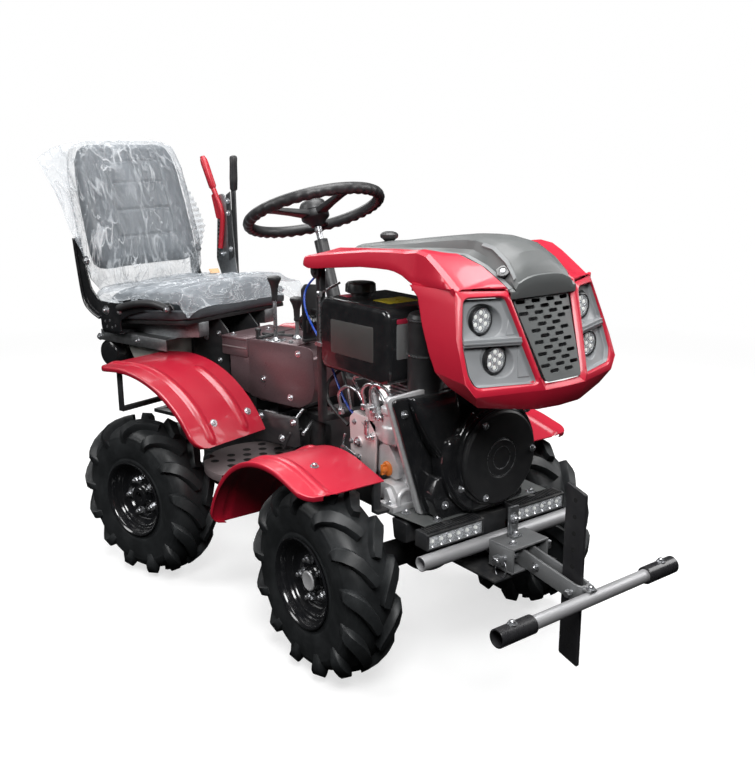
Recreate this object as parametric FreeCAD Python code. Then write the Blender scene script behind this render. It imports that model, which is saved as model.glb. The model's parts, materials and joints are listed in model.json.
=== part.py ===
import FreeCAD, Part

import math
import os

# Compact articulated four-wheel-drive tractor, in millimetres.
# It is modelled about its articulation pivot on the ground: the front half faces -Y and
# +X is its left-hand side. The rear half is modelled in line with the front half and then
# bent about the pivot to where it stands. At the end everything is moved so that the
# origin is at the bottom centre of the whole tractor.

# ---------------------------------------------------------------- driving dimensions
BEND_ANGLE = 16.4            # how far the rear half is bent, about +Z at the pivot
FRONT_REACH = 478.0          # pivot to front axle
REAR_REACH = 403.0           # pivot to rear axle

TYRE_RADIUS = 240.0          # over the lugs
TYRE_WIDTH = 140.0
TREAD_WIDTH = 118.0
WHEEL_OFFSET = 318.0         # middle of the tractor to middle of a tyre
RIM_RADIUS = 112.0           # over the rim flange
RIM_SEAT_RADIUS = 103.0
RIM_WALL = 3.0
HUB_RADIUS = 34.0
HUB_INNER = 262.0            # where the hub's inner end lies
STUB_RADIUS = 15.0           # turning axle end inside the hub
RUNNING_FIT = 0.05
BODY_GAP = 0.5               # between faces of bodies that turn on each other
AXLE_TUBE = 34.0             # radius of the axle housing's arms

PIVOT_PIN_RADIUS = 18.0
PIVOT_LOW = 250.0            # height of the lower lug's underside
PIVOT_HIGH = 490.0           # height of the upper lug's top
LUG_PLATE = 16.0
LUG_WIDTH = 84.0
TONGUE_RADIUS = 36.0

BEAM_WIDTH = 96.0            # main beams of both halves
BEAM_LOW = 300.0
BEAM_HIGH = 400.0
BEAM_FRONT = -716.0
BEAM_START = 62.0            # from the pivot to where a beam begins

ENGINE_PLATE_TOP = 412.0
ENGINE_PLATE = 8.0
ENGINE_WIDTH = 250.0
ENGINE_FRONT = -640.0
ENGINE_REAR = -436.0
ENGINE_HEIGHT = 270.0
SHAFT_HEIGHT = 545.0         # crankshaft
COVER_RADIUS = 112.0
COVER_FRONT = -745.0
VOLUTE_FRONT = -722.0
VOLUTE_RADIUS = 150.0

TANK_SIZE = (200.0, 280.0, 180.0)
TANK_CORNER = (-190.0, -564.0, 701.0)
TANK_ROUND = 22.0
CAP_RADIUS = 38.0

HOOD_WALL = 4.0
HOOD_REAR = -245.0
HOOD_FRONT = -862.0
HOOD_FLOOR = 940.0           # below every edge of the hood's side bands
MASK_LOW = 706.0
MASK_HIGH = 952.0
HINGE_PLACE = (-262.0, 936.0)   # hinge of the hood, behind its rear arms
HINGE_PIN = 6.0
HINGE_EAR = 188.0            # middle of the tractor to the outside of a hinge ear
EAR_WALL = 5.0
KNOB_Y = -322.0
KNOB_TOP = 1031.0
LOCK_PLACE = (-78.0, -805.0, 993.0)
LOCK_DIRECTION = (-0.62, -0.35, 0.7)
LOCK_RADIUS = 13.0
SEAM_GAP = 0.3                # between pieces of one body that rest against each other

LAMP_RADIUS = 33.0
LAMP_DEPTH = 26.0
BAR_LAMP_LENGTH = 170.0
BAR_LAMP_GAP = 2.0            # between a beam's side and the inner end of a light bar
BAR_LAMP_HEIGHT = 40.0
BAR_LAMP_DEPTH = 44.0
BAR_LAMP_FRONT = -744.0

BUMPER_TUBE_RADIUS = 17.0
BUMPER_TUBE_LENGTH = 492.0
BUMPER_TUBE_PLACE = (-752.0, 352.0)
TUBE_WALL = 2.5

CROSS_TUBE_RADIUS = 15.0
CROSS_TUBE_LENGTH = 420.0
CROSS_TUBE_PLACE = (-1024.0, 305.0)
SLEEVE_RADIUS = 20.0
SLEEVE_BORE = 16.0             # open end, wider than the seat on the tube
SLEEVE_LENGTH = 98.0
SLEEVE_OVERLAP = 30.0

STRAP_THICKNESS = 6.0        # folded drawbar
STRAP_HEIGHT = 41.0
STRAP_GAP = 26.0             # inside the fold

DRAWBAR_PIN = (-820.0, 338.0)
DRAWBAR_SLOPE = 9.2

FENDER_WALL = 2.5
FENDER_LIP = 18.0            # depth of the rolled outer edge
FENDER_OUTER = 425.0
FRONT_FENDER_INNER = 213.0
FRONT_FENDER_RADIUS = 324.0
FRONT_FENDER_CENTRE = (-409.0, 196.0)
FRONT_FENDER_ARC = (76.0, 166.5)
FRONT_FENDER_TAIL = 94.0     # straight stretch beyond the arc, away from the pivot
REAR_FENDER_INNER = 165.0
REAR_FENDER_RADIUS = 336.0
REAR_FENDER_CENTRE = (370.0, 308.0)
REAR_FENDER_ARC = (85.0, 153.0)
REAR_FENDER_TAIL = 76.0

COVER_LOW = 516.0            # sheet cover between the pivot and the seat
COVER_TOP = 693.0
CHUTE_TOP = 664.0            # top of the fan's air duct, which carries the air cleaner
CASE_REAR = 403.0            # back of the gear case on the rear beam
STEER_LOCK = 28.0            # most that the halves bend either way
LOCK_STEPS = 4
LOCK_CLEARANCE = 6.0
FOOT_PLATE_HEIGHT = 375.0
FOOT_PLATE_RADIUS = 168.0
FOOT_PLATE_CENTRE = (178.0, 68.0)
FOOT_PLATE_EDGE = 22.0
FOOT_PLATE_WALL = 3.0

SEAT_WIDTH = 450.0
CUSHION_DEPTH = 400.0
CUSHION_FRONT = 318.0
CUSHION_LOW = 752.0          # underside at the front edge
CUSHION_THICK = 92.0
CUSHION_TILT = 5.0
PAN_THICK = 14.0
MOUNT_TOP = 680.0            # top of the plate that the seat stands on
BACK_HEIGHT = 400.0
BACK_THICK = 84.0
BACK_TILT = 14.0
LEVER_GAP = 37.0              # from the seat's side to the lever stand
SEAT_GAP = 0.5

STEERING_RADIUS = 186.0
STEERING_GRIP = 13.5
STEERING_CENTRE = (21.0, 1062.0)
STEERING_TILT = 22.0
SPOKE_ANGLES = (50.0, 191.0, 270.0)
COLUMN_TOP = 984.0

CABLE_RADIUS = 3.0           # throttle cable, loose between its two clips
CABLE_ROUTE = (
    (-28, -48, 899), (-37, -14, 877), (-50, 5, 838), (-66, -24, 799), (-83, -74, 775), (-98, -128, 750),
    (-113, -178, 732), (-129, -226, 716), (-142, -268, 686), (-150, -306, 648), (-158, -348, 614),
    (-163, -393, 592), (-164, -436, 583))

LEFT = 1
RIGHT = -1
SIDES = (("right", RIGHT), ("left", LEFT))

V = FreeCAD.Vector
X_AXIS = V(1, 0, 0)
Y_AXIS = V(0, 1, 0)
Z_AXIS = V(0, 0, 1)


# ---------------------------------------------------------------- shape helpers
def block(x0, x1, y0, y1, z0, z1):
    """A box between two corners."""
    return Part.makeBox(x1 - x0, y1 - y0, z1 - z0, V(x0, y0, z0))


def rod(start, end, radius):
    """A round bar from one point to another."""
    axis = V(*end) - V(*start)
    return Part.makeCylinder(radius, axis.Length, V(*start), axis)


def tube(start, end, radius, wall):
    """A round tube from one point to another."""
    return rod(start, end, radius).cut(rod(start, end, radius - wall))


def prism(points, direction):
    """A straight-sided solid over a closed outline of points."""
    corners = [V(*point) for point in points]
    face = Part.Face(Part.makePolygon(corners + corners[:1]))
    return face.extrude(V(*direction))


def side_plate(outline, x, thickness):
    """A plate parallel to YZ; its outline is a list of (y, z)."""
    return prism([(x, y, z) for y, z in outline], (thickness, 0, 0))


def fuse_all(shapes):
    """One solid from shapes that touch or overlap."""
    joined = shapes[0]
    for shape in shapes[1:]:
        joined = joined.fuse(shape)
    return joined.removeSplitter()


def mirrored(shape):
    """The same shape on the other side of the tractor's middle."""
    return shape.mirror(V(0, 0, 0), X_AXIS)


def both_sides(shape):
    """The shape and its mirror image, as solids that don't touch."""
    return Part.makeCompound([shape, mirrored(shape)])


def bent(shape):
    """A rear-half shape turned to where it stands."""
    turned = shape.copy()
    turned.rotate(V(0, 0, 0), Z_AXIS, BEND_ANGLE)
    return turned


# ---------------------------------------------------------------- wheels and axles
def tyre(x_middle, y_axle):
    """A tyre's outer shape, with its bead seated on the rim."""
    half = TYRE_WIDTH / 2
    tread = TREAD_WIDTH / 2
    bead = half - 8
    crown = TYRE_RADIUS - 6
    outline = [
        (-bead, RIM_SEAT_RADIUS), (-bead, RIM_RADIUS + 4), (-half, RIM_RADIUS + 34),
        (-half, TYRE_RADIUS - 70), (-tread, crown), (-tread * 0.5, TYRE_RADIUS),
        (tread * 0.5, TYRE_RADIUS), (tread, crown), (half, TYRE_RADIUS - 70),
        (half, RIM_RADIUS + 34), (bead, RIM_RADIUS + 4), (bead, RIM_SEAT_RADIUS)]
    corners = [V(x_middle + x, y_axle, TYRE_RADIUS + r) for x, r in outline]
    face = Part.Face(Part.makePolygon(corners + corners[:1]))
    return face.revolve(V(x_middle, y_axle, TYRE_RADIUS), X_AXIS, 360)


def rim(x_middle, y_axle, side):
    """A stepped steel rim with its hub, open for the axle end."""
    flange = TYRE_WIDTH / 2 - 8
    seat = RIM_SEAT_RADIUS - 0.2
    outer = [
        (-flange - 5, RIM_RADIUS), (-flange - 0.2, RIM_RADIUS), (-flange - 0.2, seat),
        (flange + 0.2, seat), (flange + 0.2, RIM_RADIUS), (flange + 5, RIM_RADIUS),
        (flange + 5, seat - RIM_WALL), (30, seat - RIM_WALL), (22, 84), (6, 78), (0, 62), (0, 20),
        (-4, 20), (-4, 64), (2, 82), (18, 88), (24, seat - RIM_WALL),
        (-flange - 5, seat - RIM_WALL)]
    corners = [V(x_middle + side * x, y_axle, TYRE_RADIUS + r) for x, r in outer]
    face = Part.Face(Part.makePolygon(corners + corners[:1]))
    wheel = face.revolve(V(x_middle, y_axle, TYRE_RADIUS), X_AXIS, 360)
    hub = rod((side * HUB_INNER, y_axle, TYRE_RADIUS), (x_middle + side * 14, y_axle, TYRE_RADIUS), HUB_RADIUS)
    bore = rod((0, y_axle, TYRE_RADIUS), (side * 600, y_axle, TYRE_RADIUS), STUB_RADIUS + RUNNING_FIT)
    return wheel.fuse(hub).cut(bore).removeSplitter()


def axle(y_axle):
    """An axle housing from hub to hub, with its gear case and the two axle ends."""
    z = TYRE_RADIUS
    end = HUB_INNER - BODY_GAP
    arms = rod((-end, y_axle, z), (end, y_axle, z), AXLE_TUBE)
    case = Part.makeSphere(78, V(0, y_axle, z + 8))
    case = case.common(block(-66, 66, y_axle - 90, y_axle + 90, z - 70, BEAM_LOW))
    ends = rod((-WHEEL_OFFSET - 8, y_axle, z), (WHEEL_OFFSET + 8, y_axle, z), STUB_RADIUS)
    flanges = [rod((s * (end - 12), y_axle, z), (s * end, y_axle, z), AXLE_TUBE + 12) for s in (-1, 1)]
    seats = [block(s * 40 - 22, s * 40 + 22, y_axle - 40, y_axle + 40, z, BEAM_LOW) for s in (-1, 1)]
    return fuse_all([arms, case, ends] + flanges + seats)


# ---------------------------------------------------------------- front half
def front_chassis():
    """Main beam, clutch case and the two lugs that hold the pivot pin."""
    half = BEAM_WIDTH / 2
    beam = block(-half, half, BEAM_FRONT, -BEAM_START, BEAM_LOW, BEAM_HIGH)
    case = block(-70, 70, ENGINE_REAR + 1, -150, BEAM_HIGH - 20, BEAM_HIGH + 150)
    low = block(-LUG_WIDTH / 2, LUG_WIDTH / 2, -BEAM_START - 40, 0, PIVOT_LOW, PIVOT_LOW + LUG_PLATE)
    low = low.fuse(rod((0, 0, PIVOT_LOW), (0, 0, PIVOT_LOW + LUG_PLATE), LUG_WIDTH / 2))
    high = block(-LUG_WIDTH / 2, LUG_WIDTH / 2, -BEAM_START - 100, 0, PIVOT_HIGH - LUG_PLATE, PIVOT_HIGH)
    high = high.fuse(rod((0, 0, PIVOT_HIGH - LUG_PLATE), (0, 0, PIVOT_HIGH), LUG_WIDTH / 2))
    web_low = block(-30, 30, -BEAM_START - 40, -BEAM_START, PIVOT_LOW, BEAM_LOW)
    web_high = block(-30, 30, -BEAM_START - 100, -BEAM_START, BEAM_HIGH, PIVOT_HIGH)
    pin = rod((0, 0, PIVOT_LOW - 8), (0, 0, PIVOT_HIGH + 8), PIVOT_PIN_RADIUS)
    return fuse_all([beam, case, low, high, web_low, web_high, pin])


def engine_plate():
    """The plate that the engine stands on, with its front lip."""
    top = ENGINE_PLATE_TOP
    bolster = block(-190, 190, BAR_LAMP_FRONT + BAR_LAMP_DEPTH + SEAM_GAP, -560, top - ENGINE_PLATE, top)
    riser = block(-BEAM_WIDTH / 2, BEAM_WIDTH / 2, -690, -560, BEAM_HIGH, top - ENGINE_PLATE)
    return bolster.fuse(riser).removeSplitter()


def engine_block():
    """Crankcase, flywheel end and cylinder as one plain mass."""
    half = ENGINE_WIDTH / 2
    top = ENGINE_PLATE_TOP + ENGINE_HEIGHT
    case = block(-half - 20, half, ENGINE_FRONT, ENGINE_REAR, ENGINE_PLATE_TOP, top - 20)
    flange = block(-half - 30, half + 6, ENGINE_FRONT - 12, ENGINE_FRONT, ENGINE_PLATE_TOP, top - 40)
    tank_foot = block(-130, -30, -520, -490, top - 20, TANK_CORNER[2])
    return fuse_all([case, flange, tank_foot])


def blower_housing():
    """Fan scroll on the front of the engine, open behind the round cover."""
    y0 = ENGINE_FRONT - 12.0
    drum = rod((0, y0, SHAFT_HEIGHT), (0, VOLUTE_FRONT, SHAFT_HEIGHT), VOLUTE_RADIUS)
    drum = drum.common(block(-200, 200, VOLUTE_FRONT, y0, ENGINE_PLATE_TOP, 900))
    foot = block(-190, 130, -706, y0, ENGINE_PLATE_TOP, ENGINE_PLATE_TOP + 150)
    chute = block(-150, 60, -700, y0, SHAFT_HEIGHT, CHUTE_TOP)
    neck = rod((0, VOLUTE_FRONT, SHAFT_HEIGHT), (0, COVER_FRONT + 4, SHAFT_HEIGHT), COVER_RADIUS - 6)
    return fuse_all([drum, foot, chute, neck])


def fan_cover():
    """Flat round cover at the front of the fan scroll."""
    return rod((0, COVER_FRONT + 4, SHAFT_HEIGHT), (0, COVER_FRONT, SHAFT_HEIGHT), COVER_RADIUS)


def fuel_tank():
    """Fuel tank with rounded edges."""
    x, y, z = TANK_CORNER
    width, length, height = TANK_SIZE
    tank = block(x, x + width, y, y + length, z, z + height)
    return tank.makeFillet(TANK_ROUND, tank.Edges)


def tank_cap():
    """Round filler cap on the tank."""
    x = TANK_CORNER[0] + 78
    y = TANK_CORNER[1] + 212
    z = TANK_CORNER[2] + TANK_SIZE[2]
    neck = rod((x, y, z), (x, y, z + 12), CAP_RADIUS - 8)
    return neck.fuse(rod((x, y, z + 12), (x, y, z + 34), CAP_RADIUS)).removeSplitter()


def air_cleaner():
    """Upright round air cleaner between the tank and the mask."""
    low = rod((-128, -622, CHUTE_TOP), (-128, -622, 880), 42)
    elbow = block(-128, -20, -640, -604, 690, 730)
    return low.fuse(elbow).removeSplitter()


def muffler():
    """Round silencer on the left side of the engine, with its pipe."""
    body = rod((116, -560, 760), (116, -380, 760), 48)
    top = ENGINE_PLATE_TOP + ENGINE_HEIGHT - 20
    pipe = rod((116, -450, top), (116, -450, 740), 14)
    tail = rod((116, -380, 760), (116, -330, 760), 14)
    return fuse_all([body, pipe, tail])


def injection_pump():
    """Fuel pump body, its lever plate and the clip that holds the throttle cable."""
    face = -ENGINE_WIDTH / 2 - 20
    plate = block(face - 12, face, -500, -446, 470, 640)
    pump = rod((face - 24, -540, 560), (face - 24, -540, 668), 24)
    foot = block(face - 50, face, -566, -514, 560, 590)
    link = block(face - 12, face, -520, -490, 560, 590)
    end = V(*CABLE_ROUTE[-1])
    onward = (end - V(*CABLE_ROUTE[-2])).normalize()
    ferrule = Part.makeCylinder(CABLE_RADIUS + 2, 14, end, onward)
    clip = block(face - 28, face, -458, -446, end.z - 10, end.z + 8)
    return fuse_all([plate, pump, foot, link, ferrule, clip])


def cable_path(route):
    """Straight runs joined by tangent arcs, each as large as its two runs allow."""
    points = [V(*point) for point in route]
    edges = []
    start = points[0]
    for before, corner, after in zip(points, points[1:], points[2:]):
        incoming = corner - before
        outgoing = after - corner
        half_turn = incoming.getAngle(outgoing) / 2
        setback = 0.45 * min(incoming.Length, outgoing.Length)
        radius = setback / math.tan(half_turn)
        into = corner - incoming.normalize() * setback
        out = corner + outgoing.normalize() * setback
        bisector = (into + out) * 0.5 - corner
        centre = corner + bisector.normalize() * (radius / math.cos(half_turn))
        middle = centre + (corner - centre).normalize() * radius
        edges.append(Part.LineSegment(start, into).toShape())
        edges.append(Part.Arc(into, middle, out).toShape())
        print("cable radius", round(radius, 1))
        start = out
    edges.append(Part.LineSegment(start, points[-1]).toShape())
    return Part.Wire(edges)


def throttle_cable():
    """Throttle cable from the steering column to the fuel pump's lever."""
    path = cable_path(CABLE_ROUTE)
    direction = V(*CABLE_ROUTE[1]) - V(*CABLE_ROUTE[0])
    circle = Part.Wire(Part.makeCircle(CABLE_RADIUS, V(*CABLE_ROUTE[0]), direction))
    cable = path.makePipeShell([circle], True, True)
    print("cable length", round(path.Length, 1), "volume ratio",
          round(cable.Volume / (math.pi * CABLE_RADIUS ** 2 * path.Length), 4))
    return cable


HOOD_STATIONS = (
    # y, half width low, half width and height of the crease, then of the panel's edge, crown height
    (HOOD_REAR, 204, 203, 976, 86, 986, 997),
    (-400, 205, 203, 999, 90, 996, 1021),
    (-540, 206, 202, 1014, 92, 1006, 1038),
    (-640, 207, 198, 1019, 98, 1008, 1048),
    (-700, 208, 199, 1014, 112, 1010, 1050),
    (-762, 208, 202, 983, 98, 992, 1045),
    (-802, 206, 203, 960, 98, 972, 1030),
    (HOOD_FRONT, 206, 202, 954, 90, 956, 980))
CROWN_HALF_WIDTH = 48.0


def hood_section(station, inset):
    """A closed cross-section wire of the hood at one station."""
    y, low, crease, z_crease, panel, z_panel, z_crown = station
    floor = HOOD_FLOOR - 10 * inset
    right = [(-low + inset, floor), (-crease + inset, z_crease - inset), (-panel, z_panel - inset),
             (-CROWN_HALF_WIDTH, z_crown - inset)]
    outline = right + [(-x, z) for x, z in reversed(right)]
    corners = [V(x, y, z) for x, z in outline]
    return Part.makePolygon(corners + corners[:1])


def hood_plan(inset):
    """The hood's outline from above, as an upright prism; its front meets the mask."""
    right = [(-230, HOOD_REAR + 5), (-230, -790 + inset), (-203, -802 + inset), (-99, -846 + inset),
             (-84, HOOD_FRONT + inset)]
    outline = right + [(-x, y) for x, y in reversed(right)]
    return prism([(x, y, HOOD_FLOOR - 60) for x, y in outline], (0, 0, 200))


def hood_volume(inset):
    """The hood's outer or inner volume, lofted through its stations."""
    sections = [hood_section(station, inset) for station in HOOD_STATIONS]
    return Part.makeLoft(sections, True, True).common(hood_plan(inset))


def hood_arches():
    """The space below the hood's side bands, which arch up from the mask to the rear."""
    low = HOOD_FLOOR - 60
    outline = [(HOOD_REAR + 10, low), (HOOD_REAR + 10, 948), (-384, 959), (-469, 969), (-579, 973), (-624, 965),
               (-652, MASK_HIGH), (HOOD_FRONT - 10, MASK_HIGH), (HOOD_FRONT - 10, low)]
    return side_plate(outline, -240, 480)


def hood_panel_prism():
    """The plan of the grey middle panel, as an upright prism."""
    right = [(-86, HOOD_REAR + 6), (-92, -540), (-98, -640), (-114, -705), (-97, -765), (-99, -846),
             (-84, HOOD_FRONT - 5)]
    outline = right + [(-x, y) for x, y in reversed(right)]
    return prism([(x, y, HOOD_FLOOR - 60) for x, y in outline], (0, 0, 200))


def hinge_ears():
    """The two lugs inside the hood's rear end that turn on the hinge pins."""
    y, z = HINGE_PLACE
    ear = block(-HINGE_EAR, -HINGE_EAR + EAR_WALL, y - 12, y + 12, z - 14, z + 100)
    ear = ear.common(hood_volume(HOOD_WALL))
    ear = ear.cut(rod((-HINGE_EAR - 1, y, z), (0, y, z), HINGE_PIN + RUNNING_FIT))
    return [ear, mirrored(ear)]


def hood_pieces():
    """The red hood with its hinge ears, and the grey panel let into its top."""
    shell = hood_volume(0).cut(hood_volume(HOOD_WALL)).cut(hood_arches())
    cutter = hood_panel_prism()
    return fuse_all([shell.cut(cutter)] + hinge_ears()), shell.common(cutter)


def hood_knob():
    """Round plastic knob on top of the hood."""
    knob = rod((0, KNOB_Y, 1000), (0, KNOB_Y, KNOB_TOP - 10), 8)
    knob = knob.fuse(rod((0, KNOB_Y, KNOB_TOP - 17), (0, KNOB_Y, KNOB_TOP), 22))
    return knob.cut(hood_volume(0)).removeSplitter()


def hood_lock():
    """Round lock let into the slope of the grey panel."""
    place = V(*LOCK_PLACE)
    outward = V(*LOCK_DIRECTION).normalize()
    barrel = Part.makeCylinder(LOCK_RADIUS, 30, place - outward * 20, outward)
    return barrel.cut(hood_volume(0))


MASK_SECTIONS = (
    # z, (half width, y) at the rear edge, at the outer corner and beside the grille
    (MASK_LOW, (190, -842), (190, -862), (62, -905)),
    (770, (227, -768), (227, -864), (62, -925)),
    (855, (223, -718), (224, -836), (75, -892)),
    (MASK_HIGH - SEAM_GAP, (203, -652), (203, -802), (99, -846)))


def mask_section(section, inset):
    """A closed plan wire of the front mask at one height."""
    z, rear, corner, nose = section
    side = [(-rear[0] + inset, rear[1]), (-corner[0] + inset, corner[1] + inset), (-nose[0], nose[1] + inset)]
    outline = side + [(-x, y) for x, y in reversed(side)]
    corners = [V(x, y, z) for x, y in outline]
    return Part.makePolygon(corners + corners[:1])


def mask_volume(inset):
    """The mask's outer or inner volume."""
    sections = [mask_section(section, inset) for section in MASK_SECTIONS]
    return Part.makeLoft(sections, True, True)


POD_OUTLINE = ((-108, 941), (-193, 940), (-214, 794), (-203, 760), (-70, 766))
GRILLE_OUTLINE = ((-78, 960), (-76, 932), (-44, 764), (44, 764), (76, 932), (78, 960))
CHIN_CUT = ((62, 700), (240, 700), (240, 727), (190, 721), (62, 706))
LAMP_PLACES = ((150, -830, 894), (141, -863, 813))


def mask_pieces():
    """Red mask, lamp pods, lamps and grille, each cut out of the same wall."""
    chin_cut = prism([(x, -1000, z) for x, z in CHIN_CUT], (0, 400, 0))
    wall = mask_volume(0).cut(mask_volume(HOOD_WALL)).cut(chin_cut).cut(mirrored(chin_cut))
    pod_cut = prism([(x, -1000, z) for x, z in POD_OUTLINE], (0, 250, 0))
    grille_cut = prism([(x, -1000, z) for x, z in GRILLE_OUTLINE], (0, 250, 0))
    pods = [wall.common(pod_cut), wall.common(mirrored(pod_cut))]
    grille = wall.common(grille_cut)
    mask = wall.cut(pod_cut).cut(mirrored(pod_cut)).cut(grille_cut)
    lamps = []
    for x, y, z in LAMP_PLACES:
        for side in (RIGHT, LEFT):
            lamps.append(rod((side * x, y - 6, z), (side * x, y + LAMP_DEPTH, z), LAMP_RADIUS))
    for lamp in lamps:
        pods = [pod.cut(lamp) for pod in pods]
    return mask, Part.makeCompound(pods), Part.makeCompound(lamps), grille


def hood_stays():
    """Frame on the clutch case with the two pins that the hood hinges on."""
    y, z = HINGE_PLACE
    case_top = BEAM_HIGH + 150
    pieces = [block(-178, 178, y - 10, y + 10, case_top, case_top + 16)]
    for side in (RIGHT, LEFT):
        x = side * 170
        pieces.append(block(x - 8, x + 8, y - 10, y + 10, case_top, z + 10))
        pieces.append(rod((x, y, z), (side * (HINGE_EAR + 4), y, z), HINGE_PIN))
    tank_rear = TANK_CORNER[1] + TANK_SIZE[1]
    pieces.append(block(-178, -110, tank_rear, y, 735, 765))
    return fuse_all(pieces)


def fender_edges(shape, inset):
    """The tail and arc of one mudguard's section, with the points at both ends."""
    direction, centre, radius, arc, tail, _ = shape
    start, end = (math.radians(angle) for angle in arc)

    def at(angle):
        reach = radius - inset
        return V(0, centre[0] + direction * reach * math.cos(angle), centre[1] + reach * math.sin(angle))

    tangent = V(0, direction * math.sin(start), -math.cos(start))
    tip = at(start) + tangent * tail
    straight = Part.LineSegment(tip, at(start)).toShape()
    curve = Part.Arc(at(start), at((start + end) / 2), at(end)).toShape()
    return [straight, curve], tip, at(end)


def fender_band(shape, depth, x0, x1):
    """The part of a mudguard between two distances from the middle, as deep as asked."""
    outer, outer_tip, outer_end = fender_edges(shape, 0)
    inner, inner_tip, inner_end = fender_edges(shape, depth)
    closing = [Part.LineSegment(outer_end, inner_end).toShape(), Part.LineSegment(inner_tip, outer_tip).toShape()]
    face = Part.Face(Part.Wire(Part.__sortEdges__(outer + inner + closing)))
    band = face.extrude(V(x1 - x0, 0, 0))
    band.translate(V(x0, 0, 0))
    return band


def fender(shape):
    """One mudguard on the right side, with its rolled outer edge."""
    skin = fender_band(shape, FENDER_WALL, -FENDER_OUTER, -shape[-1])
    lip = fender_band(shape, FENDER_LIP, -FENDER_OUTER, -FENDER_OUTER + FENDER_WALL)
    return skin.fuse(lip).removeSplitter()


def fender_underside(shape):
    """The volume under a pair of mudguards, for cutting their supports to length."""
    inner, tip, end = fender_edges(shape, FENDER_WALL + SEAM_GAP)
    floor = shape[1][1]
    corners = [end, V(0, end.y, floor), V(0, tip.y, floor), tip]
    closing = [Part.LineSegment(a, b).toShape() for a, b in zip(corners, corners[1:])]
    face = Part.Face(Part.Wire(Part.__sortEdges__(inner + closing)))
    volume = face.extrude(V(2 * FENDER_OUTER, 0, 0))
    volume.translate(V(-FENDER_OUTER, 0, 0))
    return volume


FRONT_FENDER = (-1, FRONT_FENDER_CENTRE, FRONT_FENDER_RADIUS, FRONT_FENDER_ARC, FRONT_FENDER_TAIL,
                FRONT_FENDER_INNER)
REAR_FENDER = (1, REAR_FENDER_CENTRE, REAR_FENDER_RADIUS, REAR_FENDER_ARC, REAR_FENDER_TAIL,
               REAR_FENDER_INNER)


def front_fenders():
    """The pair of mudguards over the front wheels."""
    return both_sides(fender(FRONT_FENDER))


def front_fender_stays():
    """Arms that carry the front mudguards from the clutch case and the engine plate."""
    under = fender_underside(FRONT_FENDER)
    top = ENGINE_PLATE_TOP
    rear_arm = block(70, 330, -330, -306, 446, 456)
    rear_post = block(220, 330, -330, -306, 456, 600).common(under)
    fore_arm = block(150, 240, -590, -564, top, top + 8)
    fore_post = block(220, 240, -576, -564, top + 8, 600).common(under)
    arms = Part.makeCompound([rear_arm.fuse(rear_post).removeSplitter(), fore_arm.fuse(fore_post).removeSplitter()])
    return Part.makeCompound(arms.Solids + mirrored(arms).Solids)


def light_bars():
    """The pair of long lamps on the engine plate."""
    low = BUMPER_TUBE_PLACE[1] + BUMPER_TUBE_RADIUS + SEAM_GAP
    half = BAR_LAMP_LENGTH / 2
    x = BEAM_WIDTH / 2 + BAR_LAMP_GAP + half
    lamp = block(-x - half, -x + half, BAR_LAMP_FRONT, BAR_LAMP_FRONT + BAR_LAMP_DEPTH,
                 low, low + BAR_LAMP_HEIGHT)
    return both_sides(lamp)


def bumper_tube():
    """Open tube across the front."""
    y, z = BUMPER_TUBE_PLACE
    half = BUMPER_TUBE_LENGTH / 2
    return tube((-half, y, z), (half, y, z), BUMPER_TUBE_RADIUS, TUBE_WALL)


def hitch_bracket():
    """Channel bracket under the front, open towards the front."""
    rear = BUMPER_TUBE_PLACE[0] - BUMPER_TUBE_RADIUS - SEAM_GAP
    top = block(-57, 57, -846, rear, 362, 368)
    low = block(-57, 57, -846, rear, 306, 312)
    cheeks = [block(s * 54 - 3, s * 54 + 3, -846, rear, 306, 368) for s in (-1, 1)]
    back = block(-57, 57, rear - 6, rear, 306, 368)
    strap = block(-14, 14, -790, -784, 368, 440)
    neck = block(-30, 30, rear, BEAM_FRONT, 316, 334)
    shape = fuse_all([top, low, back, strap, neck] + cheeks)
    shape = shape.cut(block(-6, 6, -800, -780, 396, 428))
    for pin in hitch_pins().Solids:
        shape = shape.cut(pin)
    return shape


def hitch_pins():
    """Pins through the bracket and through the drawbar's front end."""
    y, z = DRAWBAR_PIN
    reach = V(0, -168, 0)
    rear = rod((-80, y, z), (80, y, z), 7)
    front = rod((-34, y, z), (34, y, z), 5)
    front.translate(reach)
    front.rotate(V(0, y, z), X_AXIS, DRAWBAR_SLOPE)
    return Part.makeCompound([rear, front])


def drawbar():
    """Flat strap folded into a long loop, pinned in the bracket."""
    inner = STRAP_GAP / 2
    outer = inner + STRAP_THICKNESS
    y_pin, z_pin = DRAWBAR_PIN
    reach = math.hypot(CROSS_TUBE_PLACE[0] - y_pin, CROSS_TUBE_PLACE[1] - z_pin)
    y0 = y_pin + 16
    y1 = y_pin - reach + CROSS_TUBE_RADIUS + SEAM_GAP + outer
    low = z_pin - STRAP_HEIGHT / 2
    straps = [block(min(s * inner, s * outer), max(s * inner, s * outer), y1, y0, low, low + STRAP_HEIGHT)
              for s in (-1, 1)]
    bend = rod((0, y1, low), (0, y1, low + STRAP_HEIGHT), outer)
    bend = bend.cut(rod((0, y1, low), (0, y1, low + STRAP_HEIGHT), inner))
    bend = bend.common(block(-60, 60, y1 - 60, y1, low, low + STRAP_HEIGHT))
    loop = fuse_all(straps + [bend])
    loop.rotate(V(0, y_pin, z_pin), X_AXIS, DRAWBAR_SLOPE)
    for pin in hitch_pins().Solids:
        loop = loop.cut(pin)
    return loop


def cross_tube():
    """Tube across the front end of the drawbar."""
    y, z = CROSS_TUBE_PLACE
    half = CROSS_TUBE_LENGTH / 2
    return tube((-half, y, z), (half, y, z), CROSS_TUBE_RADIUS, TUBE_WALL)


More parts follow.
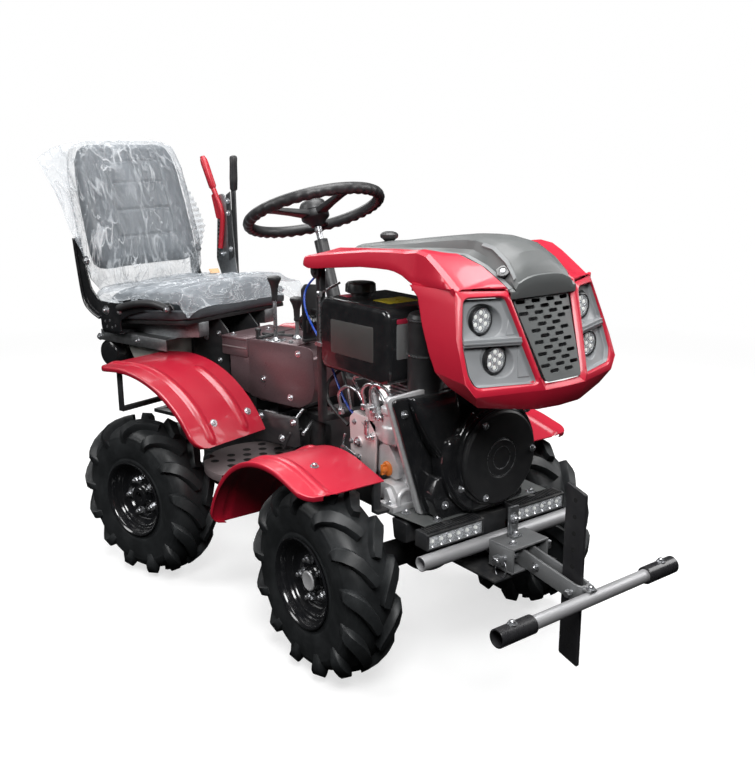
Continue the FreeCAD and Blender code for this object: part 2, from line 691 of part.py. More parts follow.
def bar_sleeves():
    """Open sleeves over both ends of the cross tube."""
    y, z = CROSS_TUBE_PLACE
    start = CROSS_TUBE_LENGTH / 2 - SLEEVE_OVERLAP
    sleeve = rod((start, y, z), (start + SLEEVE_LENGTH, y, z), SLEEVE_RADIUS)
    sleeve = sleeve.cut(rod((start, y, z), (start + SLEEVE_LENGTH, y, z), CROSS_TUBE_RADIUS))
    sleeve = sleeve.cut(rod((CROSS_TUBE_LENGTH / 2, y, z), (start + SLEEVE_LENGTH, y, z), SLEEVE_BORE))
    return both_sides(sleeve)


def depth_bar():
    """Upright flat bar held in the drawbar's loop by its front pin."""
    bar = side_plate([(-944, 144), (-998, 130), (-998, 530), (-944, 546)], -4, 8)
    return bar.cut(hitch_pins().Solids[1])


def belly_plate():
    """Guard plate under the front bracket."""
    return block(-100, 100, -836, -640, BEAM_LOW - 6, BEAM_LOW)


def column_line(height):
    """The point on the steering column's line at one height."""
    y, z = STEERING_CENTRE
    slope = math.tan(math.radians(STEERING_TILT))
    return (0, y - (z - height) * slope, height)


def steering_axis():
    """Unit direction of the steering shaft, pointing up to the driver."""
    foot = V(*column_line(800))
    head = V(*column_line(1000))
    return (head - foot).normalize()


def steering_column():
    """Column tube with its foot bracket on the clutch case and a cable clip."""
    jacket = rod(column_line(580), column_line(COLUMN_TOP), 19)
    bore = rod(column_line(COLUMN_TOP - 80), column_line(COLUMN_TOP + 20), 9 + RUNNING_FIT)
    foot = column_line(580)[1]
    bracket = block(-30, 30, foot - 30, foot + 22, BEAM_HIGH + 150, 624)
    start = V(*CABLE_ROUTE[0])
    into = (start - V(*CABLE_ROUTE[1])).normalize()
    ferrule = Part.makeCylinder(CABLE_RADIUS + 2, 12, start, into)
    heart = start + into * 6
    clip = rod(column_line(heart.z), (heart.x, heart.y, heart.z), CABLE_RADIUS + 1)
    return fuse_all([jacket, bracket, ferrule, clip]).cut(bore)


def steering_wheel():
    """Wheel, three spokes, hub and the shaft that turns in the column."""
    ring = Part.makeTorus(STEERING_RADIUS, STEERING_GRIP)
    hub = Part.makeCylinder(34, 34, V(0, 0, -30), Z_AXIS)
    spokes = []
    for turn in SPOKE_ANGLES:
        spoke = Part.makeBox(STEERING_RADIUS - 4, 26, 9, V(0, -13, -6))
        spoke.rotate(V(0, 0, 0), Z_AXIS, turn)
        spokes.append(spoke)
    wheel = fuse_all([ring, hub] + spokes)
    axis = steering_axis()
    y, z = STEERING_CENTRE
    tilt = math.degrees(math.atan2(-axis.y, axis.z))
    wheel.rotate(V(0, 0, 0), X_AXIS, tilt)
    wheel.translate(V(0, y, z))
    shaft = rod(column_line(COLUMN_TOP - 78), (0, y, z), 9)
    return wheel.fuse(shaft).removeSplitter()


# ---------------------------------------------------------------- rear half
def rear_chassis():
    """Beam, pivot tongue, gear case and the saddle under the sheet cover."""
    half = BEAM_WIDTH / 2
    beam = block(-half, half, BEAM_START, 560, BEAM_LOW, BEAM_HIGH)
    low = PIVOT_LOW + LUG_PLATE + BODY_GAP
    high = PIVOT_HIGH - LUG_PLATE - BODY_GAP
    eye = rod((0, 0, low), (0, 0, high), TONGUE_RADIUS)
    web = block(-24, 24, 0, BEAM_START + 20, low, high)
    case = block(-40, 40, 300, CASE_REAR, BEAM_HIGH, 640)
    saddle = block(-60, 60, 116, 150, BEAM_HIGH, COVER_LOW - SEAM_GAP)
    shape = fuse_all([beam, eye, web, case, saddle])
    return shape.cut(rod((0, 0, 0), (0, 0, 900), PIVOT_PIN_RADIUS + RUNNING_FIT))


def transmission_cover():
    """Sheet cover over the gear case, between the pivot and the seat."""
    outline = [(-22, 560), (-22, 660), (20, COVER_TOP), (269, COVER_TOP), (269, 550), (150, COVER_LOW), (0, COVER_LOW)]
    return side_plate(outline, -100, 200)


def rear_fenders():
    """The pair of mudguards over the rear wheels."""
    return both_sides(fender(REAR_FENDER))


def rear_fender_stays():
    """Cross bars that carry the rear mudguards from the beam and the gear case."""
    under = fender_underside(REAR_FENDER)
    fore = block(-335, 335, 96, 112, 470, 480)
    leg = block(-30, 30, 96, 112, BEAM_HIGH, 470)
    fore_posts = block(-335, 335, 96, 112, 480, 700).common(under).cut(block(-190, 190, 90, 120, 400, 900))
    aft = block(-394, 394, CASE_REAR, CASE_REAR + 20, 508, 520)
    aft_posts = block(-394, 394, CASE_REAR, CASE_REAR + 20, 520, 700).common(under)
    aft_posts = aft_posts.cut(block(-388, 388, 300, 500, 400, 900))
    return Part.makeCompound([fuse_all([fore, leg] + fore_posts.Solids), fuse_all([aft] + aft_posts.Solids)])


def front_keep_outs():
    """What the front half fills near the foot plates, for the right side."""
    z = FOOT_PLATE_HEIGHT - FOOT_PLATE_EDGE - FRONT_FENDER_CENTRE[1]
    reach = math.sqrt(FRONT_FENDER_RADIUS ** 2 - z ** 2)
    skirt = FRONT_FENDER_CENTRE[0] + reach + FENDER_LIP + LOCK_CLEARANCE
    half = BEAM_WIDTH / 2 + LOCK_CLEARANCE
    beam = block(-half, half, BEAM_FRONT, -BEAM_START + LOCK_CLEARANCE, 0, 900)
    lug = rod((0, 0, 0), (0, 0, 900), LUG_WIDTH / 2 + LOCK_CLEARANCE)
    fender_block = block(-FENDER_OUTER - 20, -FRONT_FENDER_INNER + LOCK_CLEARANCE, BEAM_FRONT, skirt, 0, 900)
    return [beam, lug, fender_block]


def foot_plates():
    """Round foot rests with a turned-down edge, cut clear of the front half at both locks."""
    x, y = FOOT_PLATE_CENTRE
    z = FOOT_PLATE_HEIGHT
    low = z - FOOT_PLATE_EDGE
    disc = rod((-x, y, low), (-x, y, z), FOOT_PLATE_RADIUS)
    hollow = rod((-x, y, low), (-x, y, z - FOOT_PLATE_WALL), FOOT_PLATE_RADIUS - FOOT_PLATE_WALL)
    plate = disc.cut(hollow)
    plate = plate.cut(block(-BEAM_WIDTH / 2 - LOCK_CLEARANCE, 400, -400, 600, 0, 900))
    radius = TYRE_RADIUS + LOCK_CLEARANCE
    plate = plate.cut(rod((-400, REAR_REACH, TYRE_RADIUS), (-240, REAR_REACH, TYRE_RADIUS), radius))
    for step in range(-LOCK_STEPS, LOCK_STEPS + 1):
        for keep_out in front_keep_outs():
            keep_out.rotate(V(0, 0, 0), Z_AXIS, STEER_LOCK * step / LOCK_STEPS)
            plate = plate.cut(keep_out)
    arm = block(-x - 30, -BEAM_WIDTH / 2, y - 10, y + 30, low, z - FOOT_PLATE_WALL)
    return both_sides(plate.fuse(arm).removeSplitter())


def pedal_brackets():
    """Upright side plates above the foot rests, on arms from the beam."""
    outline = [(-48, 430), (-40, 508), (110, 508), (125, 480), (125, 420), (-30, 420)]
    plate = side_plate(outline, -152, 4)
    arm = block(-148, -30, 60, 90, 420, 430)
    leg = block(-48, -30, 60, 90, BEAM_HIGH, 420)
    bracket = fuse_all([plate, arm, leg])
    return both_sides(bracket.cut(rear_fender_stays()))


def tilted_to_seat(shape):
    """A shape made level at the origin, moved to the seat's front edge and tilted with it."""
    shape.rotate(V(0, 0, 0), X_AXIS, -CUSHION_TILT)
    shape.translate(V(0, CUSHION_FRONT, CUSHION_LOW))
    return shape


def seat_mount():
    """Plate and rails under the seat, on a post from the rear beam."""
    plate = block(-202, 202, 430, 735, MOUNT_TOP - 4, MOUNT_TOP)
    lips = [block(-202, -198, 430, 735, 645, MOUNT_TOP - 4), block(198, 202, 430, 735, 645, MOUNT_TOP - 4)]
    post = block(-30, 30, 500, 560, BEAM_HIGH, MOUNT_TOP - 4)
    slope = math.tan(math.radians(CUSHION_TILT))
    under_pan = CUSHION_LOW - (PAN_THICK + 2 * SEAM_GAP) / math.cos(math.radians(CUSHION_TILT))
    outline = [(430, MOUNT_TOP), (735, MOUNT_TOP)]
    outline += [(y, under_pan - (y - CUSHION_FRONT) * slope) for y in (735, 330)] + [(330, MOUNT_TOP + 14)]
    rails = [side_plate(outline, s * 140 - 20, 40) for s in (-1, 1)]
    return fuse_all([plate, post] + lips + rails)


def seat_brackets():
    """Side plates with a rounded heel that join the seat back to its base."""
    outline = [(350, 776), (560, 742), (600, 722), (600, MOUNT_TOP), (690, MOUNT_TOP), (690, 724), (735, 740),
               (768, 775), (786, 880), (792, 956), (768, 958), (756, 880), (738, 806), (700, 774), (640, 768),
               (352, 808)]
    inner = SEAT_WIDTH / 2 + SEAM_GAP
    plate = side_plate(outline, -inner - 6, 6)
    tie = block(-inner - 6, -160, 605, 685, MOUNT_TOP, MOUNT_TOP + 12)
    return both_sides(plate.fuse(tie).removeSplitter())


def seat_pan():
    """Shallow black pan that the cushion sits in."""
    half = SEAT_WIDTH / 2 - 14
    return tilted_to_seat(block(-half, half, 14, CUSHION_DEPTH - 10, -PAN_THICK - SEAM_GAP, -SEAM_GAP))


def seat_cushion():
    """Seat cushion as a plain rounded solid."""
    half = SEAT_WIDTH / 2
    cushion = block(-half, half, 0, CUSHION_DEPTH, 0, CUSHION_THICK)
    return tilted_to_seat(cushion.makeFillet(30, cushion.Edges))


def seat_back():
    """Seat back as a plain rounded solid."""
    half = SEAT_WIDTH / 2
    pad = block(-half, half, 0, BACK_THICK, 0, BACK_HEIGHT)
    pad = pad.makeFillet(30, pad.Edges)
    pad.rotate(V(0, 0, 0), X_AXIS, -BACK_TILT)
    pad.translate(V(0, 690, 872))
    return pad


def lift_levers():
    """Lever stand at the left of the seat, with its two levers."""
    x = SEAT_WIDTH / 2 + LEVER_GAP
    stand = side_plate([(560, 660), (600, 660), (670, 860), (660, 1080), (600, 1080), (580, 860)], x, 5)
    foot = block(202, x + 5, 560, 600, 655, 661)
    black = rod((x + 14, 575, 800), (x + 14, 596, 1100), 7)
    grip = rod((x + 14, 596, 1100), (x + 14, 600, 1212), 13)
    red = rod((x - 8, 655, 900), (x - 8, 720, 1120), 7)
    red_grip = rod((x - 8, 720, 1120), (x - 8, 742, 1210), 11)
    pins = [rod((x - 14, 662, 930), (x + 5, 662, 930), 6), rod((x, 580, 830), (x + 22, 580, 830), 6)]
    return fuse_all([stand, foot, black, grip, red, red_grip] + pins)


def gear_levers():
    """Short shift levers with flared knobs on the gear case."""
    levers = []
    for x, y, top in ((-60, 118, 880), (0, 88, 815)):
        stem = rod((x, y, 693), (x, y, top - 30), 6)
        knob = Part.makeCone(9, 17, 70, V(x, y, top - 70), Z_AXIS)
        levers.append(stem.fuse(knob).removeSplitter())
    return Part.makeCompound(levers)


def horn():
    """Round horn on a short stand at the front of the sheet cover."""
    drum = rod((-40, 20, 750), (0, 20, 750), 28)
    return drum.fuse(block(-26, -14, 24, 34, COVER_TOP, 735)).removeSplitter()


def under_seat_box():
    """Pale sheet box hung under the seat plate."""
    return block(-150, -34, 500, 670, 575, MOUNT_TOP - 4 - SEAM_GAP)


def rear_reservoir():
    """Round black oil reservoir across the back, on two hangers from the seat plate."""
    radius = 44.0
    y = 719.0
    z = MOUNT_TOP - 4 - SEAM_GAP - 30 - radius
    drum = rod((-195, y, z), (195, y, z), radius)
    hangers = [block(x - 15, x + 15, y - 8, y + 8, z, MOUNT_TOP - 4 - SEAM_GAP) for x in (-130, 130)]
    return fuse_all([drum] + hangers)


def rear_hitch():
    """Clevis at the back of the rear beam, with its pin hole."""
    plates = [block(-40, 40, 560, 700, z, z + 12) for z in (312, 376)]
    back = block(-40, 40, 560, 572, 312, 388)
    shape = fuse_all(plates + [back])
    return shape.cut(rod((0, 670, 300), (0, 670, 400), 10.2))


def build():
    """All named shapes where they stand, about the pivot."""
    shapes = {
        "front_chassis": front_chassis(),
        "front_axle": axle(-FRONT_REACH),
        "engine_plate": engine_plate(),
        "engine_block": engine_block(),
        "blower_housing": blower_housing(),
        "fan_cover": fan_cover(),
        "fuel_tank": fuel_tank(),
        "tank_cap": tank_cap(),
        "air_cleaner": air_cleaner(),
        "muffler": muffler(),
        "injection_pump": injection_pump(),
        "hood_stays": hood_stays(),
        "front_fender_stays": front_fender_stays(),
        "front_fenders": front_fenders(),
        "light_bars": light_bars(),
        "bumper_tube": bumper_tube(),
        "hitch_bracket": hitch_bracket(),
        "hitch_pins": hitch_pins(),
        "drawbar": drawbar(),
        "cross_tube": cross_tube(),
        "bar_sleeves": bar_sleeves(),
        "depth_bar": depth_bar(),
        "throttle_cable": throttle_cable(),
        "hood_knob": hood_knob(),
        "hood_lock": hood_lock(),
        "belly_plate": belly_plate(),
        "steering_column": steering_column(),
        "steering_wheel": steering_wheel()}
    shapes["hood_shell"], shapes["hood_top_panel"] = hood_pieces()
    mask, pods, lamps, grille = mask_pieces()
    shapes["front_mask"] = mask
    shapes["lamp_pods"] = pods
    shapes["headlamps"] = lamps
    shapes["front_grille"] = grille
    rear = {
        "rear_chassis": rear_chassis(),
        "rear_axle": axle(REAR_REACH),
        "transmission_cover": transmission_cover(),
        "rear_fenders": rear_fenders(),
        "rear_fender_stays": rear_fender_stays(),
        "foot_plates": foot_plates(),
        "pedal_brackets": pedal_brackets(),
        "horn": horn(),
        "under_seat_box": under_seat_box(),
        "rear_reservoir": rear_reservoir(),
        "seat_mount": seat_mount(),
        "seat_pan": seat_pan(),
        "seat_brackets": seat_brackets(),
        "seat_cushion": seat_cushion(),
        "seat_back": seat_back(),
        "lift_levers": lift_levers(),
        "gear_levers": gear_levers(),
        "rear_hitch": rear_hitch()}
    for name, side in SIDES:
        x = side * WHEEL_OFFSET
        shapes["front_tyre_" + name] = tyre(x, -FRONT_REACH)
        shapes["front_rim_" + name] = rim(x, -FRONT_REACH, side)
        rear["rear_tyre_" + name] = tyre(x, REAR_REACH)
        rear["rear_rim_" + name] = rim(x, REAR_REACH, side)
    for name, shape in rear.items():
        shapes[name] = bent(shape)
    return shapes


def origin_shift(shapes):
    """The move that puts the origin at the bottom centre of the whole tractor."""
    whole = Part.makeCompound(list(shapes.values()))
    box = whole.optimalBoundingBox(False, False)
    return V(-(box.XMin + box.XMax) / 2, -(box.YMin + box.YMax) / 2, -box.ZMin)


def main():
    """Build, move to the origin and write one STEP file for each node."""
    os.makedirs("parts", exist_ok=True)
    shapes = build()
    shift = origin_shift(shapes)
    print("pivot in the row frame:", round(shift.x, 3), round(shift.y, 3), round(shift.z, 3))
    for name, shape in shapes.items():
        shape.translate(shift)
        shape.exportStep(os.path.join("parts", name + ".step"))
        state = "ok" if shape.isValid() else "INVALID"
        print(name, len(shape.Solids), state, round(shape.Volume / 1000.0, 1), "cm3")


main()
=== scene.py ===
"""Looks of a compact articulated tractor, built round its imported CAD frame."""

from __future__ import annotations

import json
import logging
import math
from dataclasses import dataclass, field, replace
from enum import Enum
from typing import Any, Sequence

import bmesh
import bpy
import numpy as np
from mathutils import Matrix, Vector, noise

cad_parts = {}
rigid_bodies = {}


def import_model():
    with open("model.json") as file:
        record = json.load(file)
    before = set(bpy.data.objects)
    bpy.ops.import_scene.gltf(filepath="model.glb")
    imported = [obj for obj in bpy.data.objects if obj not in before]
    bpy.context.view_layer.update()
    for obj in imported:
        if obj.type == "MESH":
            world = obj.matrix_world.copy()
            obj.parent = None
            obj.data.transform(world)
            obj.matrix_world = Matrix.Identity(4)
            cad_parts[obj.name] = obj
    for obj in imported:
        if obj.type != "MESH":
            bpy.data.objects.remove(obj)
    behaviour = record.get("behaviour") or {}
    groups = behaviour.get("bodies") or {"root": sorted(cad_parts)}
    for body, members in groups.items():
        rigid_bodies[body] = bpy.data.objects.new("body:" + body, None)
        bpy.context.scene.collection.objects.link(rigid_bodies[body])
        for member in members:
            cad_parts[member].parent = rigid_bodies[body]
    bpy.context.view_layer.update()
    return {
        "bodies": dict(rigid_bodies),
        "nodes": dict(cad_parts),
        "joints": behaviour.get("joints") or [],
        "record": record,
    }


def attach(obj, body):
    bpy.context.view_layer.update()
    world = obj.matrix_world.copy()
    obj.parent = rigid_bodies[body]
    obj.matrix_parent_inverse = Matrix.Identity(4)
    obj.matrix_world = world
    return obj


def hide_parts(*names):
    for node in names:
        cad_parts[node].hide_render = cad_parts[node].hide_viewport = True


MM = 0.001
TINY = 1e-6
WELD = 0.005  # mm, the distance within which two points of a drawing are one
UP, AHEAD, BACK = (0, 0, 1), (0, -1, 0), (0, 1, 0)
LEFT, RIGHT = (1, 0, 0), (-1, 0, 0)
SIDES = (("right", -1), ("left", 1))
LOG = logging.getLogger("tractor")
Point = Sequence[float]


class Half(Enum):
    """The two halves of the tractor, each with its own frame in millimetres from the pivot."""

    FRONT = "front_half"
    REAR = "rear_half"


class Axis(Enum):
    """An axis of a half's frame: across, along or up."""

    X = 0
    Y = 1
    Z = 2

    def point(self, along: float, u: float, v: float) -> Vector:
        """Gives the point at one distance along this axis, with u and v on the other two in order."""
        values = [u, v]
        values.insert(self.value, along)
        return Vector(values)


# ------------------------------------------------------------------ drawing
class Drawing:
    """A mesh drawn in millimetres in one half's frame, before it is placed on the tractor."""

    def __init__(self) -> None:
        """Starts with nothing drawn."""
        self.mesh = bmesh.new()

    def _face(self, corners: Sequence[bmesh.types.BMVert]) -> None:
        """Adds one face, leaving out repeated corners."""
        kept = list(dict.fromkeys(corners))
        if len(kept) > 2:
            self.mesh.faces.new(kept)

    def skin(self, rows: Sequence[Sequence[Point]], around: bool = False, endless: bool = False,
             caps: bool = False) -> "Drawing":
        """Joins rows of points into a surface.

        Args:
            rows: Rows with the same number of points.
            around: Whether each row closes on itself.
            endless: Whether the last row joins the first.
            caps: Whether the first and last rows are closed with a face.

        Returns:
            The drawing, for further calls.
        """
        verts = []
        for row in rows:
            first = Vector(row[0])
            if all((Vector(point) - first).length < TINY for point in row):
                verts.append([self.mesh.verts.new(first)] * len(row))
            else:
                verts.append([self.mesh.verts.new(Vector(point)) for point in row])
        pairs = list(zip(verts, verts[1:])) + ([(verts[-1], verts[0])] if endless else [])
        for low, high in pairs:
            count = len(low)
            for i in range(count if around else count - 1):
                j = (i + 1) % count
                self._face([low[i], low[j], high[j], high[i]])
        if caps:
            self._face(verts[0][::-1])
            self._face(verts[-1])
        return self

    def prism(self, outline: Sequence[Point], axis: Axis, start: float, end: float) -> "Drawing":
        """Draws a flat outline thickened along one axis."""
        return self.skin([[axis.point(at, *p) for p in outline] for at in (start, end)], around=True, caps=True)

    def pair(self, outline: Sequence[Point], near: float, far: float) -> "Drawing":
        """Draws an outline thickened across, once on each side of the middle plane."""
        for side in (-1, 1):
            self.prism(outline, Axis.X, *sorted((side * near, side * far)))
        return self

    def box(self, low: Point, high: Point) -> "Drawing":
        """Draws a block between two corners."""
        outline = [(low[0], low[1]), (high[0], low[1]), (high[0], high[1]), (low[0], high[1])]
        return self.prism(outline, Axis.Z, low[2], high[2])

    def lathe(self, origin: Point, axis: Point, profile: Sequence[Point], sides: int = 32,
              closed: bool = False) -> "Drawing":
        """Turns a profile about an axis.

        Args:
            origin: The point on the axis where the profile's distances start.
            axis: The direction of the axis.
            profile: Pairs of distance along the axis and radius.
            sides: Number of flats round the turn.
            closed: Whether the profile's last point joins its first.

        Returns:
            The drawing, for further calls.
        """
        along = Vector(axis).normalized()
        side = along.orthogonal().normalized()
        other = along.cross(side)
        turns = [(math.cos(math.tau * i / sides), math.sin(math.tau * i / sides)) for i in range(sides)]
        rows = [[Vector(origin) + along * d + (side * c + other * s) * r for c, s in turns] for d, r in profile]
        return self.skin(rows, around=True, endless=closed)

    def rod(self, start: Point, end: Point, radius: float, sides: int = 24, round_end: float = 0.0) -> "Drawing":
        """Draws a solid round bar with its ends rounded over."""
        length = (Vector(end) - Vector(start)).length
        edge = min(round_end, radius * 0.95, length * 0.45)
        profile = [(0.0, 0.0), (0.0, radius - edge), (edge, radius), (length - edge, radius),
                   (length, radius - edge), (length, 0.0)]
        if edge < TINY:
            profile = [(0.0, 0.0), (0.0, radius), (length, radius), (length, 0.0)]
        return self.lathe(start, Vector(end) - Vector(start), profile, sides)

    def pipe(self, start: Point, end: Point, outer: float, inner: float, sides: int = 32) -> "Drawing":
        """Draws an open tube."""
        length = (Vector(end) - Vector(start)).length
        profile = [(0, inner), (0, outer), (length, outer), (length, inner)]
        return self.lathe(start, Vector(end) - Vector(start), profile, sides, closed=True)

    def disc(self, origin: Point, axis: Point, radius: float, height: float, sides: int = 24,
             start: float = 0.0) -> "Drawing":
        """Draws a plain disc that begins at a distance along its axis."""
        profile = [(start, 0), (start, radius), (height, radius), (height, 0)]
        return self.lathe(origin, axis, profile, sides)

    def sweep(self, path: Sequence[Point], section: Sequence[Point], up: Point | None = None) -> "Drawing":
        """Carries a section along a path and closes its ends.

        Args:
            path: Points of the path.
            section: The section's points: across and up from the path.
            up: A direction that the section's up stays near. Without it the section turns as little as it can.

        Returns:
            The drawing, for further calls.
        """
        points = [Vector(p) for p in path]
        ahead = [(after - before).normalized()
                 for before, after in zip([points[0], *points[:-1]], [*points[1:], points[-1]])]
        rise = Vector(up) if up else ahead[0].orthogonal()
        rows = []
        for point, direction in zip(points, ahead):
            rise = Vector(up) if up else rise
            rise = (rise - direction * rise.dot(direction)).normalized()
            across = direction.cross(rise)
            rows.append([point + (across * u + rise * v) for u, v in section])
        return self.skin(rows, around=True, caps=True)

    def wire(self, path: Sequence[Point], radius: float, sides: int = 10) -> "Drawing":
        """Draws a round wire or hose along a path."""
        turns = [math.tau * i / sides for i in range(sides)]
        return self.sweep(path, [(radius * math.cos(a), radius * math.sin(a)) for a in turns])

    def add(self, other: "Drawing", matrix: Matrix | None = None) -> "Drawing":
        """Adds a copy of another drawing, moved by a matrix."""
        copy = bpy.data.meshes.new("copy")
        other.mesh.to_mesh(copy)
        if matrix:
            copy.transform(matrix)
        self.mesh.from_mesh(copy)
        bpy.data.meshes.remove(copy)
        return self

    def mirrored(self) -> "Drawing":
        """Adds the mirror image of all that is drawn, on the other side of the middle plane."""
        self.close()
        twin = Drawing()
        twin.add(self, Matrix.Scale(-1, 4, LEFT))
        bmesh.ops.reverse_faces(twin.mesh, faces=twin.mesh.faces[:])
        return self.add(twin)

    def close(self, outward: bool = True) -> "Drawing":
        """Merges double points, and turns the faces outwards where asked."""
        bmesh.ops.remove_doubles(self.mesh, verts=self.mesh.verts[:], dist=WELD)
        if outward:
            bmesh.ops.recalc_face_normals(self.mesh, faces=self.mesh.faces[:])
        return self


def soft_loop(corners: Sequence[Point], radius: float, steps: int = 5, share: float = 0.45) -> list[Vector]:
    """Rounds the corners of a closed loop.

    Args:
        corners: The corners in order, flat or in space.
        radius: The radius, made smaller where the sides are short.
        steps: Number of segments in each corner.
        share: The most of a side that one corner may take.

    Returns:
        The points of the rounded loop.
    """
    result = []
    points = [Vector(corner) for corner in corners]
    for before, corner, after in zip([points[-1], *points[:-1]], points, [*points[1:], points[0]]):
        a, b = before - corner, after - corner
        reach = min(radius, a.length * share, b.length * share)
        start, end = corner + a.normalized() * reach, corner + b.normalized() * reach
        for step in range(steps + 1):
            t = step / steps
            result.append(start * (1 - t) ** 2 + corner * 2 * t * (1 - t) + end * t ** 2)
    return result


def rounded(outline: Sequence[Point], radius: float, steps: int = 5) -> list[tuple[float, float]]:
    """Rounds the corners of a flat closed outline."""
    return [(point.x, point.y) for point in soft_loop(outline, radius, steps, 0.48)]


def spline(points: Sequence[Point], steps: int = 8) -> list[Vector]:
    """Gives a smooth path through a few points."""
    knots = [Vector(p) for p in points]
    knots = [knots[0] * 2 - knots[1]] + knots + [knots[-1] * 2 - knots[-2]]
    path = []
    for a, b, c, d in zip(knots, knots[1:], knots[2:], knots[3:]):
        for step in range(steps):
            t = step / steps
            path.append(0.5 * ((2 * b) + (c - a) * t + (2 * a - 5 * b + 4 * c - d) * t ** 2
                               + (3 * b - a - 3 * c + d) * t ** 3))
    path.append(knots[-2])
    return path


def between(table: Sequence[Sequence[float]], at: float) -> list[float]:
    """Reads a table by straight lines between its rows.

    Args:
        table: Rows whose first number rises from row to row.
        at: The first number that is looked up.

    Returns:
        The other numbers of the row at that place.
    """
    keys = [row[0] for row in table]
    return [float(np.interp(at, keys, [row[k] for row in table])) for k in range(1, len(table[0]))]


# ------------------------------------------------------------------ node trees
Node = bpy.types.Node
Socket = bpy.types.NodeSocket
Tree = bpy.types.NodeTree


class Graph:
    """A short way to add nodes to a tree and join them."""

    def __init__(self, tree: Tree) -> None:
        """Works on one tree."""
        self.tree = tree

    def connect(self, node: Node, inputs: dict[Any, Any]) -> Node:
        """Gives a node's inputs their values.

        Args:
            node: The node.
            inputs: Values or output sockets for its inputs, by name or number.

        Returns:
            The node.
        """
        for name, value in inputs.items():
            if isinstance(value, Socket):
                self.tree.links.new(value, node.inputs[name])
            else:
                node.inputs[name].default_value = value
        return node

    def add(self, kind: str, inputs: dict[Any, Any] | None = None, **settings: Any) -> Node:
        """Adds one node.

        Args:
            kind: The node's type name.
            inputs: Values or output sockets for its inputs, by name or number.
            settings: The node's own settings.

        Returns:
            The new node.
        """
        node = self.tree.nodes.new(kind)
        for name, value in settings.items():
            setattr(node, name, value)
        return self.connect(node, inputs or {})

    def get(self, kind: str, inputs: dict[Any, Any] | None = None, output: int | str = 0, **settings: Any) -> Socket:
        """Adds one node and gives one of its outputs."""
        return self.add(kind, inputs, **settings).outputs[output]

    def math(self, operation: str, *values: Any) -> Socket:
        """Adds a Math node and gives its result."""
        return self.get("ShaderNodeMath", dict(enumerate(values)), operation=operation)

    def times(self, first: Any, second: Any) -> Socket:
        """Multiplies two numbers."""
        return self.math("MULTIPLY", first, second)

    def ramp(self, value: Socket, low: float, high: float, to_low: float = 0.0, to_high: float = 1.0) -> Socket:
        """Maps a value from one range to another, held inside the new range."""
        inputs = {"Value": value, "From Min": low, "From Max": high, "To Min": to_low, "To Max": to_high}
        return self.get("ShaderNodeMapRange", inputs)

    def mix(self, factor: Any, first: Any, second: Any) -> Socket:
        """Mixes two colours."""
        return self.get("ShaderNodeMix", {0: factor, 6: first, 7: second}, 2, data_type="RGBA")

    def noise(self, vector: Socket, scale: float, detail: float = 4.0, rough: float = 0.55) -> Socket:
        """Adds a noise texture and gives its value."""
        inputs = {"Vector": vector, "Scale": scale, "Detail": detail, "Roughness": rough}
        return self.get("ShaderNodeTexNoise", inputs, "Fac")

    def cells(self, vector: Socket, scale: float) -> Socket:
        """Adds a pattern of cells, each with its own value from 0 to 1."""
        colour = self.get("ShaderNodeTexVoronoi", {"Vector": vector, "Scale": scale}, "Color")
        return self.get("ShaderNodeSeparateColor", {0: colour})

    def vector(self, **parts: Any) -> Socket:
        """Makes a vector from its X, Y and Z."""
        return self.get("ShaderNodeCombineXYZ", parts)

    def together(self, *parts: Node) -> Socket:
        """Joins the geometry that several nodes make."""
        whole = self.add("GeometryNodeJoinGeometry")
        for part in parts:
            self.tree.links.new(part.outputs[0], whole.inputs[0])
        return whole.outputs[0]

    def spread(self, points: Socket, shape: Socket, **turn: Socket) -> Socket:
        """Puts a shape on each point, with a Rotation where one is given."""
        return self.get("GeometryNodeInstanceOnPoints", {"Points": points, "Instance": shape, **turn})

    def upright(self) -> Socket:
        """Gives the rotation that stands a shape along each point's axis attribute."""
        axis = self.get("GeometryNodeInputNamedAttribute", {"Name": "axis"}, data_type="FLOAT_VECTOR")
        return self.get("FunctionNodeAlignRotationToVector", {"Vector": axis}, axis="Z")


FLOAT = "NodeSocketFloat"
COUNT = "NodeSocketInt"


class Recipe(Graph):
    """A geometry node tree with named inputs, the last of which is its finish."""

    def __init__(self, name: str, inputs: dict[str, tuple[str, float]]) -> None:
        """Starts the tree.

        Args:
            name: The tree's name.
            inputs: Socket type and first value of each input after the geometry, by name.
        """
        super().__init__(bpy.data.node_groups.new(name, "GeometryNodeTree"))
        self._socket("Geometry", "INPUT", "NodeSocketGeometry")
        for label, (kind, value) in inputs.items():
            self._socket(label, "INPUT", kind).default_value = value
        self._socket("Finish", "INPUT", "NodeSocketMaterial")
        self._socket("Geometry", "OUTPUT", "NodeSocketGeometry")
        self.given = self.add("NodeGroupInput").outputs

    def _socket(self, label: str, way: str, kind: str) -> bpy.types.NodeTreeInterfaceSocket:
        """Adds one input or output to the tree's interface."""
        return self.tree.interface.new_socket(label, in_out=way, socket_type=kind)

    def end(self, geometry: Socket) -> Tree:
        """Ends the tree in Realize Instances and Set Material, and gives it."""
        real = self.get("GeometryNodeRealizeInstances", {0: geometry})
        coated = self.get("GeometryNodeSetMaterial", {"Geometry": real, "Material": self.given["Finish"]})
        self.add("NodeGroupOutput", {0: coated})
        return self.tree


